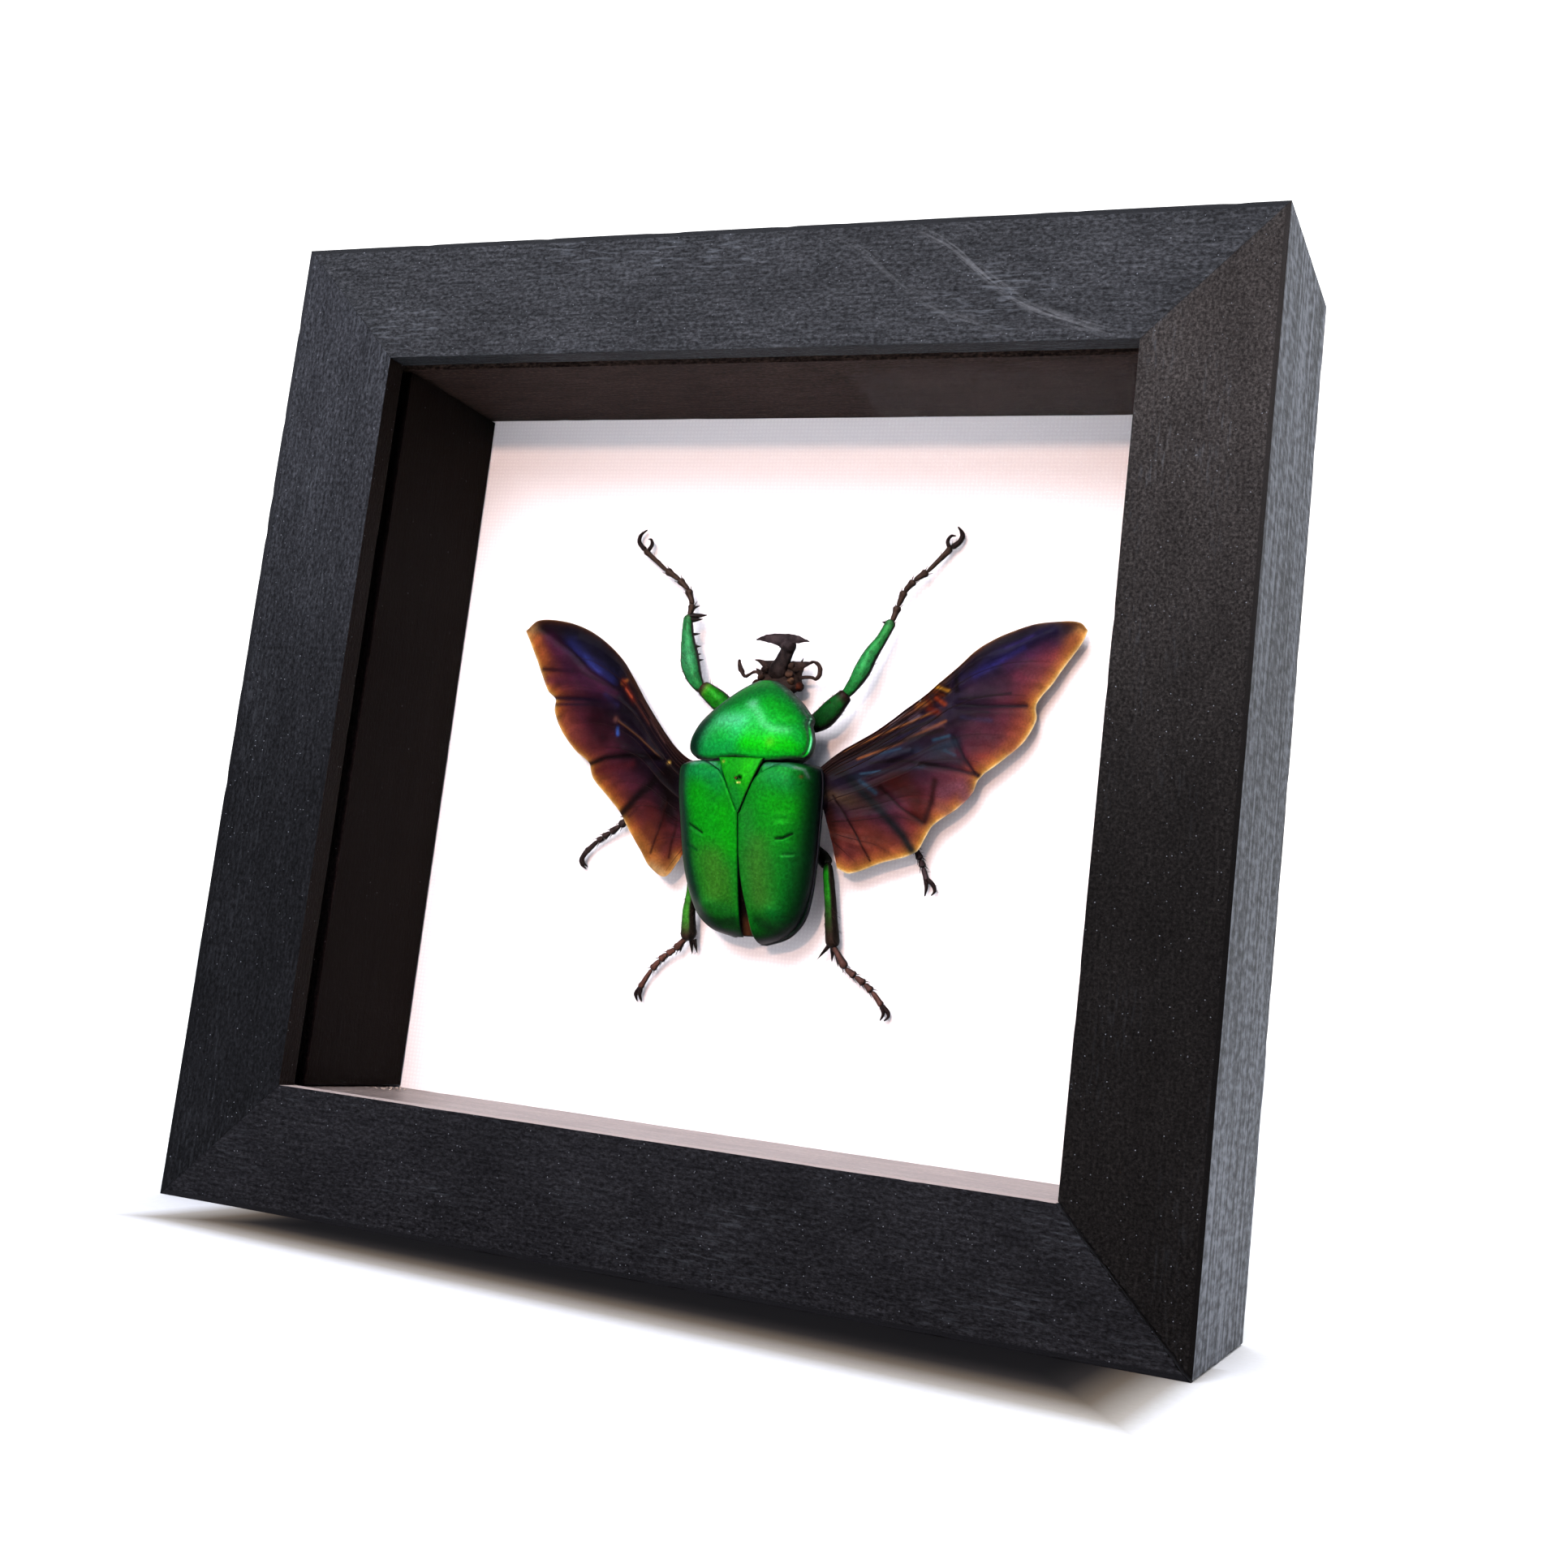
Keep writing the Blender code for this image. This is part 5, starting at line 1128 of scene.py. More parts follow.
head = {
    "sections": ((10.7, 0.6, 2.3, 5.2, 2.7), (11.5, 0.7, 3.3, 5.5, 2.2), (12.4, 0.8, 3.5, 5.3, 1.9),
                 (13.4, 0.9, 3.2, 4.9, 1.9), (14.2, 1.0, 3.1, 4.6, 2.3), (14.9, 1.1, 3.4, 4.4, 2.8),
                 # y, middle, half width, top, underside
                 (15.4, 1.1, 3.6, 4.2, 3.2), (15.8, 1.1, 3.2, 4.0, 3.4)),
    "stem": ((0.5, 12.6, 4.2, 1.7), (0.75, 14.6, 4.5, 1.4), (1.4, 16.0, 4.7, 1.15), (1.95, 17.2, 5.0, 1.1),
             (2.1, 17.9, 5.4, 1.4), (1.8, 18.7, 5.9, 2.1)),
    "barMiddle": (1.4, 6.0), "barThickness": 0.75,
    "bar": ((-4.4, 18.6, 18.5), (-3.6, 19.0, 18.36), (-2.6, 19.36, 18.2), (-1.4, 19.55, 17.95),
            (0.0, 19.58, 17.6),
            (1.4, 19.55, 17.95), (2.6, 19.34, 18.2), (3.6, 18.96, 18.34), (4.4, 18.52, 18.42)),
    "spikes": (((-0.2, 14.7, 3.9, 0.8), (-2.0, 15.3, 4.0, 0.55), (-3.6, 15.85, 4.1, 0.06)),
               ((2.4, 14.8, 3.7, 0.8), (4.4, 15.4, 3.7, 0.5), (6.0, 15.8, 3.7, 0.06)),
               ((-2.0, 13.6, 3.9, 0.5), (-2.9, 14.2, 4.0, 0.2), (-3.3, 14.4, 4.0, 0.05)),
               ((3.6, 15.0, 3.9, 0.4), (4.2, 16.1, 4.0, 0.12), (4.3, 16.4, 4.0, 0.05))),
    "antennae": (
        ((-1.9, 12.9, 4.0, 0.3), (-3.0, 13.9, 4.3, 0.26), (-3.7, 13.7, 4.4, 0.24), (-4.7, 12.9, 4.5, 0.24)),
        ((-4.6, 12.9, 4.5, 0.24), (-5.2, 13.6, 4.6, 0.34), (-5.8, 14.7, 4.6, 0.36), (-6.0, 15.7, 4.6, 0.2)),
        ((3.9, 13.4, 3.8, 0.3), (5.8, 13.5, 3.9, 0.26), (6.9, 13.1, 4.0, 0.26)),
        ((6.8, 13.1, 4.0, 0.26), (7.3, 14.1, 4.1, 0.36), (7.1, 15.2, 4.2, 0.36), (6.2, 15.8, 4.2, 0.22),
         (5.4, 15.6, 4.2, 0.16)),
    ),
    "eyes": (((-2.7, 12.0, 4.0), 0.85, "#22120c"), ((3.9, 12.0, 3.7), 0.85, "#30150c")),
    "knobs": (((-1.4, 14.2, 5.0), 0.5, "#241a16"), ((2.7, 13.6, 5.0), 0.6, "#33241c"),
              ((-1.9, 13.0, 4.9), 0.5, "#2e2019"),
              ((3.4, 14.4, 4.4), 0.45, "#1c1410"), ((3.1, 12.6, 4.9), 0.5, "#3c2a1e"),
              ((2.6, 15.0, 4.4), 0.5, "#2a1e18")),
}


def makeHead():
    rows, columns = 60, 48
    table = head["sections"]
    y = np.linspace(table[0][0], table[-1][0], rows)
    middle, width, top, low = (along([(row[0], row[k]) for row in table], y)[:, None] for k in (1, 2, 3, 4))
    turn = 2 * math.pi * np.arange(columns)[None, :] / columns
    x = middle + width * np.cos(turn)
    h = (top + low) / 2 + (top - low) / 2 * np.sin(turn)
    points = np.stack([x, y[:, None] + 0 * x, h], axis=-1).reshape(-1, 3)
    faces = gridFaces(rows, columns, closed=True)
    faces += [list(range(columns))[::-1], list(range((rows - 1) * columns, rows * columns))]
    shapes = [(points, faces, plain((rows * columns,), "#231a16"))]
    shapes.append(limb(head["stem"], ((0.0, "#181210"), (0.6, "#1e1817"), (1.0, "#272122")), 28, 50))
    count, sides = 70, 24                 # the horn's cross bar, pointed at both ends
    table = head["bar"]
    across = eased(table[0][0], table[-1][0], count)
    front, rear = (along([(row[0], row[k]) for row in table], across)[:, None] for k in (1, 2))
    half = (front - rear) / 2
    turn = 2 * math.pi * np.arange(sides)[None, :] / sides
    thick = head["barThickness"] / 2 * np.minimum(1.0, 0.25 + half)
    points = np.stack([head["barMiddle"][0] + across[:, None] + 0 * turn,
                       (front + rear) / 2 + half * np.cos(turn),
                       head["barMiddle"][1] + thick * np.sin(turn)], axis=-1).reshape(-1, 3)
    faces = gridFaces(count, sides, closed=True)
    faces += [list(range(sides))[::-1], list(range((count - 1) * sides, count * sides))]
    shapes.append((points, faces, plain((count * sides,), "#282122")))
    shapes += [limb(path, "#241b18", 14, 24) for path in head["spikes"]]
    shapes += [limb(path, "#2a1f1b", 12, 26, 1.0) for path in head["antennae"]]
    shapes += [lump(place, (size, size * 0.9, size), tone) for place, size, tone in head["eyes"]]
    shapes += [lump(place, (size * 1.2, size, size * 0.8), tone) for place, size, tone in head["knobs"]]
    mesh = joinShapes("head_and_horn", shapes, 0.09, 0.45, 5, 0.5)
    makePiece("head_and_horn", mesh, darkCuticle, "dark_cuticle", "head_with_horn", smoothAngle=60)


legTones = {                              # femur, tibia and foot: (share of the length, colour)
    "foreleg_left": (((0.0, "#083c0e"), (0.55, "#0a5a0c"), (0.84, "#146a0a"), (0.9, "#3a6a1c"),
                      (0.95, "#2a1a14")),
                     ((0.0, "#2a1a14"), (0.05, "#165c28"), (0.4, "#2a6e42"), (0.9, "#206232"),
                      (1.0, "#3a4a30")), "#33261f"),
    "foreleg_right": (((0.0, "#04120a"), (0.5, "#072c0d"), (0.86, "#0b4214"), (0.94, "#1c120e")),
                      ((0.0, "#2a1a14"), (0.05, "#145a22"), (0.4, "#206a34"), (0.85, "#20682e"),
                       (1.0, "#2f5a34")), "#33261f"),
    "midleg_left": ("#1c1412", "#1e1513", "#2b211f"),
    "midleg_right": ("#14100f", "#1a1615", "#33282a"),
    "hindleg_left": ("#0f160a", ((0.0, "#1a130e"), (0.1, "#2a6a1c"), (0.7, "#31701f"), (0.92, "#2a1d16")),
                     "#4a3028"),
    "hindleg_right": ("#080b06", ((0.0, "#0c0a06"), (0.12, "#1a8c18"), (0.4, "#227818"), (0.6, "#1f3c14"),
                                  (0.85, "#251a14")),
                      "#48302a"),
}
legStrips = {"hindleg_left": (45, 62), "hindleg_right": (62, 40)}      # green on one side only
legs = {
    "foreleg_left": {
        "femur": ((-1.6, 6.5, 2.4, 0.8), (-4.4, 6.8, 2.9, 1.1), (-6.8, 7.9, 4.3, 1.5),
                  (-8.8, 9.3, 4.9, 1.55), (-10.6, 10.5, 5.2, 1.25), (-11.5, 11.0, 5.2, 0.7)),
        "tibia": ((-11.3, 10.3, 5.2, 0.5), (-12.9, 12.4, 5.2, 0.9), (-13.9, 14.4, 5.0, 1.1),
                  (-14.8, 16.9, 4.5, 0.95), (-15.4, 18.9, 4.2, 0.74), (-15.9, 21.1, 3.8, 0.6),
                  (-16.0, 22.6, 3.5, 0.55)),
        "tarsus": ((-15.9, 22.2, 3.5), (-15.9, 24.4, 3.0), (-17.2, 26.8, 2.6), (-19.1, 28.4, 2.4),
                   (-21.7, 29.9, 2.1), (-26.4, 33.3, 1.4)),
        "claws": (((-26.2, 33.2, 1.4, 0.34), (-27.6, 34.6, 1.3, 0.3), (-27.6, 35.8, 1.1, 0.22),
                   (-26.7, 36.8, 0.8, 0.08)),
                  ((-25.9, 33.0, 1.4, 0.26), (-25.2, 34.1, 1.5, 0.24), (-25.5, 35.0, 1.3, 0.18),
                   (-26.2, 35.2, 1.1, 0.07))),
        "spines": (((-15.6, 22.3, 3.6), (-13.2, 22.6, 3.4), 0.38),
                   ((-15.4, 21.7, 3.7), (-13.7, 21.9, 3.6), 0.3),
                   ((-15.2, 19.3, 4.1), (-13.6, 19.5, 4.0), 0.24),
                   ((-14.4, 17.3, 4.4), (-13.0, 17.5, 4.3), 0.24),
                   ((-13.9, 16.0, 4.6), (-12.7, 16.2, 4.5), 0.22),
                   ((-13.3, 15.1, 4.8), (-12.1, 15.3, 4.7), 0.22),
                   ((-15.9, 23.6, 3.3), (-14.6, 24.0, 3.3), 0.22)),
    },
    "foreleg_right": {
        "femur": ((2.6, 6.1, 2.4, 0.8), (5.4, 6.2, 2.9, 1.1), (8.5, 7.0, 4.4, 1.6),
                  (10.3, 8.6, 4.9, 1.6), (11.8, 10.3, 5.1, 1.25), (12.5, 11.1, 5.0, 0.7)),
        "tibia": ((12.0, 10.6, 5.1, 0.5), (13.4, 12.7, 5.0, 0.76), (14.3, 14.7, 4.8, 0.92),
                  (15.3, 17.3, 4.5, 0.82), (16.4, 19.4, 4.2, 0.64), (17.2, 21.3, 3.9, 0.6),
                  (17.7, 22.8, 3.6, 0.66)),
        "tarsus": ((17.7, 22.5, 3.6), (18.2, 25.1, 3.1), (18.8, 27.5, 2.7), (20.1, 29.2, 2.4),
                   (21.9, 30.7, 2.1), (25.0, 34.6, 1.4)),
        "claws": (((24.9, 34.5, 1.4, 0.34), (26.1, 35.5, 1.3, 0.34), (26.4, 36.7, 1.1, 0.28),
                   (25.4, 38.0, 0.8, 0.08)),
                  ((24.7, 34.4, 1.4, 0.26), (24.3, 35.5, 1.5, 0.24), (24.7, 36.4, 1.3, 0.18),
                   (25.4, 36.5, 1.1, 0.07))),
        "spines": (((15.6, 17.0, 4.5), (14.2, 17.2, 4.5), 0.2), ((16.2, 18.2, 4.3), (14.9, 18.4, 4.3), 0.2),
                   ((16.8, 19.6, 4.1), (15.6, 19.8, 4.1), 0.2), ((17.5, 22.2, 3.7), (16.2, 22.4, 3.7), 0.3)),
    },
    "midleg_left": {
        "femur": ((-1.4, -3.6, 2.1, 0.8), (-6.5, -3.7, 2.4, 0.95), (-12.0, -4.1, 2.8, 0.85),
                  (-14.9, -4.6, 2.8, 0.6)),
        "tibia": ((-14.6, -4.5, 2.8, 0.5), (-17.9, -5.7, 2.6, 0.62), (-20.2, -7.6, 2.3, 0.68),
                  (-22.4, -9.3, 2.0, 0.66)),
        "tarsus": ((-22.0, -9.0, 2.0), (-24.3, -11.0, 1.7), (-25.9, -12.1, 1.5), (-27.1, -12.9, 1.4),
                   (-28.0, -13.6, 1.35), (-29.9, -15.4, 1.2)),
        "claws": (((-29.7, -15.2, 1.2, 0.32), (-30.6, -16.6, 1.1, 0.26), (-30.4, -17.5, 0.9, 0.2),
                   (-29.7, -18.0, 0.7, 0.07)),
                  ((-29.6, -15.3, 1.3, 0.28), (-30.1, -16.5, 1.5, 0.22), (-29.8, -17.3, 1.3, 0.16),
                   (-29.3, -17.7, 1.1, 0.07))),
        "spines": (((-22.2, -9.2, 1.9), (-22.6, -10.9, 1.5), 0.22),
                   ((-22.5, -9.2, 2.1), (-24.1, -9.5, 1.9), 0.22)),
    },
    "midleg_right": {
        "femur": ((3.4, -2.6, 2.1, 0.8), (8.0, -2.6, 2.5, 0.95), (12.4, -1.9, 2.9, 0.85),
                  (14.4, -1.7, 2.8, 0.6)),
        "tibia": ((14.0, -1.7, 2.8, 0.5), (16.2, -2.7, 2.7, 0.7), (18.6, -4.5, 2.4, 0.72),
                  (21.2, -7.3, 2.1, 0.72)),
        "tarsus": ((20.9, -7.0, 2.1), (22.8, -8.6, 1.9), (24.6, -10.9, 1.6), (25.4, -12.3, 1.5),
                   (25.9, -13.4, 1.4), (26.6, -15.3, 1.2)),
        "claws": (((26.4, -15.0, 1.2, 0.3), (26.6, -16.2, 1.1, 0.22), (26.4, -17.5, 0.8, 0.07)),
                  ((26.6, -15.0, 1.2, 0.32), (27.6, -15.7, 1.2, 0.27), (27.9, -16.6, 1.0, 0.2),
                   (27.4, -17.3, 0.8, 0.07))),
        "spines": (((21.2, -7.2, 2.0), (20.4, -8.8, 1.6), 0.22), ((21.0, -7.4, 1.9), (21.4, -9.2, 1.5), 0.22)),
    },
    "hindleg_left": {
        "femur": ((-1.2, -12.2, 2.1, 0.8), (-4.6, -13.2, 2.2, 1.05), (-8.4, -15.6, 2.9, 1.0),
                  (-9.8, -16.8, 3.6, 0.65)),
        "tibia": ((-9.7, -16.5, 3.7, 0.5), (-9.6, -18.0, 3.9, 0.6), (-9.6, -20.3, 3.7, 0.66),
                  (-9.9, -23.0, 3.1, 0.82), (-9.9, -25.8, 2.5, 0.96), (-9.8, -27.5, 2.2, 1.1)),
        "tarsus": ((-10.2, -27.0, 2.1), (-12.1, -29.0, 1.8), (-13.4, -29.8, 1.6), (-14.6, -30.9, 1.5),
                   (-15.8, -32.4, 1.4), (-17.5, -35.4, 1.2)),
        "claws": (((-17.4, -35.2, 1.2, 0.3), (-18.1, -36.3, 1.1, 0.24), (-17.8, -37.4, 0.8, 0.07)),
                  ((-17.2, -35.2, 1.3, 0.28), (-17.3, -36.4, 1.3, 0.22), (-17.0, -37.4, 1.0, 0.07))),
        "spines": (((-10.7, -27.3, 2.1), (-11.3, -29.2, 1.5), 0.24),
                   ((-9.4, -27.4, 2.1), (-9.3, -29.2, 1.5), 0.24),
                   ((-8.9, -27.2, 2.1), (-8.5, -29.0, 1.5), 0.24)),
    },
    "hindleg_right": {
        "femur": ((3.6, -10.8, 2.1, 0.8), (7.2, -11.6, 2.2, 1.1), (10.6, -13.2, 3.1, 1.05),
                  (11.9, -14.4, 3.6, 0.65)),
        "tibia": ((11.9, -14.0, 3.7, 0.5), (12.2, -16.0, 3.6, 0.66), (12.7, -19.5, 3.0, 0.72),
                  (13.1, -23.0, 2.5, 0.8), (13.6, -26.3, 2.1, 0.9)),
        "tarsus": ((13.6, -26.0, 2.1), (15.8, -29.1, 1.7), (17.4, -30.1, 1.5), (18.9, -31.0, 1.4),
                   (20.2, -32.0, 1.4), (21.9, -33.9, 1.2)),
        "claws": (((21.8, -33.7, 1.2, 0.3), (22.8, -34.7, 1.1, 0.26), (22.9, -35.3, 1.0, 0.18),
                   (22.2, -36.0, 0.7, 0.07)),
                  ((21.7, -33.8, 1.3, 0.28), (22.2, -34.9, 1.3, 0.22), (21.7, -36.0, 1.0, 0.07))),
        "spines": (((12.9, -26.0, 2.0), (11.3, -27.9, 1.4), 0.24),
                   ((13.5, -26.3, 2.0), (13.4, -28.2, 1.4), 0.24),
                   ((14.0, -26.4, 2.0), (14.4, -28.7, 1.4), 0.24)),
    },
}


def spike(foot, tip, radius, code, bend=(0.0, 0.0, 0.0)):
    foot, tip = np.array(foot, float), np.array(tip, float)
    middle = (foot + tip) / 2 + np.array(bend)
    return limb(((*foot, radius), (*middle, radius * 0.62), (*tip, 0.03)), code, 10, 12, 1.0, (0.0, 1.0))


def makeLeg(name, leg):
    femurTone, tibiaTone, footTone = legTones[name]
    stout = 1.4 if name.startswith("foreleg") else 1.25
    tibia = [(*row[:3], row[3] * stout) for row in leg["tibia"]]
    femur = [*leg["femur"][:-1], (*leg["femur"][-1][:3], leg["femur"][-1][3] * 1.5)]     # square at the knee
    shapes = [limb(femur, femurTone, 32, 60, tips=(1.0, 0.45)),
              limb(tibia, tibiaTone, 36, 60, strip=legStrips.get(name))]
    joints = np.array(leg["tarsus"], float)
    for k, (start, end) in enumerate(zip(joints, joints[1:])):
        last = k == len(joints) - 2
        swell = ((-0.03, 0.26), (0.12, 0.34), (0.7, 0.42), (0.93, 0.52), (1.0, 0.38)) if last else (
            (-0.06, 0.26), (0.15, 0.4), (0.55, 0.5), (0.86, 0.66), (1.0, 0.5))
        path = [(*(start + (end - start) * part), radius) for part, radius in swell]
        shapes.append(limb(path, footTone, 18, 22, 1.0))
        if not last:
            ahead = (end - start) / np.linalg.norm(end - start)
            aside = np.cross(ahead, (0, 0, 1.0))
            for way in (-1, 1):
                foot = start + (end - start) * 0.9 + aside * way * 0.38
                shapes.append(spike(foot, foot + ahead * 0.7 + aside * way * 0.35, 0.09, "#241814"))
    for path in leg["claws"]:
        shapes.append(limb([(*row[:3], row[3] * 1.25) for row in path], "#1d1413", 14, 26, 1.0))
    for foot, tip, radius in leg["spines"]:
        shapes.append(spike(foot, np.array(tip) + (np.array(tip) - foot) * 0.12, radius * 1.55, "#17100f"))
    mesh = joinShapes("leg_" + name, shapes, 0.04, 0.7, len(name), 0.2)
    makePiece(name + "_cuticle", mesh, legCuticle, "leg_cuticle", name, smoothAngle=60)


makeHead()
for legName, legShape in legs.items():
    makeLeg(legName, legShape)
print("head and legs")


# Beetle: spread hindwings, thin pleated sheets coloured from their edges inwards

wing = {
    "rest": 2.8, "rise": 4.9, "fade": 15.0,       # height off the paper away from and at the root, in mm
    "sheet": 0.08, "pleat": 0.32, "pleats": (0.06, 0.28, 0.48, 0.68, 0.86), "pleatWidth": 0.07,
    "ruffle": 0.2, "crumple": 0.18, "crinkle": 0.04,
    "brightness": 0.52,                   # how much of the painted colours' brightness is used
    "rows": 190, "columns": 190,
    "veins": ((0.012, 0.0, 0.62, 0.2), (0.045, 0.0, 0.6, 0.13), (0.08, 0.0, 0.52, 0.13), (0.12, 0.0, 0.5, 0.12),
              (0.16, 0.05, 0.5, 0.1), (0.13, 0.55, 0.97, 0.05), (0.24, 0.1, 0.95, 0.08),
              (0.36, 0.25, 0.93, 0.05), (0.47, 0.05, 0.95, 0.07), (0.60, 0.2, 0.9, 0.05),
              (0.70, 0.05, 0.95, 0.06),
              (0.83, 0.1, 0.92, 0.05), (0.93, 0.05, 0.9, 0.05)),      # across, out from, out to, radius in mm
}
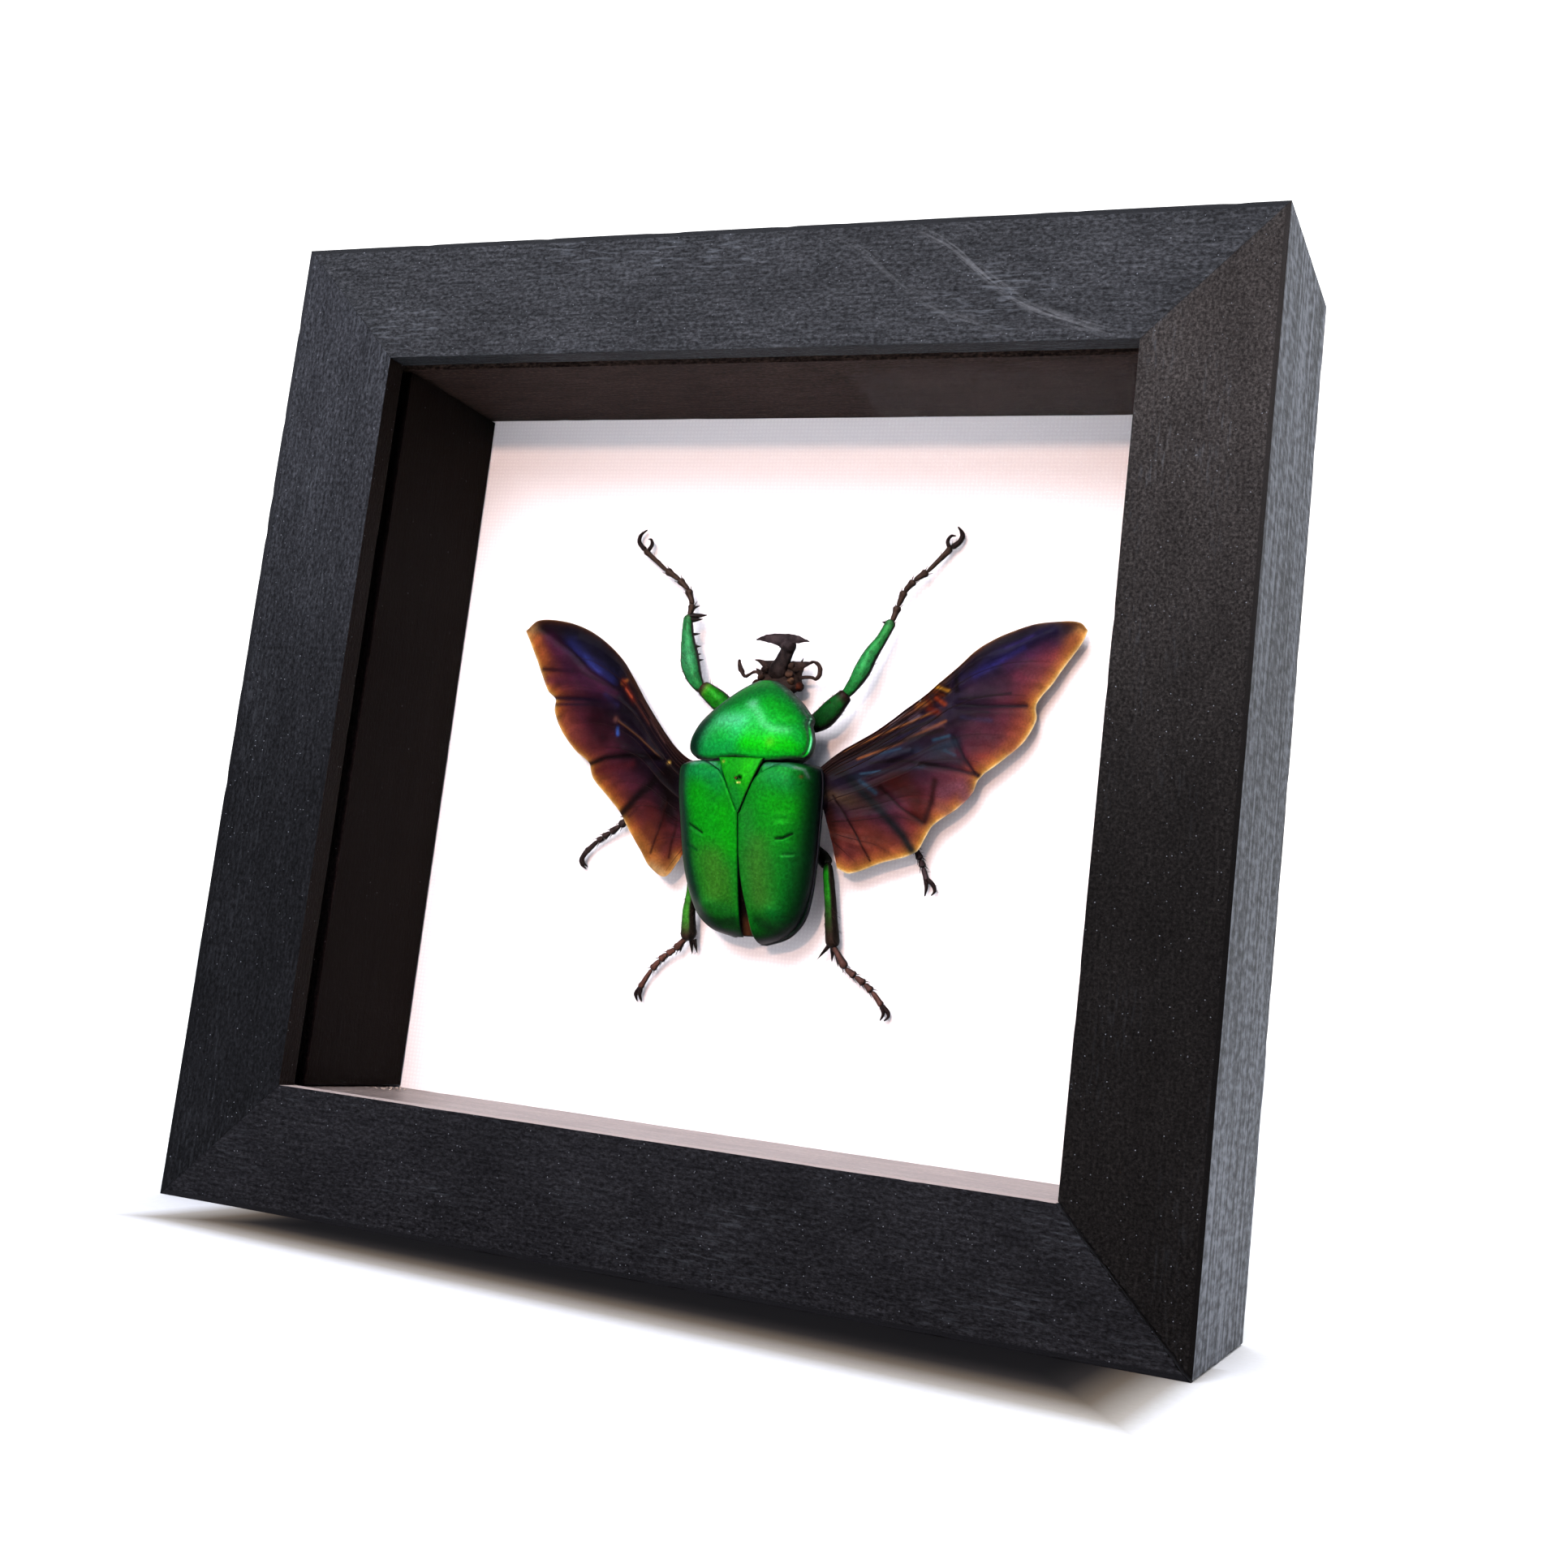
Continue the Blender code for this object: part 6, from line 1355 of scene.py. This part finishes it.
wingShapes = {
    "left": {
        "leading": ((-8.7, -1.2), (-11.6, -0.3), (-14.9, 2.0), (-19.7, 7.0), (-24.0, 12.3), (-26.7, 15.3),
                    (-30.1, 17.8), (-34.0, 19.8), (-38.7, 20.9), (-43.1, 20.8), (-45.2, 19.1)),
        "margin": ((-45.2, 19.1), (-42.9, 15.6), (-41.0, 12.4), (-39.3, 9.5), (-37.7, 8.0), (-37.5, 6.1),
                   (-35.8, 3.2), (-32.9, 0.3), (-29.9, -1.7), (-28.7, -4.1), (-25.8, -6.7), (-22.9, -9.2),
                   (-21.2, -11.5), (-18.6, -14.8), (-16.9, -17.0), (-14.2, -18.3), (-11.8, -15.6)),
        "root": ((-8.7, -1.2), (-8.6, -2.2), (-8.7, -4.0), (-9.3, -8.5), (-10.9, -13.8)),
        "marginTones": ((0.0, "#e2c084"), (0.3, "#a8702e"), (0.9, "#844420"), (2.2, "#5a2620"),
                        (4.0, "#431a24"), (6.5, "#2c101c"), (9.5, "#1a080f"), (14.0, "#0d0505")),
        "leadingTones": ((0.0, "#8a6a48"), (0.25, "#33190f"), (1.0, "#150c12"), (4.0, "#120a14"),
                         (9.0, "#1a0a12")),
        # painted light among the strokes: the blue and violet ones are painted sheen, the dark lines along the
        # fold valleys are painted shade, and the dark band from (-23.4, -10.2) to (-14.7, -1.9) is the middle
        # leg beneath, painted as its shade through the membrane
        "strokes": (
            (((-36.8, 18.4), (-31.5, 16.6), (-26.8, 12.9)), 1.7, "#100e1a", 0.9),
            (((-36.4, 17.0), (-32.3, 14.1), (-28.0, 11.4)), 1.2, "#21265c", 0.85),
            (((-33.4, 15.0), (-30.4, 12.8)), 0.5, "#31408c", 0.6),
            (((-42.1, 19.4), (-36.2, 16.2), (-32.1, 12.9), (-26.3, 10.0)), 0.3, "#0a060c", 0.85),
            (((-40.7, 17.8), (-35.9, 14.1), (-30.0, 10.6)), 1.3, "#461a34", 0.75),
            (((-42.6, 18.0), (-40.6, 14.8)), 1.0, "#9a5026", 0.6),
            (((-40.6, 12.9), (-33.9, 12.8), (-27.8, 10.5)), 0.3, "#1a0812", 0.8),
            (((-39.4, 11.2), (-33.9, 11.0), (-27.0, 9.4)), 0.9, "#42182c", 0.6),
            (((-38.3, 8.4), (-32.2, 8.4), (-26.3, 7.9)), 0.35, "#0c0516", 0.9),
            (((-37.6, 7.3), (-31.0, 7.6), (-26.4, 7.0)), 0.25, "#100616", 0.75),
            (((-36.1, 13.5), (-30.7, 10.1), (-27.5, 7.9)), 1.2, "#2c1226", 0.6),
            (((-44.0, 19.4),), 1.3, "#b98a54", 0.75), (((-33.0, 2.8), (-29.3, 0.4)), 1.5, "#4a1c24", 0.6),
            (((-35.6, 5.0), (-32.8, 2.4)), 1.0, "#6e342c", 0.5),
            (((-30.0, 5.2), (-27.8, 2.4)), 1.8, "#1c060c", 0.7),
            (((-26.0, 5.4),), 0.55, "#96604a", 0.5), (((-25.5, 4.0), (-25.3, 3.0)), 0.35, "#2e4c94", 0.9),
            (((-28.4, 9.2), (-26.0, 7.6)), 0.5, "#262346", 0.6),
            (((-25.7, 11.1), (-24.7, 11.5)), 0.35, "#8a4e24", 0.9),
            (((-25.5, 11.3), (-24.1, 9.6), (-23.0, 8.4)), 0.5, "#5e1f14", 0.85),
            (((-24.8, 10.2), (-23.4, 8.9)), 0.22, "#c0563a", 0.6),
            (((-23.6, 10.6), (-22.6, 9.6)), 0.3, "#140606", 0.9),
            (((-22.6, 8.0), (-19.8, 4.8)), 0.25, "#5e3024", 0.6),
            (((-21.6, 8.4), (-18.2, 4.4)), 0.2, "#54302a", 0.6),
            (((-19.6, 5.6), (-16.2, 1.9)), 0.2, "#6a4a44", 0.55),
            (((-25.4, 5.1), (-21.0, 2.6), (-16.3, -0.6)), 0.16, "#96602e", 0.5),
            (((-29.8, -1.9), (-26.9, -0.7), (-21.2, -0.1), (-16.3, -0.6)), 0.4, "#080304", 0.9),
            (((-28.0, -2.9), (-25.4, -2.2), (-21.6, -1.6)), 0.7, "#461418", 0.6),
            (((-23.4, -10.2), (-20.2, -6.6), (-16.9, -3.6), (-14.7, -1.9)), 0.75, "#0a0404", 0.9),
            (((-21.2, -9.6), (-18.2, -6.4)), 0.3, "#2e1216", 0.6),
            (((-13.5, -1.5), (-14.6, -4.4), (-14.3, -8.4)), 1.5, "#0c0504", 0.85),
            (((-19.8, -12.6), (-16.4, -15.0), (-14.6, -17.1)), 1.2, "#a0652c", 0.7),
            (((-16.6, -17.0), (-14.4, -17.9)), 0.9, "#c8a06c", 0.8),
            (((-12.4, -15.2), (-13.2, -17.0)), 0.7, "#a8743c", 0.8),
            (((-17.9, -8.4), (-14.1, -11.7)), 1.4, "#481a16", 0.75),
            (((-17.6, -11.2), (-15.4, -13.2)), 1.2, "#6e3418", 0.6),
            (((-16.9, -14.9), (-14.8, -7.2)), 0.22, "#240c0a", 0.75),
            (((-13.6, -15.4), (-12.6, -9.0)), 0.22, "#240c0a", 0.7),
            (((-14.9, -1.1),), 0.35, "#dcae4e", 0.95), (((-10.9, -0.4),), 0.35, "#d8a648", 0.95),
        ),
        "folds": (                        # (path, half width, rise in mm)
            (((-42.1, 19.4), (-36.2, 16.2), (-32.1, 12.9), (-26.3, 10.0)), 0.6, -0.3),
            (((-38.3, 8.4), (-32.2, 8.4), (-26.3, 7.9)), 0.7, -0.35),
            (((-38.6, 9.6), (-32.0, 9.6), (-26.2, 8.8)), 0.8, 0.15),
            (((-29.8, -1.9), (-26.9, -0.7), (-21.2, -0.1), (-16.3, -0.6)), 0.6, -0.3),
            (((-25.4, 5.1), (-21.0, 2.6), (-16.3, -0.6)), 0.25, 0.15),
            (((-16.9, -14.9), (-14.8, -7.2)), 0.5, -0.2),
            (((-22.9, 8.5), (-24.4, 10.9), (-26.4, 12.6)), 0.9, 0.4),
        ),
        "hole": None,
    },
    "right": {
        "leading": ((10.3, -1.0), (12.8, 1.8), (17.9, 5.8), (23.3, 10.6), (28.5, 15.7), (31.2, 18.6),
                    (34.8, 21.1), (39.1, 22.8), (43.4, 23.5), (46.2, 23.4), (47.4, 22.3)),
        "margin": ((47.4, 22.3), (46.8, 20.5), (44.8, 17.4), (43.2, 14.5), (41.0, 11.0), (41.2, 8.9),
                   (39.7, 5.6), (36.8, 2.6), (33.8, -0.1), (33.0, -2.3), (31.0, -4.7), (27.8, -7.3),
                   (26.8, -9.3), (25.5, -11.5), (20.2, -13.6), (15.7, -15.4), (13.8, -14.8)),
        "root": ((10.3, -1.0), (10.2, -2.2), (10.3, -4.0), (11.4, -7.0), (12.9, -11.6)),
        "marginTones": ((0.0, "#efd6a2"), (0.3, "#c08838"), (0.9, "#9c5a2c"), (2.2, "#76332a"),
                        (4.2, "#54232e"), (7.0, "#3a1a2a"), (10.5, "#26121c"), (15.0, "#180b0c")),
        "leadingTones": ((0.0, "#a07c48"), (0.25, "#442413"), (0.9, "#1e1014"), (3.0, "#1a1226"),
                         (8.0, "#24121e")),
        # painted light among the strokes: the blue, teal and violet ones are painted sheen, the dark lines
        # along the fold valleys are painted shade, and the dark band from (15.1, -2.0) to (24.8, -11.2) is the
        # middle leg beneath, painted as its shade through the membrane
        "strokes": (
            (((29.6, 14.2), (34.0, 17.6), (38.2, 20.4), (42.2, 22.0)), 1.5, "#191434", 0.92),
            (((31.4, 14.9), (35.3, 17.3), (38.3, 19.3)), 0.45, "#2c2a70", 0.7),
            (((35.8, 19.2), (39.6, 21.2)), 0.3, "#3a2c66", 0.5),
            (((30.0, 15.6), (33.9, 19.4), (39.4, 22.3)), 0.6, "#150d18", 0.85),
            (((36.0, 16.4), (40.2, 19.0), (43.4, 20.6)), 0.9, "#3e1c3c", 0.7),
            (((36.3, 12.9), (39.4, 15.7), (41.8, 18.6)), 1.6, "#5c2434", 0.55),
            (((31.0, 12.8), (35.5, 13.6)), 1.5, "#341c2e", 0.7),
            (((46.2, 22.1),), 1.0, "#cc9648", 0.7), (((44.6, 20.6), (45.6, 21.4)), 1.0, "#a45a2e", 0.6),
            (((29.2, 10.4), (34.1, 10.5), (39.5, 10.9)), 0.3, "#0e0510", 0.9),
            (((29.4, 11.3), (33.0, 11.9), (37.0, 12.6)), 0.18, "#12070f", 0.8),
            (((29.3, 9.6), (34.1, 9.6)), 0.2, "#1a0c18", 0.7),
            (((30.2, 8.6), (34.6, 8.4)), 0.35, "#252e50", 0.5),
            (((32.4, 7.2), (35.5, 5.8)), 1.5, "#482630", 0.6),
            (((38.9, 8.3), (37.9, 4.6)), 1.0, "#7c3a28", 0.6),
            (((29.2, 5.8), (31.2, 2.7), (33.4, 0.2)), 0.22, "#0f0610", 0.9),
            (((25.0, 1.2), (29.2, 1.1), (33.6, 0.4)), 0.3, "#12060e", 0.85),
            (((26.8, 3.5), (29.4, 4.8)), 1.1, "#1b2c3a", 0.8),
            (((26.4, 5.0), (28.6, 5.8)), 0.25, "#266880", 0.5),
            (((24.4, 3.2), (28.0, 2.4), (30.4, 2.2)), 1.1, "#221d2a", 0.75),
            (((28.2, 3.6), (29.8, 3.0)), 0.25, "#225468", 0.45),
            (((19.0, 2.4), (21.8, 3.3)), 0.22, "#24506c", 0.6),
            (((17.2, 1.8), (24.4, 3.4)), 0.5, "#1c3044", 0.4),
            (((15.1, -1.5), (20.3, -0.1), (25.3, 0.9)), 0.4, "#1a3040", 0.5),
            (((16.4, -0.9), (19.2, -0.2)), 0.16, "#5fb0d4", 0.4),
            (((17.7, 0.8), (21.8, 1.6), (27.5, 1.4)), 0.22, "#0d0809", 0.8),
            (((18.0, -3.0), (22.6, -1.2)), 1.6, "#2a0c0c", 0.7),
            (((21.5, -1.6), (24.7, -3.6), (25.3, -6.1)), 1.5, "#380d08", 0.75),
            (((28.6, -2.6), (31.1, -1.2), (32.1, -3.1)), 1.4, "#744050", 0.8),
            (((28.4, -4.6), (29.6, -5.4)), 1.0, "#8a5040", 0.6),
            (((27.3, -0.9), (27.1, -3.8), (26.4, -6.9)), 0.45, "#260a0c", 0.85),
            (((13.6, 2.2), (19.6, 5.7), (26.3, 9.3)), 0.2, "#9a5c2a", 0.85),
            (((15.7, 1.3), (21.7, 4.2), (27.9, 7.9)), 0.24, "#84481f", 0.85),
            (((11.6, 2.0), (16.3, 6.0), (20.9, 10.4)), 0.14, "#8a5830", 0.7),
            (((13.0, 2.3), (17.7, 5.8), (22.9, 9.9)), 0.3, "#160909", 0.9),
            (((14.4, 1.9), (20.6, 5.1), (27.0, 8.6)), 0.2, "#120707", 0.9),
            (((12.4, 1.0), (18.8, 3.3), (27.6, 6.6)), 0.3, "#120707", 0.85),
            (((18.0, 5.9), (23.4, 9.2)), 0.22, "#7a4a34", 0.7),
            (((21.5, 8.8), (19.9, 6.7)), 0.45, "#55505c", 0.65),
            (((22.7, 7.7), (23.8, 8.5)), 0.35, "#826a78", 0.6),
            (((24.6, 6.6), (27.6, 7.2)), 0.35, "#6e4440", 0.55),
            (((25.3, 9.5), (26.6, 9.1)), 0.55, "#641a0c", 0.85),
            (((23.6, 9.8), (25.2, 10.5)), 0.5, "#b06420", 0.7),
            (((24.4, 11.6), (25.4, 10.2)), 0.3, "#4a1408", 0.85),
            (((26.2, 11.2), (27.4, 10.4)), 0.4, "#8e3212", 0.85),
            (((25.4, 13.1), (26.4, 12.7), (27.8, 12.4)), 0.3, "#e09a22", 0.7),
            (((25.8, 12.1), (27.2, 11.7)), 0.3, "#5a2408", 0.8),
            (((28.7, 15.2), (29.0, 12.5)), 0.4, "#0c0608", 0.9),
            (((11.2, -4.2), (15.2, -4.9)), 1.2, "#5c4630", 0.75),
            (((15.2, -4.9), (18.0, -5.2)), 1.0, "#3a281e", 0.6),
            (((12.2, -9.6), (20.5, -10.8)), 1.8, "#6c3018", 0.6),
            (((16.6, -8.0), (19.4, -9.4)), 1.4, "#5a261a", 0.6),
            (((15.1, -2.0), (20.5, -6.6), (23.2, -9.1), (24.8, -11.2)), 0.62, "#0f1517", 0.9),
            (((16.4, -1.9), (18.8, -3.4)), 0.4, "#1d3a4c", 0.8),
            (((12.6, -4.4), (15.1, -7.8), (18.7, -13.3)), 0.16, "#140808", 0.85),
            (((19.5, -2.7), (22.6, -5.2), (26.1, -7.1)), 0.18, "#140808", 0.8),
            (((10.9, -0.1), (13.8, -0.9)), 0.9, "#0e0606", 0.85),
            (((12.2, -6.6), (13.6, -12.6)), 0.7, "#2c120c", 0.7),
        ),
        "folds": (
            (((29.5, 13.4), (32.9, 16.8), (38.2, 19.8), (42.3, 22.0)), 0.7, 0.25),
            (((29.2, 10.4), (34.1, 10.5), (39.5, 10.9)), 0.6, -0.3),
            (((29.2, 5.8), (31.2, 2.7), (33.4, 0.2)), 0.45, -0.25),
            (((25.0, 1.2), (29.2, 1.1), (33.6, 0.4)), 0.45, -0.25),
            (((20.1, 1.5), (21.2, 2.1), (23.3, 3.0)), 0.4, 0.2),
            (((13.6, 2.2), (19.6, 5.7), (26.3, 9.3)), 0.25, 0.15),
            (((12.6, -4.4), (15.1, -7.8), (18.7, -13.3)), 0.35, -0.15),
            (((19.5, -2.7), (22.6, -5.2), (26.1, -7.1)), 0.35, -0.15),
            (((26.6, 12.7), (24.8, 9.4)), 0.8, 0.4),
        ),
        "hole": (23.6, 10.8, 0.32),       # a small tear that the paper shows through, and its half width
    },
}


def wingMembrane():
    # Hindwing membrane: thin clear chitin, smoke-brown to amber, with a weak oily sheen of blue and violet that
    # is painted into its colour, not made by the shader
    material, node, finish = newMaterial("thin_hindwing_membrane", roughness=0.4, gloss=0.02)
    tone = node("ShaderNodeAttribute", {"attribute_name": "tone"})
    spot = node("ShaderNodeTexCoord").outputs["Object"]
    fine = node(noiseNode, {"Scale": 1 / (0.3 * mm), "Detail": 4.0, "Vector": spot})
    speck = node.ramp(fine, ((0.3, 0.78), (0.7, 1.2)))
    finish({"Base Color": node.tint(tone, speck), "IOR": 1.56,
            "Normal": node(bumpNode, {"Strength": 0.3, "Distance": 0.02 * mm, "Height": fine})})
    return material


def wingVein():                           # hard chitin tube, brown and satin
    return newMaterial("dark_wing_vein", colour="#1a0c0a", roughness=0.5, gloss=0.03)[0]


def smoothLine(points, count):            # even points on a smooth curve through these
    points = np.array(points, float)
    run = np.concatenate([[0], np.cumsum(np.linalg.norm(np.diff(points, axis=0), axis=1))])
    fine = np.linspace(0, run[-1], count)
    return np.stack([along(list(zip(run, column)), fine) for column in points.T], axis=-1)


def startTree(name, **sockets):           # a node tree over a mesh, with these inputs of its own
    tree = bpy.data.node_groups.new(name, "GeometryNodeTree")
    tree.interface.new_socket("Geometry", in_out="INPUT", socket_type="NodeSocketGeometry")
    inputs = {}
    for key, kind in sockets.items():
        socket = tree.interface.new_socket(key.replace("_", " "), in_out="INPUT",
                                           socket_type="NodeSocket" + kind)
        inputs[key] = socket.identifier
    tree.interface.new_socket("Geometry", in_out="OUTPUT", socket_type="NodeSocketGeometry")
    node = Nodes(tree)
    return tree, node, inputs, node("NodeGroupInput").outputs


def finishTree(node, shape, material):
    real = node("GeometryNodeRealizeInstances", {"Geometry": shape})
    made = node("GeometryNodeSetMaterial", {"Geometry": real, "Material": material})
    node("NodeGroupOutput", {"Geometry": made})


def veinTree(material):                   # thin tubes along the edges of a mesh, as thick as its "radius" says
    tree, node, inputs, given = startTree("veins", Sides="Int")
    radius = node("GeometryNodeInputNamedAttribute", {"data_type": "FLOAT", "Name": "radius"})
    curve = node("GeometryNodeMeshToCurve", {"Mesh": given["Geometry"]})
    profile = node("GeometryNodeCurvePrimitiveCircle", {"Radius": 1.0, "Resolution": given["Sides"]})
    tube = node("GeometryNodeCurveToMesh", {"Curve": curve, "Profile Curve": profile, "Scale": radius,
                                            "Fill Caps": True})
    finishTree(node, tube, material)
    return tree, inputs


def evaluated(name, mesh, tree, inputs):  # the plain mesh that a node tree makes of this one
    holder = bpy.data.objects.new(name + "_seed", mesh)
    bpy.context.scene.collection.objects.link(holder)
    modifier = holder.modifiers.new("nodes", "NODES")
    modifier.node_group = tree
    for identifier, value in inputs.items():
        modifier[identifier] = value
    bpy.context.view_layer.update()
    made = bpy.data.meshes.new_from_object(holder.evaluated_get(bpy.context.evaluated_depsgraph_get()))
    holder.modifiers.remove(modifier)
    bpy.data.objects.remove(holder, do_unlink=True)
    made.name = name
    return made


# small shapes strewn over a mesh, leaning away from a point
def scatterTree(name, kind, settings, material):
    tree, node, inputs, given = startTree(name, Density="Float", Seed="Int", Bare_within="Float", Lean="Float",
                                          Least_size="Float")
    centre = tuple(float(part) for part in onPaper(*body["pivot"], 0.0))
    away = node("ShaderNodeVectorMath", {"operation": "SUBTRACT", 0: node("GeometryNodeInputPosition"),
                                         1: centre})
    far = node("ShaderNodeVectorMath", {"operation": "LENGTH", 0: away})
    outer = node("FunctionNodeCompare", {"operation": "GREATER_THAN", 0: far, 1: given["Bare within"]})
    strewn = node("GeometryNodeDistributePointsOnFaces", {
        "Mesh": given["Geometry"], "Selection": outer, "Density": given["Density"], "Seed": given["Seed"]})
    lean = node("ShaderNodeVectorMath", {"operation": "NORMALIZE", 0: away})
    lean = node("ShaderNodeVectorMath", {"operation": "SCALE", 0: lean, "Scale": given["Lean"]})
    lean = node("ShaderNodeVectorMath", {"operation": "ADD", 0: lean, 1: strewn.outputs["Normal"]})
    turn = node("FunctionNodeAlignRotationToVector", {"Vector": lean})
    size = node("FunctionNodeRandomValue",
                {"data_type": "FLOAT", 2: given["Least size"], "Seed": given["Seed"]})
    placed = node("GeometryNodeInstanceOnPoints", {
        "Points": strewn, "Instance": node(kind, settings), "Rotation": turn, "Scale": size})
    finishTree(node, placed, material)
    return tree, inputs


def strew(name, mesh, tree, inputs, values, material, slot):
    made = evaluated(name, mesh, tree, {inputs[key]: value for key, value in values.items()})
    bpy.data.meshes.remove(mesh)
    makePiece(name, made, material, slot)


# Density is a number per square metre, and near the beetle's middle the ground stays bare
bristles = {"Density": 1.6e6, "Seed": 4, "Bare_within": 0.0175, "Lean": 1.3, "Least_size": 0.5}
crumbs = {"Density": 0.9e6, "Seed": 2, "Bare_within": 0.0, "Lean": 0.0, "Least_size": 0.35}


def makeBristles():                       # short stiff hairs on the outer parts of the legs
    bm = bmesh.new()
    for name in legs:
        bm.from_mesh(bpy.data.objects[name + "_cuticle"].data)
    mesh = bpy.data.meshes.new("bristle_ground")
    bm.to_mesh(mesh)
    bm.free()
    hair = newMaterial("stiff_brown_leg_hair", colour="#2a1a14", roughness=0.5, gloss=0.1)[0]
    cone = {"Vertices": 5, "Side Segments": 2, "Radius Bottom": 0.035 * mm, "Radius Top": 0.006 * mm,
            "Depth": 0.75 * mm}
    tree, inputs = scatterTree("bristles", "GeometryNodeMeshCone", cone, hair)
    strew("leg_bristles", mesh, tree, inputs, bristles, hair, "leg_cuticle")


def makeCrumbs():                         # lint and sawdust in the lower left corner of the case
    left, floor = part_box("spacer_left")[1].x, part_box("spacer_bottom")[1].z
    xs, ys = (left + 0.4 * mm, left + 4.5 * mm), (paperY - 10 * mm, paperY - 2 * mm)
    corners = [(x, y, floor) for y in ys for x in xs]
    mesh = meshOf("crumb_ground", np.array(corners), [(0, 1, 3, 2)])
    lint = newMaterial("pale_sawdust_and_lint", colour="#a79a8e", roughness=0.9)[0]
    tree, inputs = scatterTree("crumbs", "GeometryNodeMeshIcoSphere", {"Radius": 0.16 * mm, "Subdivisions": 2},
                               lint)
    strew("corner_crumbs", mesh, tree, inputs, crumbs, lint, "white_paper")


def makeWing(side, shape, membrane, vein):
    rows, columns = wing["rows"], wing["columns"]
    leading, margin, root = (smoothLine(shape[key], count) for key, count in
                             (("leading", columns), ("margin", rows), ("root", rows)))
    out = np.linspace(0, 1, columns)[None, :, None]
    across = np.linspace(0, 1, rows)[:, None, None]
    straight = root[0] + (margin[0] - root[0]) * out
    place = root[:, None] * (1 - out) + margin[:, None] * out + (leading[None] - straight) * (1 - across)
    out, across = out[..., 0], across[..., 0]
    far = np.linalg.norm(place - root[0], axis=-1)
    seed = 3 if side == "left" else 8
    flat = np.concatenate([place, 0 * place[..., :1]], axis=-1)
    rays = np.stack(np.broadcast_arrays(across * 34, out * 3.0, 0.0 * out + seed), axis=-1)
    nearest = np.min([np.abs(across - one) for one in wing["pleats"]], axis=0)
    ridge = np.maximum(0.0, 1 - nearest / wing["pleatWidth"])
    height = wing["rest"] + wing["rise"] * np.exp(-far / wing["fade"])
    height += wing["pleat"] * ridge * np.sin(math.pi * np.minimum(1.0, 0.15 + 0.85 * out))
    loose = np.minimum(1.0, far / 10)     # the root is stiff
    height += wing["crumple"] * softNoise(flat, 4.5, seed) * loose
    height += wing["crinkle"] * (softNoise(rays, 1.0, seed + 1) + softNoise(flat, 0.9, seed + 2)) * loose
    edge = np.minimum(farFrom(place, margin[::4]), farFrom(place, leading[columns // 3::4]))
    height += wing["ruffle"] * softNoise(flat, 3.0, seed + 4) * np.exp(-edge / 1.4)
    for path, width, rise in shape["folds"]:
        height += rise * np.exp(-(farFrom(place, path) / width) ** 2)
    rear, front = farFrom(place, margin[::3]), farFrom(place, leading[::3])
    share = np.clip(rear / (rear + front + 0.001), 0, 1)
    share = np.clip((share - 0.35) / 0.3, 0, 1)
    share = (share * share * (3 - 2 * share))[..., None]
    tones = byDistance(rear, shape["marginTones"]) * (1 - share) + byDistance(front,
                                                                              shape["leadingTones"]) * share
    tones = brush(tones, place, shape["strokes"])
    streaks = 0.13 * softNoise(rays * (1.6, 1, 1), 1.0, seed + 6) + 0.10 * softNoise(flat, 1.3, seed)
    tones[..., :3] *= (1 + streaks)[..., None]
    if shape["hole"]:
        gone = farFrom(place, [shape["hole"][:2]]) < shape["hole"][2]
        tones[gone] = hexTone("#ffffff")
    tones = linear(tones) * wing["brightness"]
    top = onPaper(place[..., 0], place[..., 1], height)
    under = onPaper(place[..., 0], place[..., 1], height - wing["sheet"])
    points = np.concatenate([top.reshape(-1, 3), under.reshape(-1, 3)])
    faces = gridFaces(rows, columns) + gridFaces(rows, columns, first=rows * columns, turned=True)
    around = ([j for j in range(columns)] + [i * columns + columns - 1 for i in range(1, rows)]
              + [(rows - 1) * columns + j for j in range(columns - 2, -1,
                                                         -1)] + [i * columns for i in range(rows - 2, 0, -1)])
    for here, after in zip(around, around[1:] + around[:1]):
        faces.append((here, here + rows * columns, after + rows * columns, after))
    mesh = meshOf("wing_sheet_" + side, points, faces)
    paint(mesh, "tone", np.concatenate([tones.reshape(-1, 4)] * 2))
    makePiece("wing_sheet_" + side, outwards(mesh), membrane, "wing_membrane", "hindwing_" + side,
              smoothAngle=80)
    lines, radii, edges = [], [], []
    for at, start, end, radius in wing["veins"]:
        row = int(at * (rows - 1))
        steps = np.arange(int(start * (columns - 1)), int(end * (columns - 1)), 2)
        first = len(lines)
        for k, step in enumerate(steps):
            lines.append(onPaper(*place[row, step], height[row, step] + 0.02))
            radii.append(radius * mm * (1 - 0.75 * k / len(steps)))
            if k:
                edges.append((first + k - 1, first + k))
    seedMesh = bpy.data.meshes.new("vein_lines_" + side)
    seedMesh.from_pydata([list(map(float, point)) for point in lines], edges, [])
    paint(seedMesh, "radius", radii)
    tree, inputs = veinTree(vein)
    veins = evaluated("wing_veins_" + side, seedMesh, tree, {inputs["Sides"]: 8})
    makePiece("wing_veins_" + side, veins, vein, "wing_membrane", smoothAngle=60)


def pinBrass():                           # brass-plated steel wire, drawn: yellow and bright
    return newMaterial("drawn_brass_plated_wire", colour="#5a4522", roughness=0.25, metallic=1.0)[0]


membrane, vein = wingMembrane(), wingVein()
for wingSide, wingShape in wingShapes.items():
    makeWing(wingSide, wingShape, membrane, vein)
dress("insect_pin", pinBrass())
print("hindwings and pin")
makeBristles()
makeCrumbs()
print("bristles and crumbs")
